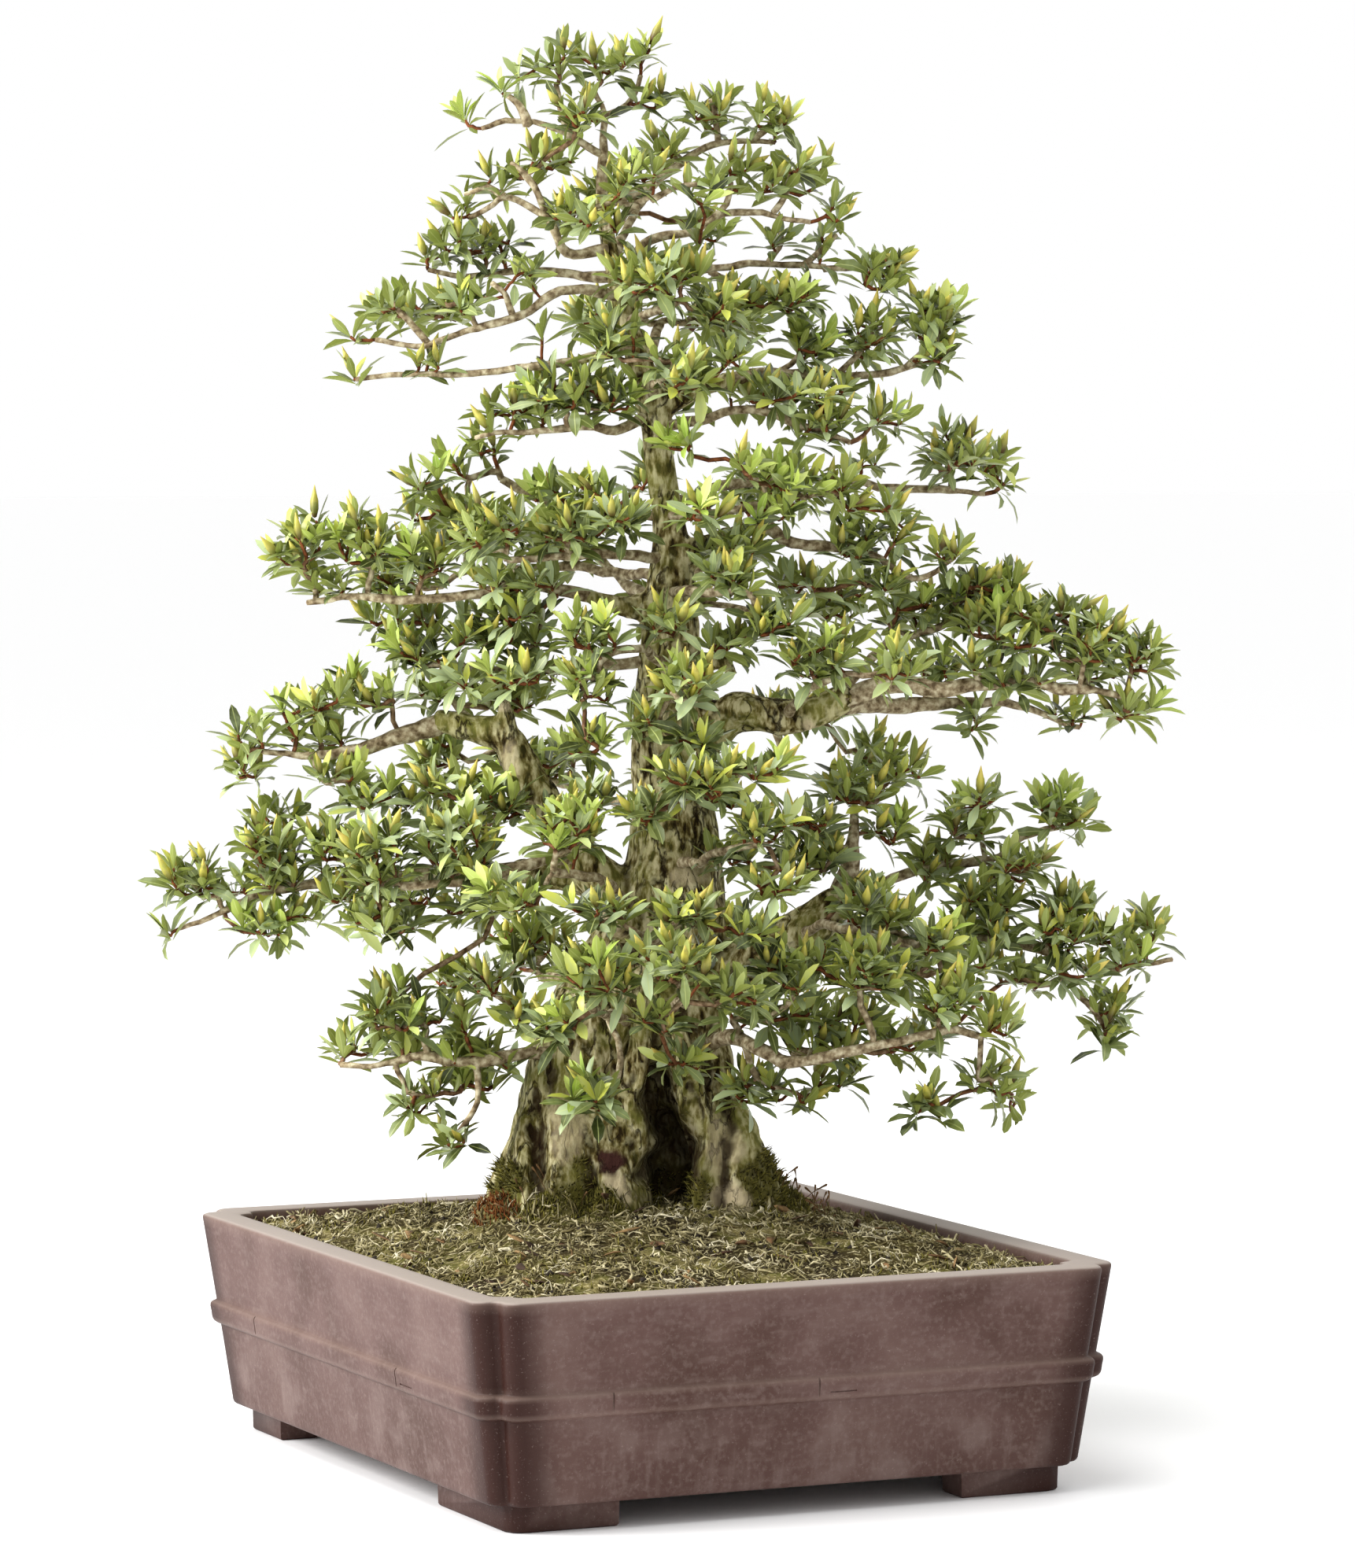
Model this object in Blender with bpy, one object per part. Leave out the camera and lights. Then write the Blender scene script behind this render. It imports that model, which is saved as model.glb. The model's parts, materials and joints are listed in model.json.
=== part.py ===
"""Satsuki azalea bonsai growing in its notched stoneware pot.

The pot, its drain screens, the soil, the moss cover, the trunk with its roots
and first limbs, and the leafy sprays are built here, one object per piece.
Lengths are in metres, +Z is up and the pot's feet stand on Z = 0.  Everything
is modelled round the pot's own centre and moved at the end, so that the origin
is under the middle of the whole object.  The tree is set out as it is seen along
one line of sight: a position is steps across, steps down and millimetres of depth.
"""

import math
import random

import bmesh
import bpy
import numpy as np
from mathutils import Matrix
from mathutils import Vector

MM = 0.001

# From the pot's centre to the middle of the whole object's bounds, turned round
ROW_SHIFT = Vector((-26, -16, 0)) * MM

# Pot
POT_HALF_X = 200 * MM
POT_HALF_Y = 231 * MM
POT_HEIGHT = 132 * MM
POT_TAPER = 16 * MM
NOTCH_TOP = 14 * MM
NOTCH_FOOT = 10 * MM
LOBE_RADIUS = 8 * MM
RIM_WIDTH = 20 * MM
WALL = 13 * MM
FLOOR_THICK = 12 * MM
FOOT_HEIGHT = 16 * MM
FOOT_INSET = 11 * MM
FOOT_WIDTH = 24 * MM
FOOT_BEVEL = 9 * MM
FOOT_SINK = 3 * MM
FOOT_LEG_X = 66 * MM
FOOT_LEG_Y_FRONT = 103 * MM
FOOT_LEG_Y_BACK = 56 * MM
BASE_ROUND = 2.0 * MM
BASE_ROUND_RISE = 1.4 * MM
BELT_BOTTOM = 65 * MM
BELT_HEIGHT = 14 * MM
BELT_RAISE = 3.6 * MM
RIM_ROUND = 1.6 * MM
LOBE_SHARE = 0.7
LOBE_STEPS = 3
FILLING_LOBE_STEPS = 1
DRAIN_RADIUS = 17 * MM
DRAIN_Y = 105 * MM
DRAIN_SIDES = 20
CUT_MARGIN = 1 * MM
BELT_JOINT_WIDTH = 1.6 * MM
BELT_JOINT_DEPTH = 1.0 * MM
BELT_JOINTS_X = (-0.120, 0.006)
BELT_JOINTS_Y = (-0.092, 0.133)

# The belt's section from bottom to top: mm above its bottom edge, mm that it stands out
BELT_SECTION = ((0.0, 0.0), (1.2, 2.4), (2.6, 3.6), (12.0, 3.6), (14.0, 1.6), (14.8, 0.0))

# Finish colours, as linear light
STONEWARE_COLOUR = (0.16, 0.10, 0.09)
SCREEN_COLOUR = (0.03, 0.03, 0.03)
EARTH_COLOUR = (0.10, 0.06, 0.035)
MOSS_COLOUR = (0.22, 0.20, 0.08)
BARK_COLOUR = (0.28, 0.23, 0.16)
LEAF_COLOUR = (0.07, 0.14, 0.05)

# Fillings
GAP = 0.35 * MM
SCREEN_SIDE = 46 * MM
SCREEN_THICK = 1.6 * MM
SCREEN_HOLE = 8 * MM
SCREEN_PITCH = 12 * MM
SCREEN_HOLES = 3
SOIL_EDGE = 117 * MM
SOIL_RISE = 24 * MM
COVER_THICK = 6 * MM
COVER_BUMP = 1.6 * MM
MOUND_CENTRE = (0.016, 0.034)
MOUND_RINGS = (1.0, 0.86, 0.62, 0.36)
MOUND_CURVE = 1.6
COVER_RINGS = (0.94, 0.8, 0.62, 0.42)
CUTTER_GROWTH = GAP * 1.2
MOUND_REACH = 185 * MM
COVER_EDGE_DROP = 2.5 * MM
CUSHION_SINK = 3 * MM
# Moss cushions: (across, down, depth in mm, radius in steps, height in mm)
CUSHIONS = (
    (702, 1522, -44, 38, 13),
    (768, 1528, -40, 30, 12),
    (640, 1520, 4, 34, 12),
    (1000, 1535, -6, 30, 13),
)

# Line of sight that the tree is set out along
EYE = Vector((-1.484, -3.290, 0.601))
SIGHT_TURN = math.radians(24.6)
STEPS_PER_SLOPE = 7803
LEVEL_ROW = 561.6
CENTRE_COLUMN = 861
TRUNK_DISTANCE = 3.65
STEP = TRUNK_DISTANCE / STEPS_PER_SLOPE

# Trunk and limb tubes: (across, down, depth in mm, radius in steps) from foot to tip
TRUNK_TUBES = (
    (
        (838, 1700, 42, 84), (834, 1560, 42, 88), (826, 1450, 36, 84),
        (822, 1350, 24, 80), (836, 1250, 8, 78), (852, 1160, 0, 72),
        (858, 1080, 0, 60), (855, 1000, 0, 53), (853, 930, 0, 52),
        (850, 850, 0, 41), (850, 765, 0, 33), (852, 700, 0, 25),
        (846, 640, 0, 20), (838, 590, 0, 20), (834, 540, 0, 20),
        (824, 500, 0, 20), (810, 450, 0, 17), (798, 410, 0, 15),
        (788, 370, 0, 14), (778, 330, 0, 12), (769, 285, 0, 10), (764, 245, 0, 9),
    ),
    (
        (722, 1700, -6, 88), (722, 1545, -6, 90), (722, 1490, -6, 84),
        (724, 1440, -4, 72), (730, 1380, 0, 66), (750, 1310, 2, 64),
        (800, 1230, 4, 66), (842, 1170, 2, 64),
    ),
    ((778, 1700, -24, 40), (778, 1548, -24, 42), (772, 1470, -18, 38), (764, 1380, -8, 34)),
    ((668, 1700, 22, 50), (668, 1535, 22, 50), (690, 1460, 16, 46), (715, 1380, 10, 40)),
    (
        (950, 1700, -14, 50), (950, 1550, -14, 50), (930, 1480, -12, 44),
        (905, 1410, -8, 42), (884, 1340, -2, 44), (866, 1250, 2, 48),
    ),
    ((972, 1700, 16, 36), (972, 1545, 16, 34), (948, 1480, 12, 30), (915, 1400, 8, 30)),
    ((742, 1700, 66, 60), (742, 1545, 66, 58), (770, 1450, 58, 52), (806, 1350, 40, 50)),
    ((912, 1700, 64, 58), (912, 1545, 64, 56), (884, 1450, 56, 50), (850, 1350, 40, 50)),
)
LIMB_TUBES = (
    (
        (860, 935, 0, 40), (905, 925, -4, 30), (940, 905, -6, 25), (1000, 910, -8, 23),
        (1050, 898, -8, 20), (1085, 884, -8, 16),
    ),
    ((1020, 900, -12, 10), (1030, 928, -22, 6)),
    (
        (840, 1165, -2, 40), (780, 1130, -6, 30), (730, 1080, -8, 25), (690, 1020, -8, 23),
        (658, 965, -6, 22), (640, 935, -4, 20), (600, 926, -2, 18), (552, 914, 0, 15),
    ),
    ((652, 960, -6, 17), (640, 890, -10, 8)),
    (
        (800, 1150, 4, 32), (745, 1118, 20, 22), (690, 1110, 26, 18), (650, 1108, 26, 15),
    ),
    (
        (870, 1250, 0, 46), (930, 1228, -6, 34), (990, 1200, -8, 29), (1040, 1170, -8, 26),
        (1072, 1140, -8, 20),
    ),
    ((822, 1186, -10, 28), (772, 1168, -52, 17)),
    ((852, 728, 0, 22), (890, 696, -4, 15), (930, 678, -6, 12)),
    ((833, 520, 0, 18), (880, 498, 2, 13), (930, 482, 4, 11)),
    ((850, 775, 0, 26), (795, 770, -6, 14), (745, 757, -12, 10)),
)

TRUNK_SIDES_STEP = 3
LIMB_SIDES_STEP = 1

# Leafy sprays: name, wood paths, pads of leafy tips.
# A wood point is (across, down, depth in mm); a pad is
# (across, down, depth in mm, half width in steps, half height in steps).
SPRAYS = (
    ("spray_apex",
     (((765, 252, 0), (764, 220, 0), (765, 190, 0), (766, 150, 0), (752, 118, 3)),
      ((764, 198, 0), (720, 176, -5), (655, 156, -9), (615, 163, -11)),
      ((766, 152, 0), (795, 135, 6), (813, 98, 7))),
     ((592, 148, -11, 26, 20), (635, 112, -9, 26, 24), (700, 78, 0, 40, 38), (768, 92, 0, 34, 34),
      (818, 66, 7, 28, 32), (826, 132, 0, 38, 36))),
    ("spray_crown_right",
     (((783, 352, 2), (830, 306, 6), (880, 297, 8), (920, 272, 8), (980, 272, 6), (1030, 285, 4)),),
     ((1010, 226, 8, 62, 44), (1056, 266, 2, 32, 30), (925, 226, 2, 48, 40))),
    ("spray_crown_high",
     (((770, 262, 4), (825, 235, 20), (868, 205, 26), (915, 184, 24), (985, 182, 16)),),
     ((905, 140, 20, 56, 42), (975, 150, 14, 44, 40), (845, 190, 26, 40, 30))),
    ("spray_crown_left",
     (((772, 318, -2), (722, 322, -8), (695, 272, -10), (640, 250, -8), (596, 276, -6)),),
     ((640, 226, -8, 42, 30), (690, 204, -10, 32, 28), (584, 262, -6, 34, 30), (716, 262, -20, 34, 30))),
    ("spray_crown_front",
     (((771, 296, -2), (802, 270, -28), (828, 256, -44)),),
     ((812, 232, -44, 56, 36), (760, 282, -40, 46, 34), (880, 250, -40, 38, 28))),
    ("spray_crown_back",
     (((782, 330, 8), (800, 285, 40), (820, 255, 58)),),
     ((800, 235, 56, 70, 44), (890, 290, 50, 46, 36), (720, 270, 48, 46, 36))),
    ("spray_left_upper_bar",
     (((781, 352, 2), (700, 347, 12), (620, 346, 14), (548, 346, 14)),),
     ((556, 316, 14, 38, 30), (625, 318, 12, 40, 30))),
    ("spray_left_upper",
     (((788, 378, -2), (740, 364, -12), (700, 373, -16), (650, 402, -18), (600, 416, -18),
       (540, 440, -18), (480, 432, -16)),),
     ((500, 388, -16, 36, 34), (452, 420, -14, 24, 20), (590, 382, -20, 50, 30), (668, 350, -24, 40, 28))),
    ("spray_left_upper_low",
     (((806, 442, -4), (752, 452, -18), (690, 468, -22), (600, 478, -22), (520, 476, -20),
       (452, 484, -18)),),
     ((450, 470, -18, 28, 20), (545, 456, -20, 36, 26), (640, 452, -24, 56, 36))),
    ("spray_left_mid",
     (((830, 524, 0), (784, 545, -16), (742, 543, -22), (690, 548, -24), (640, 551, -22),
       (606, 556, -20)),),
     ((716, 494, -26, 64, 44), (622, 542, -20, 30, 22), (780, 500, -30, 40, 34))),
    ("spray_left_shelf",
     (((845, 655, 4), (786, 656, 10), (722, 646, 16), (672, 628, 18), (640, 606, 18)),),
     ((588, 590, 18, 36, 26), (642, 588, 16, 28, 30), (590, 650, 10, 46, 30), (700, 625, 10, 40, 28))),
    ("spray_left_tier_outer",
     (((757, 760, -8), (722, 750, -16), (650, 746, -22), (560, 760, -24), (480, 763, -22),
       (384, 766, -18)),),
     ((380, 700, -18, 48, 44), (460, 690, -24, 52, 56), (540, 712, -26, 46, 46))),
    ("spray_left_tier_inner",
     (((850, 706, -2), (792, 706, -22), (740, 706, -38), (650, 708, -48)),),
     ((628, 672, -50, 60, 46), (725, 668, -44, 56, 42), (755, 622, -30, 50, 30))),
    ("spray_left_tier_back",
     (((846, 735, 8), (770, 724, 46), (690, 716, 66), (600, 722, 74)),),
     ((600, 676, 74, 76, 44), (700, 690, 66, 60, 40), (500, 730, 66, 56, 36))),
    ("spray_left_fifth",
     (((848, 840, 0), (775, 843, -12), (700, 850, -16), (640, 856, -18), (580, 846, -18)),),
     ((525, 824, -18, 56, 36), (600, 806, -20, 46, 32), (655, 810, -22, 50, 34), (600, 872, -20, 36, 24))),
    ("spray_centre_left",
     (((846, 845, -10), (806, 826, -52), (768, 836, -70)),),
     ((752, 802, -66, 54, 36), (752, 872, -68, 42, 34))),
    ("spray_left_sixth_outer",
     (((566, 918, 0), (500, 936, -2), (440, 954, -5), (392, 960, -8), (330, 952, -10)),),
     ((400, 880, -6, 76, 48), (316, 936, -10, 42, 28), (424, 985, -10, 46, 24), (480, 880, -4, 44, 34))),
    ("spray_left_sixth_inner",
     (((606, 926, -2), (580, 896, 16), (556, 880, 26)),),
     ((548, 876, 28, 48, 32), (640, 880, 30, 40, 30))),
    ("spray_left_seventh_outer",
     (((660, 1108, 26), (560, 1112, 14), (450, 1122, 0), (350, 1134, -8), (300, 1152, -10),
       (232, 1182, -10)),),
     ((240, 1116, -10, 54, 42), (340, 1082, -10, 52, 46), (330, 1182, -12, 46, 24),
      (212, 1180, -10, 22, 18), (420, 1080, -6, 46, 50))),
    ("spray_left_seventh_inner",
     (((738, 1092, -10), (680, 1102, -46), (600, 1118, -62), (510, 1128, -66)),),
     ((480, 1090, -66, 58, 64), (580, 1080, -66, 60, 60), (470, 1172, -66, 46, 28))),
    ("spray_left_eighth_high",
     (((690, 1022, -10), (640, 1026, -34), (586, 1028, -38)),),
     ((570, 1000, -38, 54, 34), (640, 1016, -40, 44, 40))),
    ("spray_left_front",
     (((800, 1150, -24), (764, 1120, -84), (700, 1108, -108)),),
     ((716, 1056, -106, 60, 50), (650, 1140, -108, 60, 38))),
    ("spray_low_left",
     (((728, 1345, -6), (675, 1340, -40), (600, 1348, -42), (500, 1348, -38), (432, 1357, -34)),
      ((604, 1348, -42), (604, 1404, -52), (584, 1440, -52))),
     ((505, 1288, -38, 62, 38), (432, 1342, -34, 28, 24), (580, 1300, -44, 40, 40),
      (530, 1398, -38, 46, 34), (576, 1450, -52, 34, 20))),
    ("spray_low_left_high",
     (((742, 1310, -12), (690, 1290, -58), (630, 1268, -74)),),
     ((618, 1236, -74, 40, 44), (662, 1290, -76, 40, 32))),
    ("spray_front_low_left",
     (((796, 1300, -16), (770, 1290, -92), (752, 1282, -140)),
      ((772, 1291, -86), (786, 1340, -104), (778, 1380, -112))),
     ((752, 1240, -138, 70, 44), (716, 1300, -134, 44, 34), (750, 1392, -110, 50, 36))),
    ("spray_front_low_middle",
     (((842, 1280, -16), (868, 1276, -100), (876, 1270, -158)),),
     ((860, 1226, -154, 66, 42), (834, 1296, -140, 40, 30), (940, 1262, -150, 48, 36),
      (866, 1352, -110, 42, 28))),
    ("spray_right_low",
     (((884, 1330, -6), (948, 1326, -58), (1000, 1352, -88), (1090, 1340, -98),
       (1180, 1316, -92), (1240, 1316, -80)),
      ((946, 1327, -56), (966, 1374, -50), (1020, 1388, -46))),
     ((1000, 1236, -98, 64, 46), (1104, 1236, -100, 60, 48), (1196, 1270, -90, 56, 44),
      (1268, 1300, -78, 38, 36), (1262, 1372, -76, 46, 36), (1182, 1402, -80, 40, 32),
      (962, 1384, -44, 50, 34), (1020, 1392, -46, 26, 18))),
    ("spray_right_ninth",
     (((1050, 1166, -6), (1120, 1190, 14), (1220, 1197, 18), (1320, 1206, 16), (1400, 1230, 12),
       (1450, 1226, 10), (1492, 1222, 8)),
      ((1334, 1208, 16), (1376, 1270, 10), (1400, 1306, 8))),
     ((1250, 1156, 18, 58, 46), (1360, 1160, 14, 48, 44), (1466, 1176, 8, 32, 42),
      (1408, 1290, 8, 40, 44), (1300, 1248, 14, 50, 34))),
    ("spray_right_eighth_top",
     (((1070, 1146, -8), (1084, 1080, -4), (1086, 1010, 0)),),
     ((1086, 1000, 0, 56, 40), (1030, 1066, -12, 40, 40), (1140, 976, 6, 50, 28), (1132, 1052, -10, 42, 36))),
    ("spray_right_eighth_outer",
     (((1060, 1150, 4), (1150, 1108, 34), (1260, 1092, 38), (1300, 1062, 36), (1352, 1050, 34)),),
     ((1352, 1030, 34, 50, 42), (1232, 1046, 34, 50, 44), (1190, 1100, 40, 44, 40),
      (1280, 1108, 40, 44, 34))),
    ("spray_right_eighth_front",
     (((1020, 1184, -16), (1060, 1178, -56), (1120, 1186, -74)),),
     ((1104, 1160, -74, 54, 36), (1186, 1196, -70, 46, 36))),
    ("spray_right_big_outer",
     (((1074, 888, -8), (1150, 870, -8), (1205, 876, -10), (1262, 874, -12), (1340, 872, -12),
       (1430, 886, -8)),),
     ((1384, 812, -10, 70, 48), (1300, 800, -14, 56, 52), (1450, 836, -8, 44, 40),
      (1444, 896, -8, 42, 22))),
    ("spray_right_big_under",
     (((1066, 894, -4), (1130, 896, 20), (1200, 893, 30), (1290, 894, 34), (1372, 920, 34)),),
     ((1360, 906, 34, 44, 24), (1240, 912, 30, 36, 32), (1190, 850, 30, 50, 30))),
    ("spray_right_big_top",
     (((1056, 896, -2), (1094, 850, 18), (1140, 806, 26)),),
     ((1160, 776, 26, 64, 46), (1236, 770, 24, 52, 44))),
    ("spray_right_big_front",
     (((1000, 908, -12), (1030, 880, -52), (1070, 862, -66)),),
     ((1030, 836, -64, 54, 38), (1130, 846, -66, 56, 36))),
    ("spray_right_third",
     (((920, 684, -6), (966, 672, -12), (1010, 690, -14), (1100, 706, -12), (1160, 736, -10),
       (1212, 710, -10)),),
     ((1014, 740, -16, 48, 34), (1084, 690, -14, 48, 40), (1140, 672, -10, 34, 36),
      (1204, 700, -10, 40, 30))),
    ("spray_right_fourth",
     (((850, 640, 4), (910, 622, 34), (980, 612, 48), (1060, 610, 54), (1130, 616, 54),
       (1190, 620, 52), (1244, 626, 50)),),
     ((1206, 572, 52, 44, 48), (1266, 596, 50, 38, 36), (1100, 580, 52, 40, 32))),
    ("spray_right_fourth_front",
     (((850, 656, -6), (920, 646, -28), (990, 636, -38)),
      ((900, 649, -22), (886, 650, -58))),
     ((1000, 612, -40, 50, 40), (1070, 626, -36, 44, 38), (1130, 640, -30, 34, 28),
      (892, 646, -60, 50, 28), (868, 588, -54, 36, 28), (950, 590, -56, 34, 28))),
    ("spray_right_fifth",
     (((920, 486, 4), (966, 474, 12), (1060, 478, 14), (1120, 474, 14), (1172, 464, 14)),),
     ((1110, 428, 14, 50, 46), (1190, 404, 14, 46, 46), (1030, 440, 14, 46, 42))),
    ("spray_right_fifth_low",
     (((834, 545, 0), (900, 532, -16), (960, 522, -24), (1020, 540, -26), (1076, 560, -24)),),
     ((1040, 538, -26, 52, 40), (960, 560, -28, 44, 34), (1120, 544, -20, 48, 38))),
    ("spray_right_sixth",
     (((791, 380, 2), (850, 362, 12), (900, 346, 16), (980, 336, 18), (1048, 343, 18)),),
     ((1060, 316, 18, 44, 42), (1122, 346, 14, 46, 40), (988, 300, 18, 34, 28), (940, 380, 10, 44, 34))),
    ("spray_centre_upper",
     (((800, 410, -2), (828, 396, -32), (862, 386, -48)),),
     ((832, 356, -48, 54, 40), (908, 390, -46, 46, 38))),
    ("spray_centre_mid",
     (((826, 506, -4), (836, 484, -40), (850, 474, -58)),),
     ((860, 470, -58, 56, 40), (780, 430, -48, 50, 36), (936, 452, -52, 40, 32))),
    ("spray_centre_waist",
     (((852, 752, -8), (884, 752, -46), (926, 754, -64)),),
     ((930, 736, -62, 48, 40), (850, 782, -60, 40, 36), (990, 790, -60, 50, 36))),
    ("spray_centre_chest",
     (((850, 885, -12), (866, 884, -62), (876, 880, -84)),),
     ((874, 862, -82, 50, 42), (820, 914, -78, 40, 28), (880, 936, -80, 46, 28))),
    ("spray_front_middle",
     (((856, 1020, -16), (880, 1012, -74), (892, 1004, -104)),),
     ((890, 990, -102, 64, 42), (968, 972, -98, 46, 32), (820, 1030, -100, 40, 30))),
    ("spray_front_right",
     (((860, 1100, -18), (912, 1084, -84), (964, 1074, -108)),),
     ((972, 1048, -106, 50, 36), (986, 1120, -108, 50, 38))),
    ("spray_front_waist",
     (((846, 1200, -22), (826, 1192, -98), (808, 1184, -128)),),
     ((760, 1156, -126, 54, 30), (866, 1160, -126, 56, 34), (946, 1180, -122, 44, 30))),
    ("spray_back_low_left",
     (((800, 1290, 40), (730, 1256, 120), (680, 1236, 178)),),
     ((668, 1206, 176, 80, 52), (590, 1240, 130, 56, 42), (800, 1250, 170, 60, 44))),
    ("spray_back_low_right",
     (((866, 1290, 34), (960, 1256, 118), (1020, 1240, 170)),),
     ((1030, 1206, 170, 80, 52), (1130, 1230, 116, 56, 44), (920, 1190, 176, 60, 44))),
    ("spray_back_middle",
     (((856, 1060, 16), (770, 1010, 96), (700, 990, 138)),
      ((842, 1050, 28), (930, 990, 108), (1000, 960, 138))),
     ((680, 960, 138, 76, 50), (1010, 920, 138, 76, 50), (850, 990, 150, 60, 44),
      (1110, 960, 100, 54, 40), (560, 960, 100, 50, 40))),
    ("spray_back_upper",
     (((852, 800, 14), (800, 740, 82), (740, 700, 108)),
      ((842, 786, 30), (910, 700, 84), (980, 650, 104))),
     ((730, 670, 108, 70, 46), (980, 620, 104, 70, 46), (850, 760, 112, 60, 44),
      (840, 600, 92, 60, 40), (1060, 760, 90, 60, 40))),
    ("spray_back_top",
     (((812, 468, 8), (830, 440, 56), (840, 410, 80)),),
     ((770, 400, 78, 70, 42), (920, 400, 78, 66, 42), (850, 500, 72, 56, 36))),
)

# Leafy tips
WIDE_PAD = 68
TRIES_PER_TIP = 120
STRETCH = 0.6
TWIG_BASE_RADIUS = 1.7 * MM
TWIG_TIP_RADIUS = 1.3 * MM
SHORTEST_TWIG = 9 * MM
WOOD_BASE_RADIUS = 3.6 * MM
WOOD_TIP_RADIUS = 1.6 * MM
FORK_SHARE = 0.8
BLADES_PER_TIP = 4
BLADE_LENGTH = 23 * MM
BLADE_WIDTH = 8.5 * MM
BLADE_THICK = 0.8 * MM
BLADE_WIDEST = 0.58
BLADE_DROOP = 5 * MM
BLADE_LIFTS = (math.radians(22), math.radians(42))
COLLAR = 1.8 * MM
PAD_DEPTH_SHARE = 0.85
PAD_INNER = 0.25
PAD_LOW = -0.5
PAD_DOME = 0.8
TIP_LEAN = 0.3
TIP_RISE = 0.8
SPRAY_CLEARANCE = 1.2 * MM
SEED = 1717


def clear_scene():
    """Removes every object that the session starts with."""
    for thing in list(bpy.data.objects):
        bpy.data.objects.remove(thing)


def new_collection(name):
    """Returns a new collection linked to the scene."""
    group = bpy.data.collections.new(name)
    bpy.context.scene.collection.children.link(group)
    return group


def new_material(name, colour, roughness):
    """Returns a plain Principled material."""
    finish = bpy.data.materials.new(name)
    finish.use_nodes = True
    shader = finish.node_tree.nodes["Principled BSDF"]
    shader.inputs["Base Color"].default_value = (*colour, 1.0)
    shader.inputs["Roughness"].default_value = roughness
    return finish


def shell_volume(faces):
    """Returns the volume inside a closed set of faces."""
    total = 0.0
    for face in faces:
        corners = [loop.vert.co for loop in face.loops]
        for b, c in zip(corners[1:], corners[2:]):
            total += corners[0].dot(b.cross(c)) / 6
    return total


def object_from_bmesh(name, work, group):
    """Turns a bmesh into an object in the group, its faces out, and frees the bmesh."""
    bmesh.ops.recalc_face_normals(work, faces=work.faces)
    if shell_volume(work.faces) < 0:
        bmesh.ops.reverse_faces(work, faces=work.faces)
    mesh = bpy.data.meshes.new(name)
    work.to_mesh(mesh)
    work.free()
    thing = bpy.data.objects.new(name, mesh)
    group.objects.link(thing)
    return thing


def loft(name, rings, group, lean_back=False):
    """Joins rings of equal count into one closed skin with a flat cap at each end.

    Each panel is split along one diagonal, which leans back for a skin that has
    to lie along another whose rings run the other way.
    """
    work = bmesh.new()
    rows = [[work.verts.new(point) for point in ring] for ring in rings]
    for lower, upper in zip(rows, rows[1:]):
        for a in range(len(lower)):
            b = (a + 1) % len(lower)
            if lean_back:
                work.faces.new((lower[a], lower[b], upper[a]))
                work.faces.new((lower[b], upper[b], upper[a]))
            else:
                work.faces.new((lower[a], lower[b], upper[b]))
                work.faces.new((lower[a], upper[b], upper[a]))
    work.faces.new(list(reversed(rows[0])))
    work.faces.new(rows[-1])
    return object_from_bmesh(name, work, group)


def modify(target, **settings):
    """Adds a Boolean modifier with the settings, applies it and drops it."""
    change = target.modifiers.new("join", "BOOLEAN")
    change.solver = "MANIFOLD"
    for key, value in settings.items():
        setattr(change, key, value)
    context = bpy.context.evaluated_depsgraph_get()
    result = bpy.data.meshes.new_from_object(target.evaluated_get(context))
    target.modifiers.clear()
    target.data = result


def unite(target, pieces):
    """Fuses a list of pieces into the target with one union, then removes them."""
    if not pieces:
        return
    group = new_collection("pieces_" + target.name)
    for piece in pieces:
        for holder in list(piece.users_collection):
            holder.objects.unlink(piece)
        group.objects.link(piece)
    modify(target, operation="UNION", operand_type="COLLECTION", collection=group)
    for piece in pieces:
        bpy.data.objects.remove(piece)
    bpy.data.collections.remove(group)


def cut(target, cutter):
    """Takes the cutter's volume out of the target."""
    modify(target, operation="DIFFERENCE", operand_type="OBJECT", object=cutter)


def keep_largest_shell(thing):
    """Drops loose scraps and sealed hollows and keeps the one outer skin."""
    work = bmesh.new()
    work.from_mesh(thing.data)
    bmesh.ops.triangulate(work, faces=work.faces)
    unseen = set(work.faces)
    shells = []
    while unseen:
        front = [unseen.pop()]
        shell = list(front)
        while front:
            face = front.pop()
            for edge in face.edges:
                for other in edge.link_faces:
                    if other in unseen:
                        unseen.remove(other)
                        shell.append(other)
                        front.append(other)
        shells.append(shell)
    shells.sort(key=shell_volume, reverse=True)
    scraps = [face for shell in shells[1:] for face in shell]
    bmesh.ops.delete(work, geom=scraps, context="FACES")
    loose = [vert for vert in work.verts if not vert.link_faces]
    bmesh.ops.delete(work, geom=loose, context="VERTS")
    work.to_mesh(thing.data)
    work.free()


def box(name, low, high, group):
    """Returns a box between two corners."""
    work = bmesh.new()
    centre = (Vector(low) + Vector(high)) / 2
    size = Vector(high) - Vector(low)
    matrix = Matrix.Translation(centre) @ Matrix.Diagonal((*size, 1.0))
    bmesh.ops.create_cube(work, size=1.0, matrix=matrix)
    return object_from_bmesh(name, work, group)


def upright_prism(name, outline, low, high, group):
    """Returns a flat outline raised from one height to another."""
    rings = [[(x, y, low) for x, y in outline], [(x, y, high) for x, y in outline]]
    return loft(name, rings, group)


def sight_vectors():
    """Returns the unit vectors to the right of and along the line of sight."""
    right = Vector((math.cos(SIGHT_TURN), -math.sin(SIGHT_TURN), 0))
    along = Vector((math.sin(SIGHT_TURN), math.cos(SIGHT_TURN), 0))
    return right, along


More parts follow.
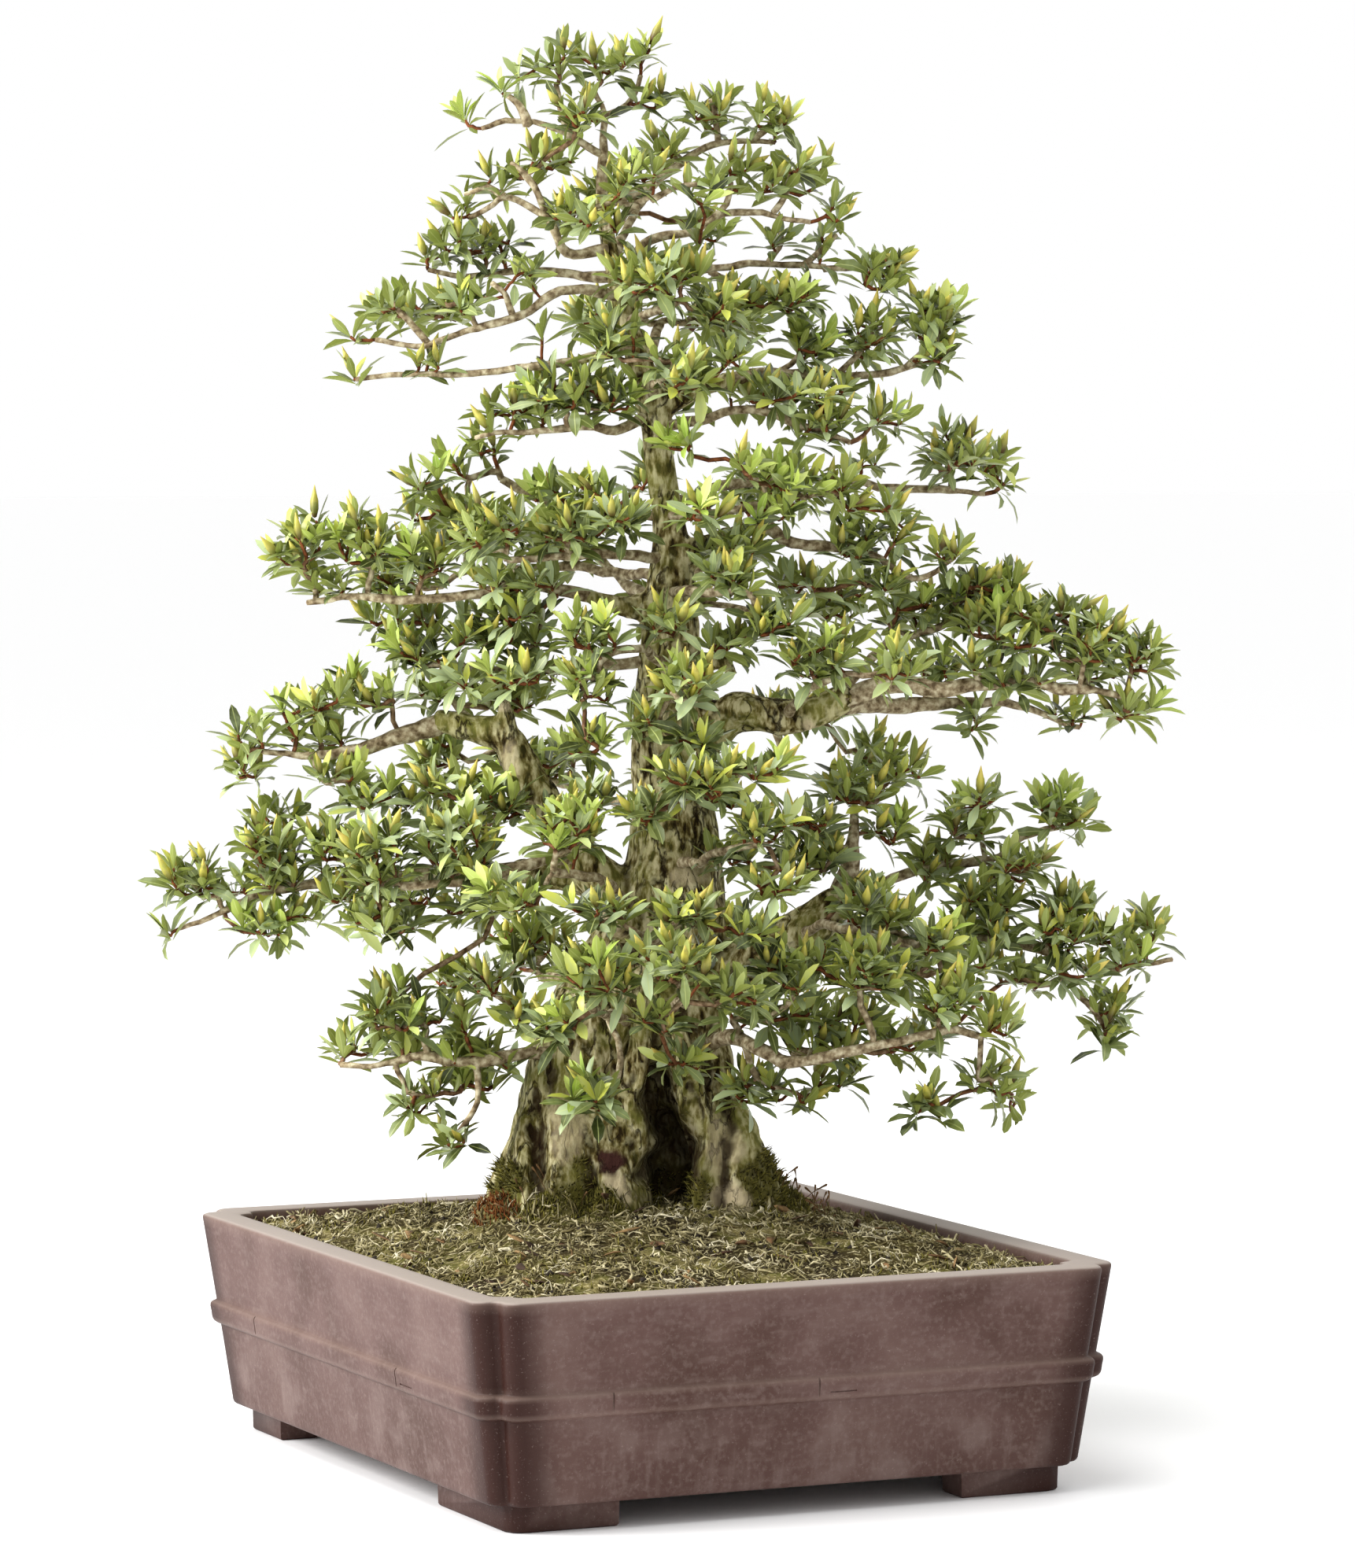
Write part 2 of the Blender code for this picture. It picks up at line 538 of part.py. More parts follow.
def placed(across, down, depth):
    """Returns the place of a point given in steps across and down and mm of depth."""
    right, along = sight_vectors()
    distance = TRUNK_DISTANCE + depth * MM
    scale = distance / STEPS_PER_SLOPE
    rise = (LEVEL_ROW - down) * scale
    return EYE + along * distance + right * ((across - CENTRE_COLUMN) * scale) + Vector((0, 0, rise))


def corner_outline(half_x, half_y, notch, radius, steps):
    """Returns one corner of the pot's plan, from the side wall round to the front wall."""
    points = []
    for step in range(steps + 1):
        turn = math.pi / 2 * step / steps
        x = half_x - radius + radius * math.cos(turn)
        y = half_y - notch - radius + radius * math.sin(turn)
        points.append((x, y))
    points.append((half_x - notch, half_y - notch))
    for step in range(steps + 1):
        turn = math.pi / 2 * step / steps
        x = half_x - notch - radius + radius * math.cos(turn)
        y = half_y - radius + radius * math.sin(turn)
        points.append((x, y))
    return points


def pot_outline(half_x, half_y, notch, radius, steps=LOBE_STEPS):
    """Returns the pot's plan with its four notched corners, turning left all the way."""
    corner = corner_outline(half_x, half_y, notch, radius, steps)
    mirrored = [(-x, y) for x, y in reversed(corner)]
    upper = corner + mirrored
    lower = [(-x, -y) for x, y in upper]
    return upper + lower


def wall_section(height, outward):
    """Returns the outer wall's plan at a height, pushed outward by a length."""
    down = (POT_HEIGHT - height) / (POT_HEIGHT - FOOT_HEIGHT)
    inset = POT_TAPER * down - outward
    notch = NOTCH_TOP + (NOTCH_FOOT - NOTCH_TOP) * down
    radius = min(LOBE_RADIUS, notch * LOBE_SHARE)
    outline = pot_outline(POT_HALF_X - inset, POT_HALF_Y - inset, notch, radius)
    return [(x, y, height) for x, y in outline]


def inner_section(height, inset, steps=LOBE_STEPS):
    """Returns the inner wall's plan at a height, inset from the outer wall."""
    notch = NOTCH_FOOT
    radius = notch * LOBE_SHARE
    outline = pot_outline(POT_HALF_X - inset, POT_HALF_Y - inset, notch, radius, steps)
    return [(x, y, height) for x, y in outline]


def inner_inset(height):
    """Returns how far the inner wall stands inside the rim's outer edge at a height."""
    down = (POT_HEIGHT - height) / (POT_HEIGHT - FOOT_HEIGHT)
    return RIM_WIDTH + (POT_TAPER + WALL - RIM_WIDTH) * down


def make_foot(side_x, side_y, group):
    """Returns one angled foot under a corner of the pot."""
    edge_x = POT_HALF_X - POT_TAPER - FOOT_INSET
    edge_y = POT_HALF_Y - POT_TAPER - FOOT_INSET
    leg_y = FOOT_LEG_Y_FRONT if side_y < 0 else FOOT_LEG_Y_BACK
    outline = [
        (edge_x, edge_y - leg_y),
        (edge_x, edge_y - FOOT_BEVEL),
        (edge_x - FOOT_BEVEL, edge_y),
        (edge_x - FOOT_LEG_X, edge_y),
        (edge_x - FOOT_LEG_X, edge_y - FOOT_WIDTH),
        (edge_x - FOOT_WIDTH, edge_y - FOOT_WIDTH),
        (edge_x - FOOT_WIDTH, edge_y - leg_y),
    ]
    outline = [(x * side_x, y * side_y) for x, y in outline]
    return upright_prism("foot", outline, 0.0, FOOT_HEIGHT + FOOT_SINK, group)


def belt_joint_cutters(group):
    """Returns thin upright cutters for the joint lines across the belt."""
    cutters = []
    low = BELT_BOTTOM + CUT_MARGIN
    high = BELT_BOTTOM + BELT_HEIGHT - CUT_MARGIN
    middle = BELT_BOTTOM + BELT_HEIGHT / 2
    inset = POT_TAPER * (POT_HEIGHT - middle) / (POT_HEIGHT - FOOT_HEIGHT)
    face_x = POT_HALF_X - inset + BELT_RAISE
    face_y = POT_HALF_Y - inset + BELT_RAISE
    half = BELT_JOINT_WIDTH / 2
    for side in (-1, 1):
        for x in BELT_JOINTS_X:
            near = side * (face_y - BELT_JOINT_DEPTH)
            far = side * (face_y + CUT_MARGIN)
            low_corner = (x - half, min(near, far), low)
            cutters.append(box("joint", low_corner, (x + half, max(near, far), high), group))
        for y in BELT_JOINTS_Y:
            near = side * (face_x - BELT_JOINT_DEPTH)
            far = side * (face_x + CUT_MARGIN)
            low_corner = (min(near, far), y - half, low)
            cutters.append(box("joint", low_corner, (max(near, far), y + half, high), group))
    return cutters


def make_pot(group, cutters):
    """Builds the pot body with its belt, feet and drain holes."""
    belt = [wall_section(BELT_BOTTOM + rise * MM, stand * MM) for rise, stand in BELT_SECTION]
    rings = [
        wall_section(FOOT_HEIGHT, -BASE_ROUND),
        wall_section(FOOT_HEIGHT + BASE_ROUND_RISE, 0.0),
        *belt,
        wall_section(POT_HEIGHT - RIM_ROUND, 0.0),
        wall_section(POT_HEIGHT, -RIM_ROUND),
        inner_section(POT_HEIGHT, RIM_WIDTH),
        inner_section(FOOT_HEIGHT + FLOOR_THICK, inner_inset(FOOT_HEIGHT + FLOOR_THICK)),
    ]
    pot = loft("pot", rings, group)
    feet = [make_foot(x, y, group) for x in (-1, 1) for y in (-1, 1)]
    unite(pot, feet)
    tools = belt_joint_cutters(cutters)
    for side in (-1, 1):
        tools.append(drain_cutter(side, cutters))
    group_cut = new_collection("pot_cutters")
    for tool in tools:
        cutters.objects.unlink(tool)
        group_cut.objects.link(tool)
    modify(pot, operation="DIFFERENCE", operand_type="COLLECTION", collection=group_cut)
    for tool in tools:
        bpy.data.objects.remove(tool)
    bpy.data.collections.remove(group_cut)
    return pot


def drain_cutter(side, cutters):
    """Returns the round cutter for one drain hole."""
    work = bmesh.new()
    matrix = Matrix.Translation((0, side * DRAIN_Y, FOOT_HEIGHT))
    bmesh.ops.create_cone(
        work, cap_ends=True, segments=DRAIN_SIDES, radius1=DRAIN_RADIUS, radius2=DRAIN_RADIUS,
        depth=6 * FLOOR_THICK, matrix=matrix,
    )
    return object_from_bmesh("drain", work, cutters)


def make_screen(name, side, group, cutters):
    """Builds the square mesh that keeps the soil in over one drain hole."""
    low = FOOT_HEIGHT + FLOOR_THICK + GAP
    half = SCREEN_SIDE / 2
    y = side * DRAIN_Y
    screen = box(name, (-half, y - half, low), (half, y + half, low + SCREEN_THICK), group)
    start = -SCREEN_PITCH * (SCREEN_HOLES - 1) / 2
    tools = new_collection("screen_cutters")
    for row in range(SCREEN_HOLES):
        for column in range(SCREEN_HOLES):
            x0 = start + column * SCREEN_PITCH - SCREEN_HOLE / 2
            y0 = y + start + row * SCREEN_PITCH - SCREEN_HOLE / 2
            low_corner = (x0, y0, low - CUT_MARGIN)
            high = low + SCREEN_THICK + CUT_MARGIN
            high_corner = (x0 + SCREEN_HOLE, y0 + SCREEN_HOLE, high)
            box("hole", low_corner, high_corner, tools)
    modify(screen, operation="DIFFERENCE", operand_type="COLLECTION", collection=tools)
    for tool in list(tools.objects):
        bpy.data.objects.remove(tool)
    bpy.data.collections.remove(tools)
    return screen


def mound_height(share):
    """Returns the soil's rise at a share of the way from the trunk out to the wall."""
    return SOIL_RISE * (1 - share ** MOUND_CURVE)


def mound_ring(outline, share, base):
    """Returns the wall's outline drawn in towards the trunk and raised on the mound."""
    ring = []
    for x, y in outline:
        px = MOUND_CENTRE[0] + (x - MOUND_CENTRE[0]) * share
        py = MOUND_CENTRE[1] + (y - MOUND_CENTRE[1]) * share
        ring.append((px, py, base + mound_height(share)))
    return ring


def soil_outline(height):
    """Returns the plan of a filling at a height, a gap inside the inner wall."""
    ring = inner_section(height, inner_inset(height) + GAP, FILLING_LOBE_STEPS)
    return [(x, y) for x, y, _ in ring]


def make_soil(group):
    """Builds the soil that fills the pot up to its gentle mound."""
    floor = FOOT_HEIGHT + FLOOR_THICK + GAP
    foot = [(x, y, floor) for x, y in soil_outline(floor)]
    edge = soil_outline(SOIL_EDGE)
    rings = [foot] + [mound_ring(edge, share, SOIL_EDGE) for share in MOUND_RINGS]
    soil = loft("soil", rings, group)
    for side in (-1, 1):
        half = SCREEN_SIDE / 2 + GAP
        y = side * DRAIN_Y
        top = floor + SCREEN_THICK + GAP
        tool = box("tool", (-half, y - half, floor - CUT_MARGIN), (half, y + half, top), group)
        cut(soil, tool)
        bpy.data.objects.remove(tool)
    return soil


def make_cushion(row, group):
    """Returns one low moss cushion: a dome whose underside is nearly flat."""
    across, down, depth, radius, height = row
    place = placed(across, down, depth)
    away = Vector((place.x - MOUND_CENTRE[0], place.y - MOUND_CENTRE[1]))
    top = SOIL_EDGE + mound_height(away.length / MOUND_REACH) + COVER_THICK
    work = bmesh.new()
    bmesh.ops.create_uvsphere(work, u_segments=8, v_segments=4, radius=1.0)
    for vert in work.verts:
        rise = height * MM if vert.co.z > 0 else CUSHION_SINK
        size = Vector((radius * STEP, radius * STEP, rise))
        vert.co = vert.co * size + Vector((place.x, place.y, top))
    return object_from_bmesh("cushion", work, group)


def make_cover(group, draw):
    """Builds the sphagnum and moss that cover the soil, with moss cushions at the roots."""
    base = SOIL_EDGE + GAP
    edge = soil_outline(SOIL_EDGE)
    under = [mound_ring(edge, share, base) for share in reversed(MOUND_RINGS)]
    rim = soil_outline(SOIL_EDGE + COVER_EDGE_DROP)
    side = [(x, y, base + COVER_EDGE_DROP) for x, y in rim]
    over = []
    for share in COVER_RINGS:
        ring = mound_ring(rim, share, base + COVER_THICK)
        over.append([(x, y, z + draw.uniform(-COVER_BUMP, COVER_BUMP)) for x, y, z in ring])
    cover = loft("moss_cover", under + [side] + over, group, lean_back=True)
    unite(cover, [make_cushion(row, group) for row in CUSHIONS])
    return cover


def tube(name, points, radii, group, sides_step=0, grow=0.0):
    """Returns a tapering stem along points, its ends pushed out by the growth."""
    path = [Vector(point) for point in points]
    if grow:
        path[0] = path[0] - (path[1] - path[0]).normalized() * grow
        path[-1] = path[-1] + (path[-1] - path[-2]).normalized() * grow
    curve = bpy.data.curves.new(name, "CURVE")
    curve.dimensions = "3D"
    curve.bevel_depth = 1.0
    curve.bevel_resolution = sides_step
    curve.use_fill_caps = True
    spline = curve.splines.new("POLY")
    spline.points.add(len(path) - 1)
    for knot, place, radius in zip(spline.points, path, radii):
        knot.co = (*place, 1.0)
        knot.radius = radius + grow
    guide = bpy.data.objects.new(name, curve)
    group.objects.link(guide)
    context = bpy.context.evaluated_depsgraph_get()
    mesh = bpy.data.meshes.new_from_object(guide.evaluated_get(context))
    bpy.data.objects.remove(guide)
    bpy.data.curves.remove(curve)
    work = bmesh.new()
    work.from_mesh(mesh)
    bpy.data.meshes.remove(mesh)
    bmesh.ops.remove_doubles(work, verts=work.verts, dist=1e-6)
    return object_from_bmesh(name, work, group)


def stem(row, group, sides_step, grow):
    """Returns one trunk or limb tube from a row of the tables."""
    points = [placed(u, v, depth) for u, v, depth, _ in row]
    radii = [radius * STEP for *_, radius in row]
    return tube("stem", points, radii, group, sides_step, grow)


def make_trunk(name, group, grow=0.0):
    """Builds the trunk with its roots and first limbs as one piece of wood."""
    trunk = stem(TRUNK_TUBES[0], group, TRUNK_SIDES_STEP, grow)
    trunk.name = name
    parts = [stem(row, group, TRUNK_SIDES_STEP, grow) for row in TRUNK_TUBES[1:]]
    parts += [stem(row, group, LIMB_SIDES_STEP, grow) for row in LIMB_TUBES]
    unite(trunk, parts)
    return trunk


def segment_gaps(a, b, starts, ends):
    """Returns the least distances from segment a-b to each segment in two arrays."""
    along = b - a
    others = ends - starts
    offset = a - starts
    aa = along @ along
    bb = np.einsum("ij,ij->i", others, others)
    ab = others @ along
    ad = offset @ along
    bd = np.einsum("ij,ij->i", others, offset)
    spread = np.maximum(aa * bb - ab * ab, 1e-18)
    s = np.clip((ab * bd - bb * ad) / spread, 0, 1)
    t = np.clip((ab * s + bd) / np.maximum(bb, 1e-18), 0, 1)
    s = np.clip((ab * t - ad) / max(aa, 1e-18), 0, 1)
    near = a + s[:, None] * along
    far = starts + t[:, None] * others
    return np.linalg.norm(near - far, axis=1)


class Occupied:
    """Remembers the room that stems and blades take, so that sprays stay apart."""

    def __init__(self):
        self.starts = []
        self.ends = []
        self.radii = []
        self.owners = []

    def add(self, start, end, radius, owner):
        """Adds one rounded stick."""
        self.starts.append(tuple(start))
        self.ends.append(tuple(end))
        self.radii.append(radius)
        self.owners.append(owner)

    def add_path(self, points, radii, owner):
        """Adds each run of a path."""
        for run in range(len(points) - 1):
            widest = max(radii[run], radii[run + 1])
            self.add(points[run], points[run + 1], widest, owner)

    def is_clear(self, start, end, radius, owner):
        """Tells if a stick stays clear of every stick but its owner's own wood and twigs."""
        other = np.array([name != owner for name in self.owners])
        if not other.any():
            return True
        starts = np.array(self.starts)[other]
        ends = np.array(self.ends)[other]
        room = np.array(self.radii)[other] + radius + SPRAY_CLEARANCE
        gaps = segment_gaps(np.array(start), np.array(end), starts, ends)
        return bool((gaps > room).all())


def wood_radii(count):
    """Returns radii that taper evenly along a spray's wood."""
    return [
        WOOD_BASE_RADIUS + (WOOD_TIP_RADIUS - WOOD_BASE_RADIUS) * index / (count - 1)
        for index in range(count)
    ]


def occupy_trunk(occupied):
    """Adds the trunk and the limbs to the occupied room."""
    for row in TRUNK_TUBES + LIMB_TUBES:
        points = [placed(u, v, depth) for u, v, depth, _ in row]
        occupied.add_path(points, [radius * STEP for *_, radius in row], "trunk")


def nearest_on_path(points, place):
    """Returns the point on a path nearest to a place."""
    best = None
    for start, end in zip(points, points[1:]):
        run = end - start
        share = max(0.0, min(1.0, (place - start).dot(run) / run.length_squared))
        spot = start + run * share
        if best is None or (spot - place).length < (best - place).length:
            best = spot
    return best


def twig_anchor(paths, tip):
    """Returns where on a spray's wood the twig to a tip starts."""
    spots = [nearest_on_path(points[1:] if len(points) > 2 else points, tip) for points in paths]
    return min(spots, key=lambda spot: (spot - tip).length)


def blade_frame(axis, heading):
    """Returns a blade's way out, its side and its upper side, for a heading round the axis."""
    lift = BLADE_LIFTS[round(heading / (math.pi / 2)) % 2]
    out = axis.orthogonal().normalized()
    out.rotate(Matrix.Rotation(heading, 3, axis))
    way = out * math.cos(lift) + axis * math.sin(lift)
    side = axis.cross(out).normalized()
    return way, side, way.cross(side)


def blade_points(tip, axis):
    """Returns the four points that the blades of a whorl reach to."""
    points = []
    for quarter in range(BLADES_PER_TIP):
        way, _, upper = blade_frame(axis, quarter * math.pi / 2)
        points.append(tip + way * BLADE_LENGTH - upper * BLADE_DROOP)
    return points


def draw_out(work, face):
    """Extrudes one face and returns the new face."""
    return bmesh.ops.extrude_discrete_faces(work, faces=[face])["faces"][0]


def grow_blade(work, panel, centre, axis):
    """Draws one collar panel out into a flat blade that ends in a point."""
    outward = panel.calc_center_median() - centre
    outward -= axis * outward.dot(axis)
    start = axis.orthogonal().normalized()
    heading = math.atan2(axis.cross(start).dot(outward), start.dot(outward))
    quarter = round(heading / (math.pi / 2)) * math.pi / 2
    way, side, upper = blade_frame(axis, quarter)
    wide = draw_out(work, panel)
    middle = wide.calc_center_median()
    reach = centre + way * BLADE_LENGTH * BLADE_WIDEST
    for vert in wide.verts:
        offset = vert.co - middle
        across = math.copysign(BLADE_WIDTH / 2, offset.dot(side))
        raised = math.copysign(BLADE_THICK / 2, offset.dot(axis))
        vert.co = reach + side * across + upper * raised
    point = draw_out(work, wide)
    place = centre + way * BLADE_LENGTH - upper * BLADE_DROOP
    bmesh.ops.pointmerge(work, verts=point.verts[:], merge_co=place)


def make_tip(anchor, tip, axis, group):
    """Returns a twig with a whorl of blades drawn out of the collar at its end."""
    start = axis.orthogonal().normalized()
    across = axis.cross(start)
    work = bmesh.new()
    rings = []
    for centre, radius in ((anchor, TWIG_BASE_RADIUS), (tip, TWIG_TIP_RADIUS)):
        corners = [(1, -1), (1, 1), (-1, 1), (-1, -1)]
        reach = radius / math.sqrt(2)
        rings.append([centre + (start * x + across * y) * reach for x, y in corners])
    rows = [[work.verts.new(place) for place in ring] for ring in rings]
    for a in range(4):
        b = (a + 1) % 4
        work.faces.new((rows[0][a], rows[0][b], rows[1][b], rows[1][a]))
    work.faces.new(list(reversed(rows[0])))
    cap = draw_out(work, work.faces.new(rows[1]))
    for vert in cap.verts:
        vert.co += axis * COLLAR
    panels = [face for edge in cap.edges for face in edge.link_faces if face is not cap]
    for panel in panels:
        grow_blade(work, panel, tip + axis * COLLAR / 2, axis)
    return object_from_bmesh("tip", work, group)


def pad_place(pad, draw, stretch):
    """Returns a random place on the upper shell of a pad, which is stretched by a share."""
    across, down, depth, half_width, half_height = pad
    turn = draw.uniform(0, 2 * math.pi)
    reach = math.sqrt(draw.uniform(PAD_INNER, 1.0))
    rise = draw.uniform(PAD_LOW, 1.0) * math.sqrt(1 - reach * reach * PAD_DOME)
    u = across + half_width * stretch * reach * math.cos(turn)
    v = down - half_height * stretch * rise
    span = half_width * stretch * STEP / MM * PAD_DEPTH_SHARE
    return placed(u, v, depth + span * reach * math.sin(turn))


def try_tip(name, paths, tip, draw, occupied):
    """Returns the foot of the twig, its whorl's axis and blade points, or None if it won't fit."""
    anchor = twig_anchor(paths, tip)
    run = tip - anchor
    if run.length < SHORTEST_TWIG:
        return None
    if not occupied.is_clear(anchor, tip, TWIG_BASE_RADIUS, name):
        return None
    lean = Vector((draw.uniform(-TIP_LEAN, TIP_LEAN), draw.uniform(-TIP_LEAN, TIP_LEAN), TIP_RISE))
    axis = (run.normalized() + lean).normalized()
    points = blade_points(tip, axis)
    for point in points:
        if not occupied.is_clear(tip, point, BLADE_WIDTH / 2, name):
            return None
    return anchor, axis, points


def add_tip(name, paths, pad, draw, occupied, group):
    """Returns a leafy twig for one tip of a pad in a list, empty where no place is clear."""
    for attempt in range(TRIES_PER_TIP):
        tip = pad_place(pad, draw, 1 + STRETCH * attempt / TRIES_PER_TIP)
        found = try_tip(name, paths, tip, draw, occupied)
        if found is None:
            continue
        anchor, axis, points = found
        occupied.add(anchor, tip, TWIG_BASE_RADIUS, name)
        for point in points:
            occupied.add(tip, point, BLADE_WIDTH / 2, name + " whorl")
        return [make_tip(anchor, tip, axis, group)]
    return []


def grow_spray(name, woods, pads, group, occupied, draw):
    """Builds one spray: its wood, its twigs and the whorls at their tips."""
    paths = [[placed(*point) for point in wood] for wood in woods]
    spray = tube(name, paths[0], wood_radii(len(paths[0])), group)
    parts = []
    for path in paths[1:]:
        radii = [radius * FORK_SHARE for radius in wood_radii(len(path))]
        parts.append(tube("fork", path, radii, group))
    for pad in pads:
        count = 2 if pad[3] >= WIDE_PAD else 1
        for _ in range(count):
            parts += add_tip(name, paths, pad, draw, occupied, group)
    unite(spray, parts)
    return spray


def make_sprays(group, trunk_cutter):
    """Builds every spray and cuts its foot a gap clear of the trunk."""
    occupied = Occupied()
    occupy_trunk(occupied)
    for name, woods, _ in SPRAYS:
        for wood in woods:
            points = [placed(*point) for point in wood]
            occupied.add_path(points, wood_radii(len(points)), name)
    sprays = []
    for index, (name, woods, pads) in enumerate(SPRAYS):
        draw = random.Random(SEED + index)
        spray = grow_spray(name, woods, pads, group, occupied, draw)
        cut(spray, trunk_cutter)
        sprays.append(spray)
    return sprays


def finish(things, finish_material):
    """Cleans each node and gives it its own copy of a material."""
    for thing in things:
        keep_largest_shell(thing)
        own = finish_material.copy()
        own.name = thing.name + "_finish"
        thing.data.materials.clear()
        thing.data.materials.append(own)


def move_to_row(things):
    """Moves every piece so that the origin is under the middle of the object."""
    for thing in things:
        thing.data.transform(Matrix.Translation(ROW_SHIFT))


def main():
    """Builds the whole object."""
    clear_scene()
    group = new_collection("satsuki_azalea_bonsai")
    cutters = new_collection("cutters")
    cutters.hide_render = True
    stoneware = new_material("stoneware", STONEWARE_COLOUR, 0.7)
    plastic = new_material("screen_plastic", SCREEN_COLOUR, 0.6)
    earth = new_material("earth", EARTH_COLOUR, 1.0)
    moss = new_material("moss", MOSS_COLOUR, 1.0)
    bark = new_material("bark", BARK_COLOUR, 0.9)
    leaf = new_material("leaf", LEAF_COLOUR, 0.5)
    draw = random.Random(SEED)
    finish([make_pot(group, cutters)], stoneware)
    screens = [
        make_screen("drain_screen_front", -1, group, cutters),
        make_screen("drain_screen_back", 1, group, cutters),
    ]
    finish(screens, plastic)
    trunk_cutter = make_trunk("trunk_cutter", cutters, CUTTER_GROWTH)
    trunk_cutter.display_type = "WIRE"
    trunk_cutter.hide_render = True
    soil = make_soil(group)
    cut(soil, trunk_cutter)
    finish([soil], earth)
    cover = make_cover(group, draw)
    cut(cover, trunk_cutter)
    finish([cover], moss)
    finish([make_trunk("trunk", group)], bark)
    finish(make_sprays(group, trunk_cutter), leaf)
    move_to_row([*group.objects, trunk_cutter])


main()
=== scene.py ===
"""Looks of a satsuki azalea bonsai in its notched stoneware pot.

Every piece is worked out round the pot's own centre, in metres with +Z up, and is
moved by ROW_SHIFT into the row's frame when its mesh is made.  The tree is set out
along one line of sight: a position is steps across, steps down and mm of depth.
"""

from __future__ import annotations

import json
import logging
import math
from dataclasses import dataclass
from dataclasses import field
from dataclasses import replace
from enum import Enum

import bmesh
import bpy
import numpy as np
from mathutils import Euler
from mathutils import Matrix
from mathutils import Vector

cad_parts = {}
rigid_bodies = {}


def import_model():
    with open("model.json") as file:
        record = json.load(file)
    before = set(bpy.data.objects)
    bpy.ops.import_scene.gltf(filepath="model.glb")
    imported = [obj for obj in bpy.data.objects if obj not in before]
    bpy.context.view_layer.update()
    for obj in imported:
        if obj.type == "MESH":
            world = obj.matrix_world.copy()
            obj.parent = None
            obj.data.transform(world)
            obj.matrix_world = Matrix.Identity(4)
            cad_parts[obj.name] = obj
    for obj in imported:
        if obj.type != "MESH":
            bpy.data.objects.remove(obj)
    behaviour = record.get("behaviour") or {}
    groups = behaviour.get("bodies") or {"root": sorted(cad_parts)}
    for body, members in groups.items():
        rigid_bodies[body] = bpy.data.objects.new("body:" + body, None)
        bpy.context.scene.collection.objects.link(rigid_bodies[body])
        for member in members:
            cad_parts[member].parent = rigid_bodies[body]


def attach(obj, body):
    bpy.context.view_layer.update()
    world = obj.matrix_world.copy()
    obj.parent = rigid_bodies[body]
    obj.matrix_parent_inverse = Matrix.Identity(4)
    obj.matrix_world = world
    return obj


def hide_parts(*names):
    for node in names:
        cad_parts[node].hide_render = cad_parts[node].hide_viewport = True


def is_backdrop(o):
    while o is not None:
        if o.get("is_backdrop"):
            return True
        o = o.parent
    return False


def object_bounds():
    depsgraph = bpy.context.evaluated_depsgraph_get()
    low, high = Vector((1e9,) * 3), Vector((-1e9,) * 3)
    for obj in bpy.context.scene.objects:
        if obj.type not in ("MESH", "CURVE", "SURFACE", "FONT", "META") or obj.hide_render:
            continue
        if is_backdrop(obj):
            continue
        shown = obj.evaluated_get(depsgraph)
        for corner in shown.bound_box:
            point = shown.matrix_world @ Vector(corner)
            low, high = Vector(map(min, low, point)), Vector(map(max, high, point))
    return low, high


LOG = logging.getLogger("azalea")

# Short names of types; stops are places and hex colours of a run of colours
Array = np.ndarray
Mesh = bpy.types.Mesh
Socket = bpy.types.NodeSocket
Thing = bpy.types.Object
Tree = bpy.types.NodeTree
Stops = tuple[tuple[float, str], ...]

MM = 0.001
ROW_SHIFT = np.array((-26.0, -16.0, 0.0)) * MM
SEED = 1717

# Line of sight that the tree is set out along
EYE = np.array((-1.484, -3.290, 0.601))
SIGHT_TURN = math.radians(24.6)
SIGHT_DIP = math.radians(3.19)
STEPS_PER_SLOPE = 7803
LEVEL_ROW = 561.6
CENTRE_COLUMN = 861
TRUNK_DISTANCE = 3.65
STEP = TRUNK_DISTANCE / STEPS_PER_SLOPE
LENS = 140.95
SENSOR = 36.0

# Pot
POT_HALF_X = 200 * MM
POT_HALF_Y = 231 * MM
POT_HEIGHT = 132 * MM
POT_TAPER = 16 * MM
NOTCH_TOP = 14 * MM
NOTCH_FOOT = 10 * MM
LOBE_RADIUS = 8 * MM
LOBE_SHARE = 0.7
RIM_WIDTH = 20 * MM
WALL = 13 * MM
FLOOR_THICK = 12 * MM
FOOT_HEIGHT = 16 * MM
BELT_RAISE = 3.6 * MM

# Fillings
GAP = 0.35 * MM
SOIL_EDGE = 117 * MM
SOIL_RISE = 24 * MM
MOUND_CURVE = 1.6
COVER_THICK = 6 * MM
MOUND_CENTRE = np.array((0.016, 0.034))

# Moss cushions: (across, down, depth in mm, radius in steps, height in mm)
CUSHIONS = (
    (702, 1522, -44, 38, 13), (768, 1528, -40, 30, 12), (640, 1524, -26, 40, 12),
    (1000, 1535, -6, 30, 13),
)

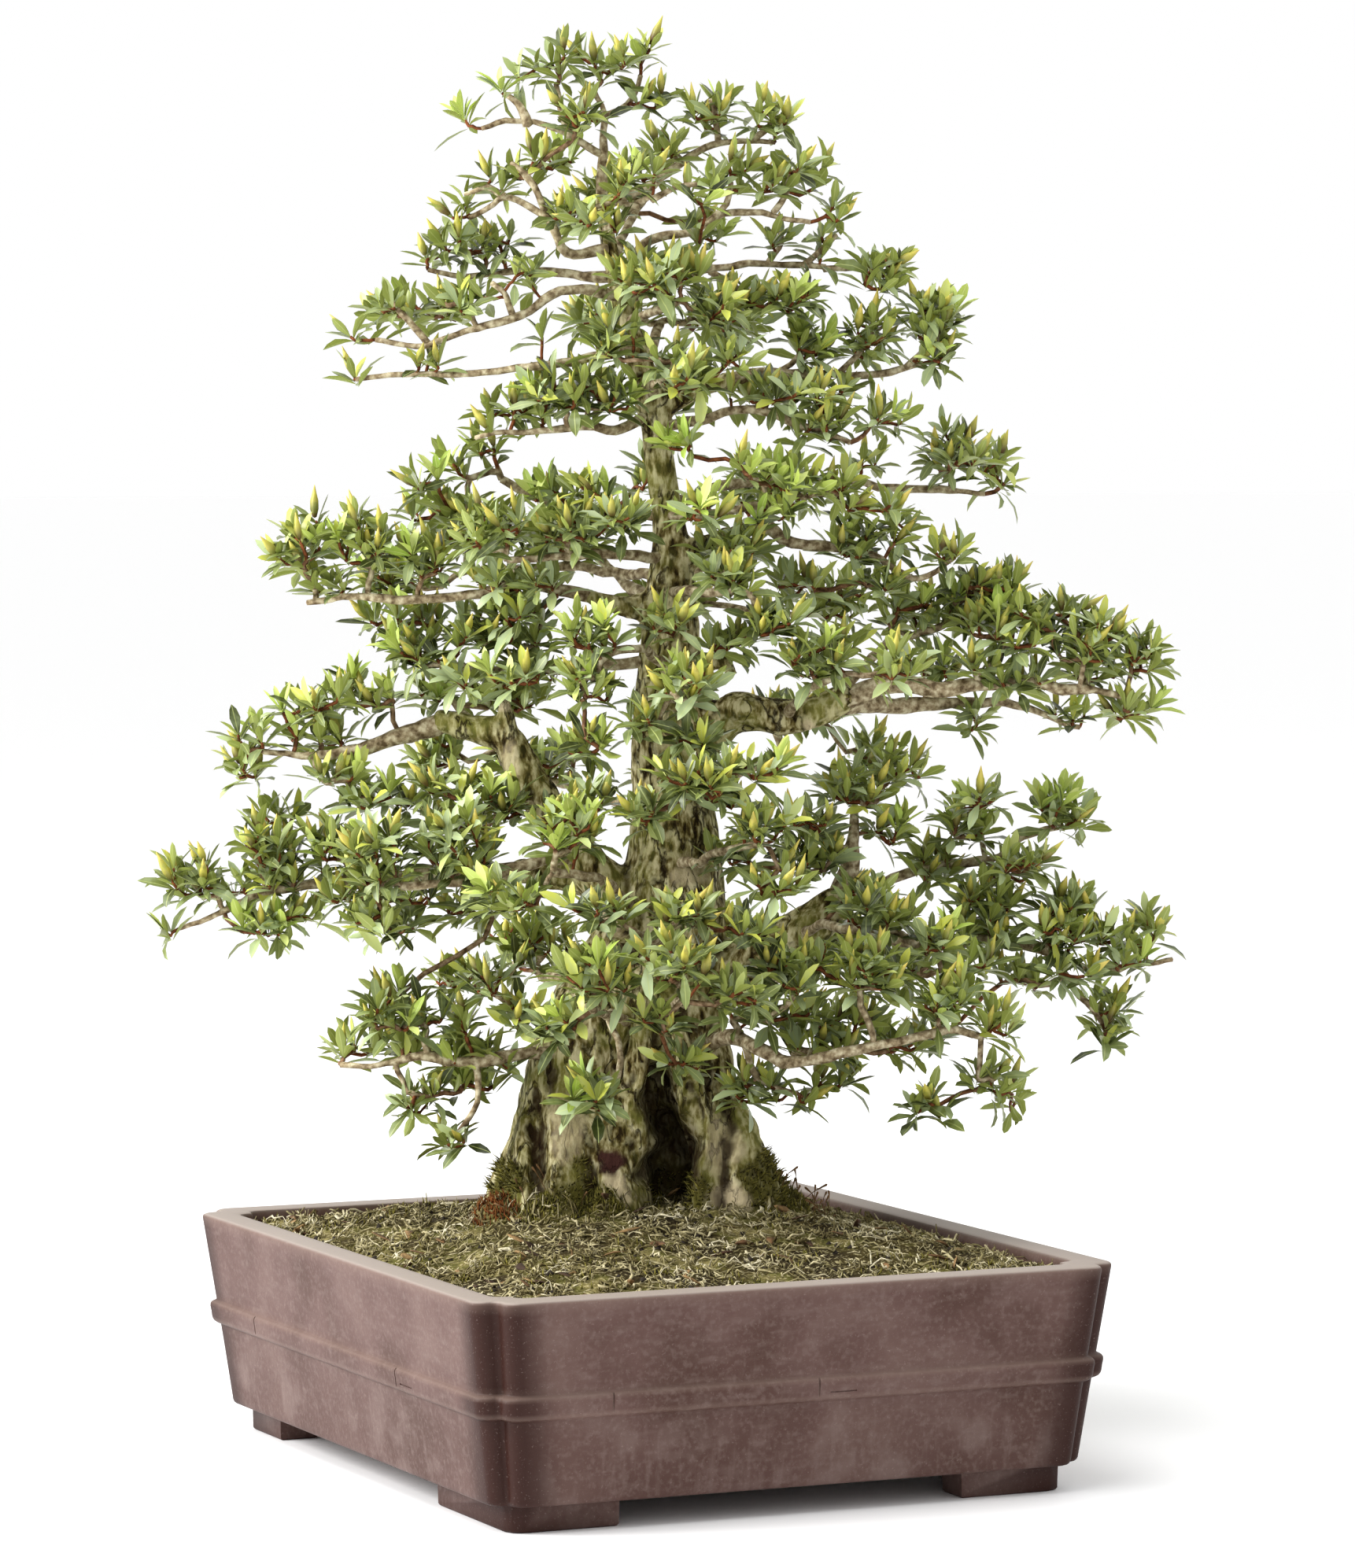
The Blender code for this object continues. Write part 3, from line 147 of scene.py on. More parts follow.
# Trunk and limb tubes: (across, down, depth in mm, radius in steps) from foot to tip
TRUNK_TUBES = (
    ((838, 1700, 42, 84), (834, 1560, 42, 88), (826, 1450, 36, 84), (822, 1350, 24, 80),
     (836, 1250, 8, 78), (852, 1160, 0, 72), (858, 1080, 0, 60), (855, 1000, 0, 53),
     (853, 930, 0, 52), (850, 850, 0, 41), (850, 765, 0, 33), (852, 700, 0, 25), (846, 640, 0, 20),
     (838, 590, 0, 20), (834, 540, 0, 20), (824, 500, 0, 20), (810, 450, 0, 17), (798, 410, 0, 15),
     (788, 370, 0, 14), (778, 330, 0, 12), (769, 285, 0, 10), (764, 245, 0, 9)),
    ((722, 1700, -6, 88), (722, 1545, -6, 90), (722, 1490, -6, 84), (724, 1440, -4, 72),
     (730, 1380, 0, 66), (750, 1310, 2, 64), (800, 1230, 4, 66), (842, 1170, 2, 64)),
    ((778, 1700, -24, 40), (778, 1548, -24, 42), (772, 1470, -18, 38), (764, 1380, -8, 34)),
    ((668, 1700, 22, 50), (668, 1535, 22, 50), (690, 1460, 16, 46), (715, 1380, 10, 40)),
    ((950, 1700, -14, 50), (950, 1550, -14, 50), (930, 1480, -12, 44), (905, 1410, -8, 42),
     (884, 1340, -2, 44), (866, 1250, 2, 48)),
    ((972, 1700, 16, 36), (972, 1545, 16, 34), (948, 1480, 12, 30), (915, 1400, 8, 30)),
    ((742, 1700, 66, 60), (742, 1545, 66, 58), (770, 1450, 58, 52), (806, 1350, 40, 50)),
    ((912, 1700, 64, 58), (912, 1545, 64, 56), (884, 1450, 56, 50), (850, 1350, 40, 50)),
)
LIMB_TUBES = (
    ((860, 935, 0, 40), (905, 925, -4, 30), (940, 905, -6, 25), (1000, 910, -8, 23),
     (1050, 898, -8, 20), (1085, 884, -8, 16)),
    ((1020, 900, -12, 10), (1030, 928, -22, 6)),
    ((840, 1165, -2, 40), (780, 1130, -6, 30), (730, 1080, -8, 25), (690, 1020, -8, 23),
     (658, 965, -6, 22), (640, 935, -4, 20), (600, 926, -2, 18), (552, 914, 0, 15)),
    ((652, 960, -6, 17), (640, 890, -10, 8)),
    ((800, 1150, 4, 32), (745, 1118, 20, 22), (690, 1110, 26, 18), (650, 1108, 26, 15)),
    ((870, 1250, 0, 46), (930, 1228, -6, 34), (990, 1200, -8, 29), (1040, 1170, -8, 26),
     (1072, 1140, -8, 20)),
    ((822, 1186, -10, 28), (772, 1168, -52, 17)),
    ((852, 728, 0, 22), (890, 696, -4, 15), (930, 678, -6, 12)),
    ((833, 520, 0, 18), (880, 498, 2, 13), (930, 482, 4, 11)),
    ((850, 775, 0, 26), (795, 770, -6, 14), (745, 757, -12, 10)),
)

# Leafy sprays: name after spray_, wood paths, pads of leafy tips.
# A wood point is (across, down, depth in mm); a pad is
# (across, down, depth in mm, half width in steps, half height in steps).
SPRAYS = (
    ("apex", (((765, 252, 0), (764, 220, 0), (765, 190, 0), (766, 150, 0), (752, 118, 3)),
     ((764, 198, 0), (720, 176, -5), (655, 156, -9), (615, 163, -11)), ((766, 152, 0),
     (795, 135, 6), (813, 98, 7)), ((728, 180, -5), (716, 150, -4), (708, 112, 0)), ((672, 162, -9),
     (662, 142, -9), (645, 118, -9))), ((592, 148, -11, 26, 20), (635, 112, -9, 26, 24),
     (700, 78, 0, 40, 38), (768, 92, 0, 34, 34), (818, 66, 7, 28, 32), (826, 132, 0, 38, 36))),
    ("crown_right", (((783, 352, 2), (830, 306, 6), (880, 297, 8), (920, 272, 8), (980, 272, 6),
     (1030, 285, 4)), ((900, 286, 8), (924, 258, 5), (930, 234, 2)), ((982, 272, 6), (1000, 250, 7),
     (1008, 224, 8))), ((1010, 226, 8, 62, 44), (1056, 266, 2, 32, 30), (925, 226, 2, 48, 40))),
    ("crown_high", (((770, 262, 4), (825, 235, 20), (868, 205, 26), (915, 184, 24), (985, 182, 16)),
     ((866, 207, 26), (848, 188, 26), (842, 166, 26)), ((913, 185, 24), (910, 155, 22),
     (904, 126, 20)), ((955, 181, 19), (975, 162, 15), (982, 138, 14))), ((905, 140, 20, 56, 42),
     (975, 150, 14, 44, 40), (845, 190, 26, 40, 30))),
    ("crown_left", (((772, 318, -2), (722, 322, -8), (695, 272, -10), (640, 250, -8),
     (596, 276, -6)), ((693, 270, -10), (680, 236, -10), (652, 212, -8)), ((642, 251, -8),
     (615, 238, -7), (588, 246, -6))), ((640, 226, -8, 42, 30), (690, 204, -10, 32, 28),
     (584, 262, -6, 34, 30), (716, 262, -20, 34, 30))),
    ("crown_front", (((771, 296, -2), (802, 270, -28), (828, 256, -44)), ((812, 264, -35),
     (778, 262, -40), (754, 268, -40)), ((828, 256, -44), (856, 244, -42), (882, 240, -40))),
     ((812, 232, -44, 56, 36), (760, 282, -40, 46, 34), (880, 250, -40, 38, 28))),
    ("crown_back", (((782, 330, 8), (800, 285, 40), (820, 255, 58)),), ((800, 235, 56, 70, 44),
     (890, 290, 50, 46, 36), (720, 270, 48, 46, 36))),
    ("left_upper_bar", (((781, 352, 2), (700, 347, 12), (620, 346, 14), (548, 346, 14)),),
     ((556, 316, 14, 38, 30), (625, 318, 12, 40, 30))),
    ("left_upper", (((788, 378, -2), (740, 364, -12), (700, 373, -16), (650, 402, -18),
     (600, 416, -18), (540, 440, -18), (480, 432, -16)), ((652, 401, -18), (642, 375, -22),
     (620, 358, -22)), ((545, 438, -18), (522, 406, -17), (500, 380, -16))),
     ((500, 388, -16, 36, 34), (452, 420, -14, 24, 20), (590, 382, -20, 50, 30),
     (668, 350, -24, 40, 28))),
    ("left_upper_low", (((806, 442, -4), (752, 452, -18), (690, 468, -22), (600, 478, -22),
     (520, 476, -20), (452, 484, -18)),), ((450, 470, -18, 28, 20), (545, 456, -20, 36, 26),
     (640, 452, -24, 56, 36))),
    ("left_mid", (((830, 524, 0), (784, 545, -16), (742, 543, -22), (690, 548, -24),
     (640, 551, -22), (606, 556, -20)),), ((716, 494, -26, 64, 44), (622, 542, -20, 30, 22),
     (780, 500, -30, 40, 34))),
    ("left_shelf", (((845, 655, 4), (786, 656, 10), (722, 646, 16), (672, 628, 18),
     (640, 606, 18)),), ((588, 590, 18, 36, 26), (642, 588, 16, 28, 30), (590, 650, 10, 46, 30),
     (700, 625, 10, 40, 28))),
    ("left_tier_outer", (((757, 760, -8), (722, 750, -16), (650, 746, -22), (560, 760, -24),
     (480, 763, -22), (384, 766, -18)),), ((380, 700, -18, 48, 44), (460, 690, -24, 52, 56),
     (540, 712, -26, 46, 46))),
    ("left_tier_inner", (((850, 706, -2), (792, 706, -22), (740, 706, -38), (650, 708, -48)),),
     ((628, 672, -50, 60, 46), (725, 668, -44, 56, 42), (755, 622, -30, 50, 30))),
    ("left_tier_back", (((846, 735, 8), (770, 724, 46), (690, 716, 66), (600, 722, 74)),),
     ((600, 676, 74, 76, 44), (700, 690, 66, 60, 40), (500, 730, 66, 56, 36))),
    ("left_fifth", (((848, 840, 0), (775, 843, -12), (700, 850, -16), (640, 856, -18),
     (580, 846, -18)),), ((525, 824, -18, 56, 36), (600, 806, -20, 46, 32), (655, 810, -22, 50, 34),
     (600, 872, -20, 36, 24))),
    ("centre_left", (((846, 845, -10), (806, 826, -52), (768, 836, -70)),),
     ((752, 802, -66, 54, 36), (752, 872, -68, 42, 34))),
    ("left_sixth_outer", (((566, 918, 0), (500, 936, -2), (440, 954, -5), (392, 960, -8),
     (330, 952, -10)),), ((400, 880, -6, 76, 48), (316, 936, -10, 42, 28), (424, 985, -10, 46, 24),
     (480, 880, -4, 44, 34))),
    ("left_sixth_inner", (((606, 926, -2), (580, 896, 16), (556, 880, 26)),),
     ((548, 876, 28, 48, 32), (640, 880, 30, 40, 30))),
    ("left_seventh_outer", (((660, 1108, 26), (560, 1112, 14), (450, 1122, 0), (350, 1134, -8),
     (300, 1152, -10), (232, 1182, -10)),), ((240, 1116, -10, 54, 42), (340, 1082, -10, 52, 46),
     (330, 1182, -12, 46, 24), (212, 1180, -10, 22, 18), (420, 1080, -6, 46, 50))),
    ("left_seventh_inner", (((738, 1092, -10), (680, 1102, -46), (600, 1118, -62),
     (510, 1128, -66)),), ((480, 1090, -66, 58, 64), (580, 1080, -66, 60, 60),
     (470, 1172, -66, 46, 28))),
    ("left_eighth_high", (((690, 1022, -10), (640, 1026, -34), (586, 1028, -38)),),
     ((570, 1000, -38, 54, 34), (640, 1016, -40, 44, 40))),
    ("left_front", (((800, 1150, -24), (764, 1120, -84), (700, 1108, -108)),),
     ((716, 1056, -106, 60, 50), (650, 1140, -108, 60, 38))),
    ("low_left", (((728, 1345, -6), (675, 1340, -40), (600, 1348, -42), (500, 1348, -38),
     (432, 1357, -34)), ((604, 1348, -42), (604, 1404, -52), (584, 1440, -52))),
     ((505, 1288, -38, 62, 38), (432, 1342, -34, 28, 24), (580, 1300, -44, 40, 40),
     (530, 1398, -38, 46, 34), (576, 1450, -52, 34, 20))),
    ("low_left_high", (((742, 1310, -12), (690, 1290, -58), (630, 1268, -74)),),
     ((618, 1236, -74, 40, 44), (662, 1290, -76, 40, 32))),
    ("front_low_left", (((796, 1300, -16), (770, 1290, -92), (752, 1282, -140)), ((772, 1291, -86),
     (786, 1340, -104), (778, 1380, -112))), ((752, 1240, -138, 70, 44), (716, 1300, -134, 44, 34),
     (750, 1392, -110, 50, 36))),
    ("front_low_middle", (((842, 1280, -16), (868, 1276, -100), (876, 1270, -158)),),
     ((860, 1226, -154, 66, 42), (834, 1296, -140, 40, 30), (940, 1262, -150, 48, 36),
     (866, 1352, -110, 42, 28))),
    ("right_low", (((884, 1330, -6), (948, 1326, -58), (1000, 1352, -88), (1090, 1340, -98),
     (1180, 1316, -92), (1240, 1316, -80)), ((946, 1327, -56), (966, 1374, -50),
     (1020, 1388, -46))), ((1000, 1236, -98, 64, 46), (1104, 1236, -100, 60, 48),
     (1196, 1270, -90, 56, 44), (1268, 1300, -78, 38, 36), (1262, 1372, -76, 46, 36),
     (1182, 1402, -80, 40, 32), (962, 1384, -44, 50, 34), (1020, 1392, -46, 26, 18))),
    ("right_ninth", (((1050, 1166, -6), (1120, 1190, 14), (1220, 1197, 18), (1320, 1206, 16),
     (1400, 1230, 12), (1450, 1226, 10), (1492, 1222, 8)), ((1334, 1208, 16), (1376, 1270, 10),
     (1400, 1306, 8))), ((1250, 1156, 18, 58, 46), (1360, 1160, 14, 48, 44),
     (1466, 1176, 8, 32, 42), (1408, 1290, 8, 40, 44), (1300, 1248, 14, 50, 34))),
    ("right_eighth_top", (((1070, 1146, -8), (1084, 1080, -4), (1086, 1010, 0)),),
     ((1086, 1000, 0, 56, 40), (1030, 1066, -12, 40, 40), (1140, 976, 6, 50, 28),
     (1132, 1052, -10, 42, 36))),
    ("right_eighth_outer", (((1060, 1150, 4), (1150, 1108, 34), (1260, 1092, 38), (1300, 1062, 36),
     (1352, 1050, 34)),), ((1352, 1030, 34, 50, 42), (1232, 1046, 34, 50, 44),
     (1190, 1100, 40, 44, 40), (1280, 1108, 40, 44, 34))),
    ("right_eighth_front", (((1020, 1184, -16), (1060, 1178, -56), (1120, 1186, -74)),),
     ((1104, 1160, -74, 54, 36), (1186, 1196, -70, 46, 36))),
    ("right_big_outer", (((1074, 888, -8), (1150, 870, -8), (1205, 876, -10), (1262, 874, -12),
     (1340, 872, -12), (1430, 886, -8)),), ((1384, 812, -10, 70, 48), (1300, 800, -14, 56, 52),
     (1450, 836, -8, 44, 40), (1444, 896, -8, 42, 22))),
    ("right_big_under", (((1066, 894, -4), (1130, 896, 20), (1200, 893, 30), (1290, 894, 34),
     (1372, 920, 34)),), ((1360, 906, 34, 44, 24), (1240, 912, 30, 36, 32),
     (1190, 850, 30, 50, 30))),
    ("right_big_top", (((1056, 896, -2), (1094, 850, 18), (1140, 806, 26)),),
     ((1160, 776, 26, 64, 46), (1236, 770, 24, 52, 44))),
    ("right_big_front", (((1000, 908, -12), (1030, 880, -52), (1070, 862, -66)),),
     ((1030, 836, -64, 54, 38), (1130, 846, -66, 56, 36))),
    ("right_third", (((920, 684, -6), (966, 672, -12), (1010, 690, -14), (1100, 706, -12),
     (1160, 736, -10), (1212, 710, -10)),), ((1014, 740, -16, 48, 34), (1084, 690, -14, 48, 40),
     (1140, 672, -10, 34, 36), (1204, 700, -10, 40, 30))),
    ("right_fourth", (((850, 640, 4), (910, 622, 34), (980, 612, 48), (1060, 610, 54),
     (1130, 616, 54), (1190, 620, 52), (1244, 626, 50)),), ((1206, 572, 52, 44, 48),
     (1266, 596, 50, 38, 36), (1100, 580, 52, 40, 32))),
    ("right_fourth_front", (((850, 656, -6), (920, 646, -28), (990, 636, -38)), ((900, 649, -22),
     (886, 650, -58))), ((1000, 612, -40, 50, 40), (1070, 626, -36, 44, 38),
     (1130, 640, -30, 34, 28), (892, 646, -60, 50, 28), (868, 588, -54, 36, 28),
     (950, 590, -56, 34, 28))),
    ("right_fifth", (((920, 486, 4), (966, 474, 12), (1060, 478, 14), (1120, 474, 14),
     (1172, 464, 14)), ((985, 475, 12), (1012, 456, 14), (1030, 430, 14)), ((1062, 478, 14),
     (1090, 452, 14), (1106, 420, 14)), ((1150, 468, 14), (1182, 438, 14), (1194, 402, 14))),
     ((1110, 428, 14, 50, 46), (1190, 404, 14, 46, 46), (1030, 440, 14, 46, 42))),
    ("right_fifth_low", (((834, 545, 0), (900, 532, -16), (960, 522, -24), (1020, 540, -26),
     (1076, 560, -24)),), ((1040, 538, -26, 52, 40), (960, 560, -28, 44, 34),
     (1120, 544, -20, 48, 38))),
    ("right_sixth", (((791, 380, 2), (850, 362, 12), (900, 346, 16), (980, 336, 18),
     (1048, 343, 18)), ((902, 346, 16), (926, 362, 12), (942, 376, 10)), ((975, 337, 18),
     (986, 312, 18), (990, 292, 18)), ((1020, 339, 18), (1042, 320, 18), (1062, 300, 18)),
     ((1046, 343, 18), (1085, 342, 16), (1122, 332, 14))), ((1060, 316, 18, 44, 42),
     (1122, 346, 14, 46, 40), (988, 300, 18, 34, 28), (940, 380, 10, 44, 34))),
    ("centre_upper", (((800, 410, -2), (828, 396, -32), (862, 386, -48)),),
     ((832, 356, -48, 54, 40), (908, 390, -46, 46, 38))),
    ("centre_mid", (((826, 506, -4), (836, 484, -40), (850, 474, -58)),), ((860, 470, -58, 56, 40),
     (780, 430, -48, 50, 36), (936, 452, -52, 40, 32))),
    ("centre_waist", (((852, 752, -8), (884, 752, -46), (926, 754, -64)),),
     ((930, 736, -62, 48, 40), (850, 782, -60, 40, 36), (990, 790, -60, 50, 36))),
    ("centre_chest", (((850, 885, -12), (866, 884, -62), (876, 880, -84)),),
     ((874, 862, -82, 50, 42), (820, 914, -78, 40, 28), (880, 936, -80, 46, 28))),
    ("front_middle", (((856, 1020, -16), (880, 1012, -74), (892, 1004, -104)),),
     ((890, 990, -102, 64, 42), (968, 972, -98, 46, 32), (820, 1030, -100, 40, 30))),
    ("front_right", (((860, 1100, -18), (912, 1084, -84), (964, 1074, -108)),),
     ((972, 1048, -106, 50, 36), (986, 1120, -108, 50, 38))),
    ("front_waist", (((846, 1200, -22), (826, 1192, -98), (808, 1184, -128)),),
     ((760, 1156, -126, 54, 30), (866, 1160, -126, 56, 34), (946, 1180, -122, 44, 30))),
    ("back_low_left", (((800, 1290, 40), (730, 1256, 120), (680, 1236, 178)),),
     ((668, 1206, 176, 80, 52), (590, 1240, 130, 56, 42), (800, 1250, 170, 60, 44))),
    ("back_low_right", (((866, 1290, 34), (960, 1256, 118), (1020, 1240, 170)),),
     ((1030, 1206, 170, 80, 52), (1130, 1230, 116, 56, 44), (920, 1190, 176, 60, 44))),
    ("back_middle", (((856, 1060, 16), (770, 1010, 96), (700, 990, 138)), ((842, 1050, 28),
     (930, 990, 108), (1000, 960, 138))), ((680, 960, 138, 76, 50), (1010, 920, 138, 76, 50),
     (850, 990, 150, 60, 44), (1110, 960, 100, 54, 40), (560, 960, 100, 50, 40))),
    ("back_upper", (((852, 800, 14), (800, 740, 82), (740, 700, 108)), ((842, 786, 30),
     (910, 700, 84), (980, 650, 104))), ((730, 670, 108, 70, 46), (980, 620, 104, 70, 46),
     (850, 760, 112, 60, 44), (840, 600, 92, 60, 40), (1060, 760, 90, 60, 40))),
    ("back_top", (((812, 468, 8), (830, 440, 56), (840, 410, 80)),), ((770, 400, 78, 70, 42),
     (920, 400, 78, 66, 42), (850, 500, 72, 56, 36))),
)

# Thin ridges and old scars on the trunk, as the tubes above
RIDGES = (
    ((690, 1600, -30, 22), (694, 1520, -34, 20), (706, 1440, -32, 16), (730, 1350, -24, 12)),
    ((812, 1600, -14, 20), (808, 1500, -20, 18), (806, 1400, -24, 16), (820, 1290, -26, 12)),
    ((900, 1600, -30, 20), (896, 1500, -30, 18), (880, 1400, -32, 16), (862, 1300, -32, 12)),
    ((836, 1240, -30, 14), (834, 1140, -27, 14), (842, 1040, -20, 12), (846, 940, -18, 10)),
    ((880, 1200, -24, 14), (884, 1100, -20, 12), (880, 1010, -18, 10)),
    ((862, 900, -6, 22), (878, 856, -14, 16), (916, 838, -22, 11), (932, 858, -26, 9)),
    ((940, 905, -14, 16), (952, 892, -20, 13)),
)

# Hollows and clefts at the base: across, down, half width, half height, depth in mm
CREVICES = (
    (852, 1500, 36, 92, 26), (838, 1400, 22, 50, 15), (880, 1430, 16, 60, 9),
    (684, 1470, 12, 92, 10), (748, 1520, 9, 52, 5), (922, 1450, 9, 70, 5), (648, 1440, 8, 60, 4),
    (800, 1350, 12, 50, 5), (700, 1380, 8, 44, 5), (900, 1340, 9, 50, 5),
)

# Spots on the bark: across, down, half width, half height, deepest in mm, strength
# The hollow's spots are painted shade, darkening the hollow between the roots
HOLLOW_SHADE_SPOTS = ((853, 1500, 44, 104, 60, 1.0), (836, 1400, 26, 60, 60, 0.9))
MOSS_SPOTS = (
    (727, 1512, 32, 60, 20, 1.0), (976, 1508, 36, 54, 40, 1.0), (646, 1505, 36, 26, 60, 1.0),
    (862, 1530, 52, 46, 70, 1.0), (1000, 1530, 40, 30, 80, 1.0),
)
PALE_SPOTS = (
    (772, 1168, 20, 20, -38, 1.0), (640, 895, 10, 12, 1000, 1.0), (1030, 926, 8, 9, 1000, 1.0),
    (780, 1525, 26, 34, 0, 0.95), (925, 1528, 30, 22, 20, 0.95), (690, 1530, 14, 18, 20, 0.7),
    (915, 1460, 24, 44, 20, 0.6), (720, 1440, 26, 50, 20, 0.5), (650, 970, 12, 34, 1000, 0.5),
    (874, 1110, 26, 24, 0, 0.8),
)

# Tips closer than the reach, in steps, to these places carry new leaves: across, down, reach
FRESH_PLACES = (
    (868, 590, 30), (880, 640, 34), (950, 590, 34), (1050, 430, 34), (600, 590, 52), (340, 740, 30),
    (485, 740, 40), (510, 800, 36), (820, 1240, 34), (1340, 1010, 34), (1000, 640, 30),
)

# Tips closer than the reach to these places carry dry seed capsules
DRY_PLACES = (
    (597, 360, 16), (705, 240, 18), (805, 250, 18), (1080, 352, 16), (1140, 445, 18),
    (325, 1105, 18),
)

# Further pads that fill the tiers: each joins the spray whose pad lies nearest
FILL_PADS = (
    (655, 92, 0, 30, 20), (742, 72, 8, 36, 26), (800, 74, -14, 30, 24), (730, 150, -14, 56, 34),
    (700, 205, 24, 50, 26), (590, 308, 0, 50, 26), (836, 345, -30, 80, 26), (530, 392, 8, 76, 30),
    (1008, 378, 0, 52, 30), (930, 410, 30, 36, 24), (1180, 452, 10, 44, 22),
    (985, 496, -14, 104, 26), (655, 522, -16, 60, 20), (1130, 532, 0, 40, 20),
    (612, 568, 10, 40, 20), (1225, 582, 0, 42, 22), (545, 612, -16, 38, 20), (398, 655, 8, 34, 18),
    (524, 650, 26, 36, 20), (780, 658, -36, 46, 24), (980, 652, -40, 46, 22),
    (925, 694, -24, 58, 24), (420, 738, -10, 44, 20), (668, 738, -30, 80, 26),
    (1120, 738, -24, 42, 24), (1262, 738, 10, 56, 24), (520, 780, 14, 70, 24),
    (640, 776, -18, 80, 28), (925, 812, -44, 50, 24), (1068, 812, -30, 44, 24),
    (640, 858, -30, 96, 26), (1245, 845, -20, 36, 20), (660, 890, 34, 50, 20),
    (400, 935, 6, 56, 22), (730, 945, -44, 36, 22), (752, 990, -40, 38, 26),
    (480, 1012, -10, 66, 24), (350, 1030, 8, 40, 20), (738, 1030, -50, 34, 22),
    (922, 1012, -44, 44, 24), (1250, 1012, 0, 42, 22), (580, 1045, 10, 70, 22),
    (1030, 1045, -40, 46, 22), (930, 1085, -46, 44, 26), (1300, 1092, 0, 50, 22),
    (340, 1122, -6, 60, 20), (480, 1135, -16, 90, 24), (600, 1150, 20, 60, 24),
    (1095, 1130, -40, 46, 26), (520, 1172, 16, 84, 20), (1130, 1170, -46, 50, 22),
    (1240, 1190, 10, 70, 24), (1200, 1222, -30, 76, 22), (1330, 1180, -6, 40, 20),
    (500, 1262, 0, 40, 20), (985, 1288, -56, 80, 24), (1075, 1292, -40, 60, 26),
    (480, 1328, 0, 70, 22), (590, 1340, -30, 60, 28), (1040, 1330, -54, 70, 24),
    (1140, 1328, -30, 56, 26), (600, 1376, -14, 48, 22), (1290, 860, -10, 60, 20),
    (1390, 850, 8, 50, 20), (1350, 1190, 0, 50, 26), (1400, 1188, 6, 56, 24),
    (1440, 1216, 0, 44, 22), (1370, 1232, -8, 50, 20), (1186, 1318, 0, 44, 28),
    (1062, 1372, -20, 50, 20), (650, 1352, -44, 36, 26), (560, 1440, -20, 26, 26),
    (312, 975, 0, 40, 20), (300, 1128, 6, 40, 20), (372, 1158, -4, 50, 20), (645, 300, 0, 30, 24),
    (890, 300, -10, 32, 24), (690, 420, -20, 32, 24), (870, 570, -44, 40, 28),
    (1062, 492, 0, 40, 24), (738, 860, -70, 40, 30), (745, 940, -72, 40, 30),
    (748, 1010, -76, 40, 30), (1270, 785, 0, 60, 24), (1350, 775, 8, 40, 20),
    (945, 690, -50, 44, 28), (785, 655, -60, 40, 26), (1040, 1090, -30, 50, 30),
    (1400, 1330, 0, 26, 22), (1290, 1395, -10, 24, 20), (1430, 900, 0, 40, 18),
)

# Gaps between the tiers, where no twig ends: across, down, half width, half height
OPEN_RIM = 16
OPENINGS = (
    (1012, 944, 52, 18), (690, 928, 34, 20), (548, 1208, 44, 10), (772, 592, 22, 22),
    (1400, 960, 80, 20), (836, 262, 26, 22), (690, 252, 16, 16), (1080, 322, 20, 16),
    (560, 560, 24, 14), (500, 545, 50, 18), (1180, 1030, 20, 14), (860, 606, 20, 14),
    (480, 865, 14, 10), (960, 566, 10, 10), (370, 870, 60, 8), (1120, 560, 26, 8),
    (1200, 670, 30, 14), (1300, 930, 40, 10), (640, 600, 14, 12), (640, 455, 24, 10),
    (480, 960, 30, 8), (330, 1010, 30, 6), (1280, 1275, 40, 8), (1230, 1335, 10, 24),
    (600, 1215, 40, 6),
)

# Growth
TIP_AREA = 640
CROWN_DOWN = 330
CROWN_SHARE = 0.62
TIP_MARGIN = 20
DEPTH_SHARE = 0.95
TWIG_STATIONS = 5
TIP_TRIES = 14
TRUNK_MIDDLE = (0.017, 0.037)
# Spacing of the points along a smooth path
PATH_SPACING = 5 * MM
# A spray's first joints carry no twigs, because they count as this much further away
BARE_JOINTS = 3
OUT_OF_REACH = 1.0
# Share of a twig's length over which it leaves its joint and comes to its tip
TWIG_LEAD = 0.35
# Twig ends lie this many steps below the middle of their pad, as their leaves rise
PAD_DROP = 7
# The bare scar and the band of moss: steps across and down, half width, half height, depth
BARE_SCAR = (777, 1481, 21, 20, 10)
MOSS_BAND = (690, 1440, 90, 70)
# Heights between which the moss on the roots thins out
MOSS_FULL = 0.140
MOSS_NONE = 0.152
LEAF_MM = 23.5
CAPSULE_SPLITS = 5
LEFT_SIDE = 800
LEFT_FRESH = 0.13
RIGHT_FRESH = 0.07
BRIGHT_FRESH = 0.7
BUD_SHARE = 0.52
LIMB_RADIUS = 3.6 * MM
FORK_RADIUS = 2.2 * MM
WOOD_TIP = 1.5 * MM
GOLDEN = math.radians(137.5)
BLADE_POINTS = 14


def linear(hex_colour: str) -> tuple[float, float, float, float]:
    """Turns an sRGB hex colour into linear light.

    Args:
        hex_colour: six hex digits after a hash.

    Returns:
        Red, green, blue and an alpha of one.
    """
    shares = [int(hex_colour[start:start + 2], 16) / 255 for start in (1, 3, 5)]
    light = [s / 12.92 if s <= 0.04045 else ((s + 0.055) / 1.055) ** 2.4 for s in shares]
    return (light[0], light[1], light[2], 1.0)


def sight_axes() -> tuple[Array, Array]:
    """Returns the unit vectors to the right of and along the line of sight."""
    right = np.array((math.cos(SIGHT_TURN), -math.sin(SIGHT_TURN), 0.0))
    along = np.array((math.sin(SIGHT_TURN), math.cos(SIGHT_TURN), 0.0))
    return right, along


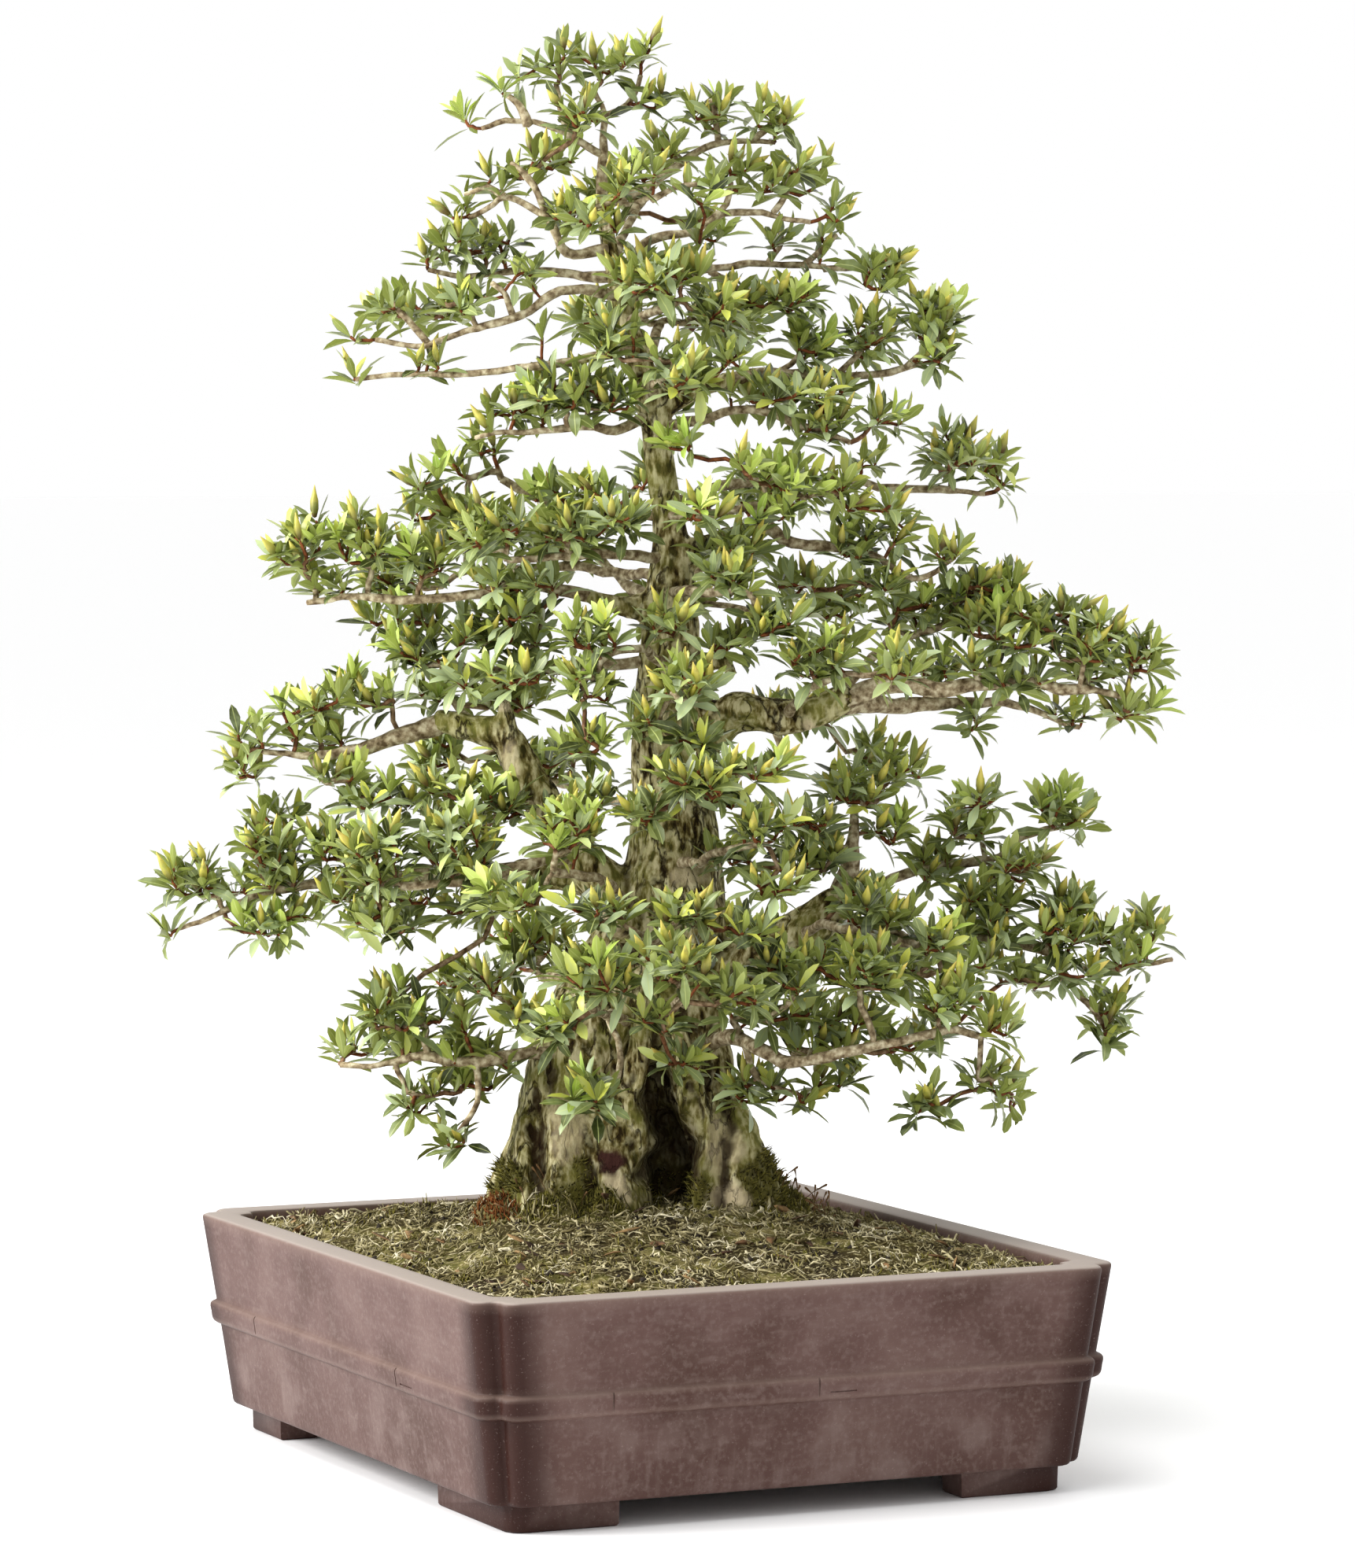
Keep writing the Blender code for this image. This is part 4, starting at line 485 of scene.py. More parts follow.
def placed(rows: Array) -> Array:
    """Turns rows of steps across, steps down and mm of depth into places.

    The distance along the sight is the trunk's plus the depth, and one step is that
    distance over STEPS_PER_SLOPE, measured from the level row and the centre column.

    Args:
        rows: an array of shape (n, 3).

    Returns:
        An array of shape (n, 3) in metres, round the pot's centre.
    """
    rows = np.asarray(rows, dtype=float)
    right, along = sight_axes()
    distance = TRUNK_DISTANCE + rows[:, 2] * MM
    scale = distance / STEPS_PER_SLOPE
    rise = (LEVEL_ROW - rows[:, 1]) * scale
    sideways = (rows[:, 0] - CENTRE_COLUMN) * scale
    places = EYE + along * distance[:, None] + right * sideways[:, None]
    places[:, 2] += rise
    return places


def seen_at(points: Array) -> Array:
    """Turns places into steps across, steps down and mm of depth, the reverse of placed."""
    right, along = sight_axes()
    offset = points - EYE
    distance = offset @ along
    scale = distance / STEPS_PER_SLOPE
    across = CENTRE_COLUMN + (offset @ right) / scale
    down = LEVEL_ROW - offset[:, 2] / scale
    return np.stack((across, down, (distance - TRUNK_DISTANCE) / MM), axis=1)


def unit(vectors: Array) -> Array:
    """Scales vectors on the last axis to length one."""
    return vectors / np.maximum(np.linalg.norm(vectors, axis=-1, keepdims=True), 1e-12)


def smoothstep(value: Array, low: float, high: float) -> Array:
    """Rises smoothly from zero at low to one at high."""
    share = np.clip((value - low) / (high - low), 0, 1)
    return share * share * (3 - 2 * share)


def lattice(cells: Array, seed: int) -> Array:
    """Returns a repeatable value from zero to one for each whole-numbered cell."""
    mixed = cells[..., 0] * 374761393 + cells[..., 1] * 668265263 + cells[..., 2] * 2147483647
    mixed = (mixed + seed * 144665) & 0x7FFFFFFF
    mixed = ((mixed ^ (mixed >> 13)) * 1274126177) & 0x7FFFFFFF
    return ((mixed ^ (mixed >> 16)) & 0xFFFF) / 65535.0


def noise(points: Array, size: float, seed: int = 0) -> Array:
    """Smooth value noise from minus one to one.

    The eight lattice values round each point are blended by a smooth cubic share
    along each axis.

    Args:
        points: an array of shape (..., 3).
        size: the lattice's cell size, in the points' units.
        seed: which field of noise.

    Returns:
        One value for each point.
    """
    scaled = np.asarray(points) / size
    cell = np.floor(scaled).astype(np.int64)
    share = scaled - cell
    share = share * share * (3 - 2 * share)
    total = np.zeros(scaled.shape[:-1])
    for corner in range(8):
        step = np.array((corner & 1, (corner >> 1) & 1, (corner >> 2) & 1))
        weight = np.prod(np.where(step, share, 1 - share), axis=-1)
        total += weight * lattice(cell + step, seed)
    return total * 2 - 1


def smooth_path(knots: Array, spacing: float) -> Array:
    """Carries a smooth curve through knots, with a point about every spacing.

    Between two knots each value is the Catmull-Rom cubic of the four knots round them.

    Args:
        knots: an array of shape (n, k), its first three columns a place.
        spacing: the distance between points, in metres.

    Returns:
        An array of shape (m, k).
    """
    knots = np.asarray(knots, dtype=float)
    padded = np.vstack((2 * knots[0] - knots[1], knots, 2 * knots[-1] - knots[-2]))
    pieces = []
    for start in range(len(knots) - 1):
        a, b, c, d = padded[start:start + 4]
        count = max(2, int(round(np.linalg.norm((c - b)[:3]) / spacing)))
        t = np.linspace(0, 1, count, endpoint=False)[:, None]
        cubic = 2 * b + (c - a) * t + (2 * a - 5 * b + 4 * c - d) * t ** 2
        pieces.append(0.5 * (cubic + (3 * b - a - 3 * c + d) * t ** 3))
    pieces.append(knots[-1:])
    return np.vstack(pieces)


def path_frames(path: Array) -> tuple[Array, Array, Array]:
    """Returns the way, side and upper unit vectors at each point of a path, without twist."""
    way = unit(np.gradient(path, axis=0))
    side = np.zeros_like(path)
    start = np.array((0.0, 0.0, 1.0)) if abs(way[0, 2]) < 0.9 else np.array((1.0, 0.0, 0.0))
    side[0] = unit(np.cross(way[0], start))
    for index in range(1, len(path)):
        side[index] = unit(side[index - 1] - way[index] * (side[index - 1] @ way[index]))
    return way, side, np.cross(way, side)


def grid_quads(rows: int, columns: int) -> Array:
    """Returns the faces of a grid that is closed round its columns."""
    row, column = np.meshgrid(np.arange(rows - 1), np.arange(columns), indexing="ij")
    beside = (column + 1) % columns
    first = row * columns + column
    second = row * columns + beside
    return np.stack((first, second, second + columns, first + columns), axis=-1).reshape(-1, 4)


def end_fans(rows: int, sides: int) -> Array:
    """Returns the triangles that close a tube's first and last ring to two end points."""
    first = np.arange(sides)
    beside = (first + 1) % sides
    last = (rows - 1) * sides
    foot = np.stack((beside, first, np.full(sides, rows * sides)), axis=1)
    top = np.stack((first + last, beside + last, np.full(sides, rows * sides + 1)), axis=1)
    return np.vstack((foot, top))


def spokes(side: Array, upper: Array, count: int) -> Array:
    """Returns ways round a ring: the side by the cosine plus the upper by the sine of a turn."""
    turn = np.arange(count) * 2 * math.pi / count
    return side[..., None, :] * np.cos(turn)[:, None] + upper[..., None, :] * np.sin(turn)[:, None]


def crossed(ways: Array, aim: Array) -> tuple[Array, Array]:
    """Returns two ways square to each way, the first one level unless the aim is steep."""
    guide = np.where(np.abs(aim[..., 2:]) > 0.7, (1.0, 0.0, 0.0), (0.0, 0.0, 1.0))
    side = unit(np.cross(ways, guide))
    return side, np.cross(ways, side)


def raised(plan: Array, height: Array | float) -> Array:
    """Returns plan spots with their heights as a third column."""
    return np.column_stack((plan, np.broadcast_to(height, len(plan))))


@dataclass
class Skin:
    """Points and faces gathered as arrays before they become one mesh."""

    points: list[Array] = field(default_factory=list)
    faces: list[Array] = field(default_factory=list)
    slots: list[Array] = field(default_factory=list)
    tints: list[Array] = field(default_factory=list)
    count: int = 0

    def add(self, points: Array, faces: list[Array], slot: int = 0,
            tint: float | Array = 0.5) -> None:
        """Adds closed shells.

        Args:
            points: an array of shape (n, 3).
            faces: arrays of point numbers, one row for each face.
            slot: the material slot of the faces.
            tint: one value, or one for each point, that a finish may read.
        """
        self.points.append(points)
        self.tints.append(np.broadcast_to(np.asarray(tint, dtype=float), (len(points),)))
        for rows in faces:
            self.faces.append(rows + self.count)
            self.slots.append(np.full(len(rows), slot))
        self.count += len(points)

    def add_rings(self, rings: list[Array], tint: float | Array = 0.5, flip: bool = False) -> None:
        """Adds a shell of equal rings, capped flat at both ends, or turned over by the flip."""
        columns = len(rings[0])
        first = np.arange(columns)
        last = (len(rings) - 1) * columns + first
        faces = [grid_quads(len(rings), columns), first[::-1][None], last[None]]
        self.add(np.vstack(rings), [rows[:, ::-1] if flip else rows for rows in faces], 0, tint)

    def add_tube(self, path: Array, radii: Array, sides: int, slot: int = 0,
                 tint: float | Array = 0.5) -> None:
        """Adds a round tube along a path, closed by a shallow cone at each end.

        Args:
            path: an array of shape (n, 3).
            radii: n radii, or an array of shape (n, sides) for a fluted tube.
            sides: points round the tube.
            slot: the material slot of the faces.
            tint: one value, or one for each path point.
        """
        way, side, upper = path_frames(path)
        reach = np.asarray(radii, dtype=float)
        if reach.ndim == 1:
            reach = reach[:, None]
        wall = path[:, None] + spokes(side, upper, sides) * reach[..., None]
        bulge = reach.mean(axis=1) * 0.4
        ends = (path[0] - way[0] * bulge[0], path[-1] + way[-1] * bulge[-1])
        shades = np.broadcast_to(np.asarray(tint, dtype=float), (len(path),))
        shades = np.concatenate((np.repeat(shades, sides), shades[[0, -1]]))
        faces = [grid_quads(len(path), sides), end_fans(len(path), sides)]
        self.add(np.vstack((wall.reshape(-1, 3), *ends)), faces, slot, shades)

    def make(self, name: str, materials: list[bpy.types.Material]) -> Thing:
        """Makes the smooth object, with its place in its mesh and its tints as an attribute.

        Args:
            name: the object's name.
            materials: one for each slot.

        Returns:
            The new object.
        """
        mesh = bpy.data.meshes.new(name)
        rows = [row for block in self.faces for row in block.tolist()]
        mesh.from_pydata(np.vstack(self.points) + ROW_SHIFT, [], rows)
        mesh.polygons.foreach_set("material_index", np.concatenate(self.slots).astype(np.int32))
        mesh.shade_smooth()
        set_values(mesh, tint=np.concatenate(self.tints))
        for finish in materials:
            mesh.materials.append(finish)
        return shown(name, mesh)


def feed(tree: Tree, socket: Socket, value: object) -> None:
    """Links another node's output into a socket, or sets the socket to a plain value."""
    if isinstance(value, Socket):
        tree.links.new(value, socket)
    else:
        socket.default_value = value


def add_node(tree: Tree, kind: str, values: dict | None = None,
             stops: Stops = (), **settings: object) -> bpy.types.Node:
    """Adds a node with its settings, and sets or links its inputs.

    Args:
        tree: the material's node tree.
        kind: the node's type name without its ShaderNode prefix.
        values: input name or number to a plain value or another node's output.
        stops: the places and hex colours of a colour ramp.
        settings: the node's own properties.

    Returns:
        The new node.
    """
    node = tree.nodes.new("ShaderNode" + kind)
    for key, value in settings.items():
        setattr(node, key, value)
    for key, value in (values or {}).items():
        feed(tree, node.inputs[key], value)
    if stops:
        marks = node.color_ramp.elements
        while len(marks) < len(stops):
            marks.new(0.5)
        for mark, (place, colour) in zip(marks, stops):
            mark.position = place
            mark.color = linear(colour)
    return node


@dataclass(frozen=True)
class Grain:
    """Noise on a piece's own coordinates: its size in mm, its detail and its squeeze upright."""

    size_mm: float
    detail: float = 4.0
    upright: float = 1.0

    def lay(self, tree: Tree) -> Socket:
        """Returns the noise's output, which each material holds only once."""
        name = f"grain_{self.size_mm}_{self.detail}_{self.upright}"
        if name not in tree.nodes:
            where = add_node(tree, "TexCoord").outputs["Object"]
            values = {"Vector": where, "Scale": (1.0, 1.0, self.upright)}
            where = add_node(tree, "Mapping", values).outputs[0]
            values = {"Vector": where, "Scale": 1 / (self.size_mm * MM), "Detail": self.detail}
            add_node(tree, "TexNoise", values, name=name)
        return tree.nodes[name].outputs["Fac"]


@dataclass(frozen=True)
class Coat:
    """A colour laid over a share of a surface.

    The share is the strength, times a point value of the mesh where one is named, times
    a smooth rise from zero where the grain is at low to one where it is at high.  A low
    above the high lays the coat where the grain is weak.
    """

    colour: str
    strength: float = 1.0
    over: str = ""
    grain: Grain | None = None
    low: float = 0.5
    high: float = 0.7

    def spread(self, tree: Tree, value: Socket,
               full: Socket | float) -> Socket:
        """Returns a value's smooth rise from zero at low to full at high."""
        ends = (0.0, full) if self.low < self.high else (full, 0.0)
        values = {"Value": value, "From Min": min(self.low, self.high),
                  "From Max": max(self.low, self.high), "To Min": ends[0], "To Max": ends[1]}
        return add_node(tree, "MapRange", values, interpolation_type="SMOOTHSTEP").outputs[0]

    def share(self, tree: Tree) -> Socket | float:
        """Returns the share of the surface that the coat covers."""
        share = self.strength
        if self.over:
            value = add_node(tree, "Attribute", attribute_name=self.over).outputs["Fac"]
            share = add_node(tree, "Math", {0: value, 1: share}, operation="MULTIPLY").outputs[0]
        return self.spread(tree, self.grain.lay(tree), share) if self.grain else share

    def lay(self, tree: Tree, body: object) -> Socket:
        """Returns the body's colour with the coat over it."""
        values = {"Factor": self.share(tree), 6: body, 7: linear(self.colour)}
        return add_node(tree, "Mix", values, data_type="RGBA").outputs[2]


@dataclass(frozen=True)
class Cracks(Coat):
    """Thin lines along which the grain crosses its middle, broken by a coarser grain."""

    broken: Coat = Coat("", grain=Grain(26, 3.0, 0.4), low=0.44, high=0.54)

    def share(self, tree: Tree) -> Socket:
        """Returns the strength along the cracks, where the grain is nearest to a half."""
        away = self.grain.lay(tree)
        away = add_node(tree, "Math", {0: away, 1: 0.5}, operation="SUBTRACT").outputs[0]
        away = add_node(tree, "Math", {0: away}, operation="ABSOLUTE").outputs[0]
        parts = self.broken.spread(tree, self.broken.grain.lay(tree), self.strength)
        return self.spread(tree, away, parts)


@dataclass(frozen=True)
class Finish:
    """A surface finish: a run of colours over a grain or the mesh's tints, coats and relief."""

    name: str
    roughness: float
    specular: float = 0.5
    colour: str = "#ffffff"
    stops: Stops = ()
    grain: Grain | None = None
    coats: tuple[Coat, ...] = ()
    relief: Grain | None = None
    relief_mm: float = 0.0
    relief_strength: float = 0.9

    def layers(self) -> tuple[Coat, ...]:
        """Returns the coats, from the lowest up."""
        return self.coats

    def ground(self, tree: Tree) -> object:
        """Returns the colour under the coats."""
        if not self.stops:
            return linear(self.colour)
        tint = add_node(tree, "Attribute", attribute_name="tint").outputs["Fac"]
        share = self.grain.lay(tree) if self.grain else tint
        return add_node(tree, "ValToRGB", {"Fac": share}, self.stops).outputs["Color"]

    def height(self, tree: Tree) -> Socket:
        """Returns the height of the relief."""
        return self.relief.lay(tree)

    def make(self) -> bpy.types.Material:
        """Returns the material."""
        material = bpy.data.materials.new(self.name)
        material.use_nodes = True
        tree = material.node_tree
        shader = tree.nodes["Principled BSDF"]
        body = self.ground(tree)
        for coat in self.layers():
            body = coat.lay(tree, body)
        feed(tree, shader.inputs["Base Color"], body)
        feed(tree, shader.inputs["Roughness"], self.roughness)
        feed(tree, shader.inputs["Specular IOR Level"], self.specular)
        if self.relief_mm:
            values = {"Height": self.height(tree), "Distance": self.relief_mm * MM,
                      "Strength": self.relief_strength}
            feed(tree, shader.inputs["Normal"], add_node(tree, "Bump", values).outputs[0])
        return material


@dataclass(frozen=True)
class FiredStoneware(Finish):
    """Unglazed stoneware, pressed in a mould and wiped: dull, clouded purple-brown clay.

    The 16 mm wipe marks and the low runs are mineral bloom from years of watering, and
    the clay is rubbed pale on its ledges. The notched corners carry painted shade over a
    real dark stain, and the feet a painted shadow.
    """

    name: str = "unglazed_stoneware"
    roughness: float = 0.55
    specular: float = 0.18
    stops: Stops = ((0.34, "#452e27"), (0.5, "#563f3a"), (0.68, "#624c46"))
    grain: Grain = Grain(70, 5.0)
    coats: tuple[Coat, ...] = (
        Coat("#76655f", 0.3, grain=Grain(16, 6.0, 3.2), low=0.48, high=0.75),
        Coat("#452e27", 0.45, "low"),
        Coat("#76655f", 0.3, grain=Grain(3.2, 8.0), low=0.46, high=0.72),
        Coat("#76655f", 0.26, "low", Grain(5, 5.0, 0.18), 0.52, 0.72),
        Coat("#76655f", 0.35, "low", Grain(34, 7.0), 0.5, 0.66),
        # Painted shade in the notched corners over a real dark stain, and painted shadow on the feet
        Coat("#2a1008", 0.95, "corner"),
        Coat("#806d63", 0.45, "worn"),
        Coat("#9c9188", 0.85, "top"),
        Coat("#97867f", 0.22, grain=Grain(1.3, 3.0), low=0.62, high=0.74),
    )
    # Grit of the real 0.3 mm is too fine to show, so it is drawn at 1.3 mm
    relief: Grain = Grain(1.3, 3.0)
    relief_mm: float = 0.25
    relief_strength: float = 0.5


@dataclass(frozen=True)
class Bark(Finish):
    """Living azalea bark: dull grey-green streaks 4 mm wide under 7 mm lichen crusts."""

    name: str = "azalea_bark"
    roughness: float = 0.85
    specular: float = 0.1
    stops: Stops = ((0.38, "#2a1f0b"), (0.46, "#665930"), (0.54, "#a2976a"), (0.62, "#d4cba2"))
    grain: Grain = Grain(4, 8.0, 0.4)
    crust: Grain = Grain(7, 10.0)
    cracks: Cracks = Cracks("#2c200f", 0.9, grain=Grain(12, 5.0, 0.4), low=0.03, high=0.0)
    relief_mm: float = 1.8

    def layers(self) -> tuple[Coat, ...]:
        """Returns green algae, lichen, cracks, pale, mossy and bare places, then painted shade in
        folds.
        """
        return (
            Coat("#83843f", 0.6, grain=Grain(34, 6.0), low=0.42, high=0.66),
            Coat("#c3bc8e", 0.7, grain=self.crust, low=0.5, high=0.68),
            self.cracks,
            Coat("#cbbb98", over="pale"), Coat("#55511f", over="moss"),
            # The fold coat is painted shade in the bark's creases and in the hollow between the roots
            Coat("#432823", over="bare"), Coat("#2c1c12", over="fold"),
        )

    def height(self, tree: Tree) -> Socket:
        """Returns streaks plus crusts less the cracks."""
        deep = replace(self.cracks, strength=1.0).share(tree)
        values = {0: self.grain.lay(tree), 1: self.crust.lay(tree)}
        values = {0: add_node(tree, "Math", values, operation="ADD").outputs[0], 1: deep}
        return add_node(tree, "Math", values, operation="SUBTRACT").outputs[0]


@dataclass(frozen=True)
class Twig(Finish):
    """Azalea wood in flakes of 4 mm: dry grey-beige, and red-brown where the tint is young."""

    name: str = "azalea_twig"
    roughness: float = 0.75
    specular: float = 0.12
    stops: Stops = ((0.34, "#5a4a34"), (0.5, "#968668"), (0.66, "#c9bfa0"))
    young: Stops = ((0.35, "#40220f"), (0.6, "#7a4526"))
    grain: Grain = Grain(4, 6.0)
    relief: Grain = Grain(4, 6.0)
    relief_mm: float = 0.5
    relief_strength: float = 0.7

    def ground(self, tree: Tree) -> Socket:
        """Returns the old wood's colours turned to the young wood's as the tint grows."""
        young = Coat("", low=0.35, high=0.8)
        tint = add_node(tree, "Attribute", attribute_name="tint").outputs["Fac"]
        share = {"Fac": self.grain.lay(tree)}
        values = {"Factor": young.spread(tree, tint, 1.0), 6: super().ground(tree),
                  7: add_node(tree, "ValToRGB", share, self.young).outputs["Color"]}
        return add_node(tree, "Mix", values, data_type="RGBA").outputs[2]


@dataclass(frozen=True)
class Leaf(Finish):
    """A leathery evergreen leaf: glossy, with painted pale sheen above, a plain underside and a rib.
    """

    name: str = "azalea_leaf"
    roughness: float = 0.36
    specular: float = 0.36
    # The stop at 0.72 is a painted sheen of pale grey-green; the other greens are the leaves' own
    stops: Stops = ((0.0, "#303713"), (0.4, "#6b7639"), (0.72, "#a7b688"), (0.84, "#b6bb4c"))
    under: str = "#8b9648"
    rib: str = "#b3bb74"

    def ground(self, tree: Tree) -> Socket:
        """Returns the underside's green below, the tint's green with painted sheen above, and its
        midrib.

        The blade's UV map runs across from zero to one, and its second value is above a
        half on the upper side.
        """
        flat = add_node(tree, "UVMap", uv_map="blade").outputs[0]
        split = add_node(tree, "SeparateXYZ", {0: flat}).outputs
        above = add_node(tree, "Math", {0: split[1], 1: 0.5}, operation="GREATER_THAN").outputs[0]
        # Pale grey-green patches on the upper side are painted sheen
        painted_sheen = Coat(self.stops[2][1], 0.26, grain=Grain(9, 2.0), low=0.45, high=0.65)
        values = {"Factor": above, 6: linear(self.under), 7: painted_sheen.lay(tree, super().ground(tree))}
        body = add_node(tree, "Mix", values, data_type="RGBA").outputs[2]
        centre = add_node(tree, "Math", {0: split[0], 1: 0.5}, operation="SUBTRACT").outputs[0]
        centre = add_node(tree, "Math", {0: centre}, operation="ABSOLUTE").outputs[0]
        ribbed = Coat(self.rib, low=0.07, high=0.02).spread(tree, centre, 0.55)
        values = {"Factor": ribbed, 6: body, 7: linear(self.rib)}
        return add_node(tree, "Mix", values, data_type="RGBA").outputs[2]


@dataclass(frozen=True)
class NewLeaf(Leaf):
    """This spring's leaves: thin, soft and bright yellow-green."""

    name: str = "azalea_new_leaf"
    roughness: float = 0.48
    stops: Stops = ((0.0, "#85a03a"), (0.4, "#a2b84c"), (0.72, "#bccb6c"), (0.84, "#c6d07c"))
    under: str = "#aebf5a"
    rib: str = "#cdd88a"


@dataclass(frozen=True)
class Bud(Finish):
    """A pointed flower bud in satin scales: brown at its foot, golden green, yellow at its tip."""

    name: str = "azalea_bud"
    roughness: float = 0.5
    stops: Stops = ((0.0, "#5a4322"), (0.2, "#85803a"), (0.6, "#b8b046"), (1.0, "#d0b95a"))
    coats: tuple[Coat, ...] = (Coat("#6d7a30", 0.5, grain=Grain(6, 3.0), low=0.5, high=0.65),)


@dataclass(frozen=True)
class Litter(Finish):
    """Dry plant matter, matt and mottled, whose tint picks its colour from a run of colours."""

    name: str = "sphagnum"
    roughness: float = 0.95
    specular: float = 0.15
    stops: Stops = ((0.0, "#574c2b"), (0.4, "#8f855c"), (0.75, "#bfb48c"), (1.0, "#e0d7b8"))
    relief: Grain = Grain(3.0)
    relief_mm: float = 0.6
    speckle: float = 0.0

    def layers(self) -> tuple[Coat, ...]:
        """Returns the dark hollows of the mottle and its pale specks."""
        return (Coat("#2e2717", 0.45, grain=self.relief, low=0.6, high=0.35),
                Coat("#a99e76", self.speckle, grain=self.relief, low=0.54, high=0.66))


@dataclass(frozen=True)
class ScreenPlastic(Finish):
    """Moulded black polyethylene mesh, dull with fine silt."""

    name: str = "screen_plastic"
    roughness: float = 0.6
    stops: Stops = ((0.4, "#17181a"), (0.7, "#37352f"))
    grain: Grain = Grain(5)


# Dark, dull, crumbly earth
POTTING_SOIL = Litter(
    "potting_soil", 0.95, 0.1, stops=((0.0, "#2c2118"), (1.0, "#5a4632")), relief=Grain(4.0))
# Damp peat under thin live moss, coarse and speckled with pale crumbs
MOSS_AND_PEAT = Litter(
    "moss_and_peat", 0.95, 0.1, relief=Grain(2.6), relief_mm=2.4, speckle=0.8,
    stops=((0.0, "#2f2614"), (0.4, "#4b4220"), (0.65, "#5f5c2a"), (1.0, "#857a4c")))
# Live moss, rusty where it dries out and golden green elsewhere
MOSS_SHOOTS = Litter(
    "moss_shoots", 0.9, 0.2,
    stops=((0.05, "#7e4322"), (0.28, "#8f5a2c"), (0.42, "#3b3717"), (0.7, "#69642a"),
           (1.0, "#9a9040")))
# Dead leaves and grit, dark brown to tan with a slight sheen
DEAD_LEAVES = Litter(
    "dry_leaf_litter", 0.8, 0.3, relief=Grain(4.0),
    stops=((0.0, "#231a12"), (0.3, "#4f3320"), (0.6, "#80603c"), (1.0, "#a98a5c")))


def shown(name: str, data: bpy.types.ID) -> Thing:
    """Makes an object of some data and shows it in the scene."""
    thing = bpy.data.objects.new(name, data)
    bpy.context.scene.collection.objects.link(thing)
    return thing


def mounted(piece: Thing, node: str = "") -> Thing:
    """Sets a piece on the root body, in place of a node where one is named."""
    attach(piece, "root")
    if node:
        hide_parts(node)
    return piece


def boolean(target: Thing, tools: list[Thing], operation: str) -> None:
    """Joins tools to a target or cuts them out of it, and removes the tools.

    Args:
        target: a closed object.
        tools: closed objects.
        operation: UNION or DIFFERENCE.
    """
    group = bpy.data.collections.new("tools")
    bpy.context.scene.collection.children.link(group)
    for tool in tools:
        bpy.context.scene.collection.objects.unlink(tool)
        group.objects.link(tool)
    change = target.modifiers.new("tools", "BOOLEAN")
    change.operation = operation
    change.solver = "MANIFOLD"
    change.operand_type = "COLLECTION"
    change.collection = group
    apply_modifiers(target)
    for tool in tools:
        bpy.data.objects.remove(tool)
    bpy.data.collections.remove(group)


def apply_modifiers(thing: Thing) -> None:
    """Turns an object's modifiers into its mesh."""
    context = bpy.context.evaluated_depsgraph_get()
    result = bpy.data.meshes.new_from_object(thing.evaluated_get(context))
    thing.modifiers.clear()
    old = thing.data
    thing.data = result
    bpy.data.meshes.remove(old)


def read(rows: bpy.types.bpy_prop_collection, name: str, width: int, kind: type = float) -> Array:
    """Returns a value of each of a mesh's points or edges, in rows of a width."""
    flat = np.empty(len(rows) * width, dtype=kind)
    rows.foreach_get(name, flat)
    return flat.reshape(-1, width)


def move_points(mesh: Mesh, points: Array) -> None:
    """Writes a mesh's points, given round the pot's centre."""
    mesh.vertices.foreach_set("co", (points + ROW_SHIFT).ravel())
    mesh.update()


def set_values(mesh: Mesh, **shares: Array) -> None:
    """Writes one value for each point into each named attribute."""
    for name, values in shares.items():
        shade = mesh.attributes.get(name) or mesh.attributes.new(name, "FLOAT", "POINT")
        shade.data.foreach_set("value", np.asarray(values, dtype=np.float32))


def settled(points: Array, edges: Array, rounds: int) -> Array:
    """Moves each point to the mean of its neighbours and itself, a number of times."""
    degree = np.bincount(edges.ravel(), minlength=len(points)).astype(float) + 1
    for _ in range(rounds):
        total = points.copy()
        for axis in range(3):
            for here, there in (edges.T, edges.T[::-1]):
                total[:, axis] += np.bincount(here, points[there, axis], len(points))
        points = total / degree[:, None]
    return points


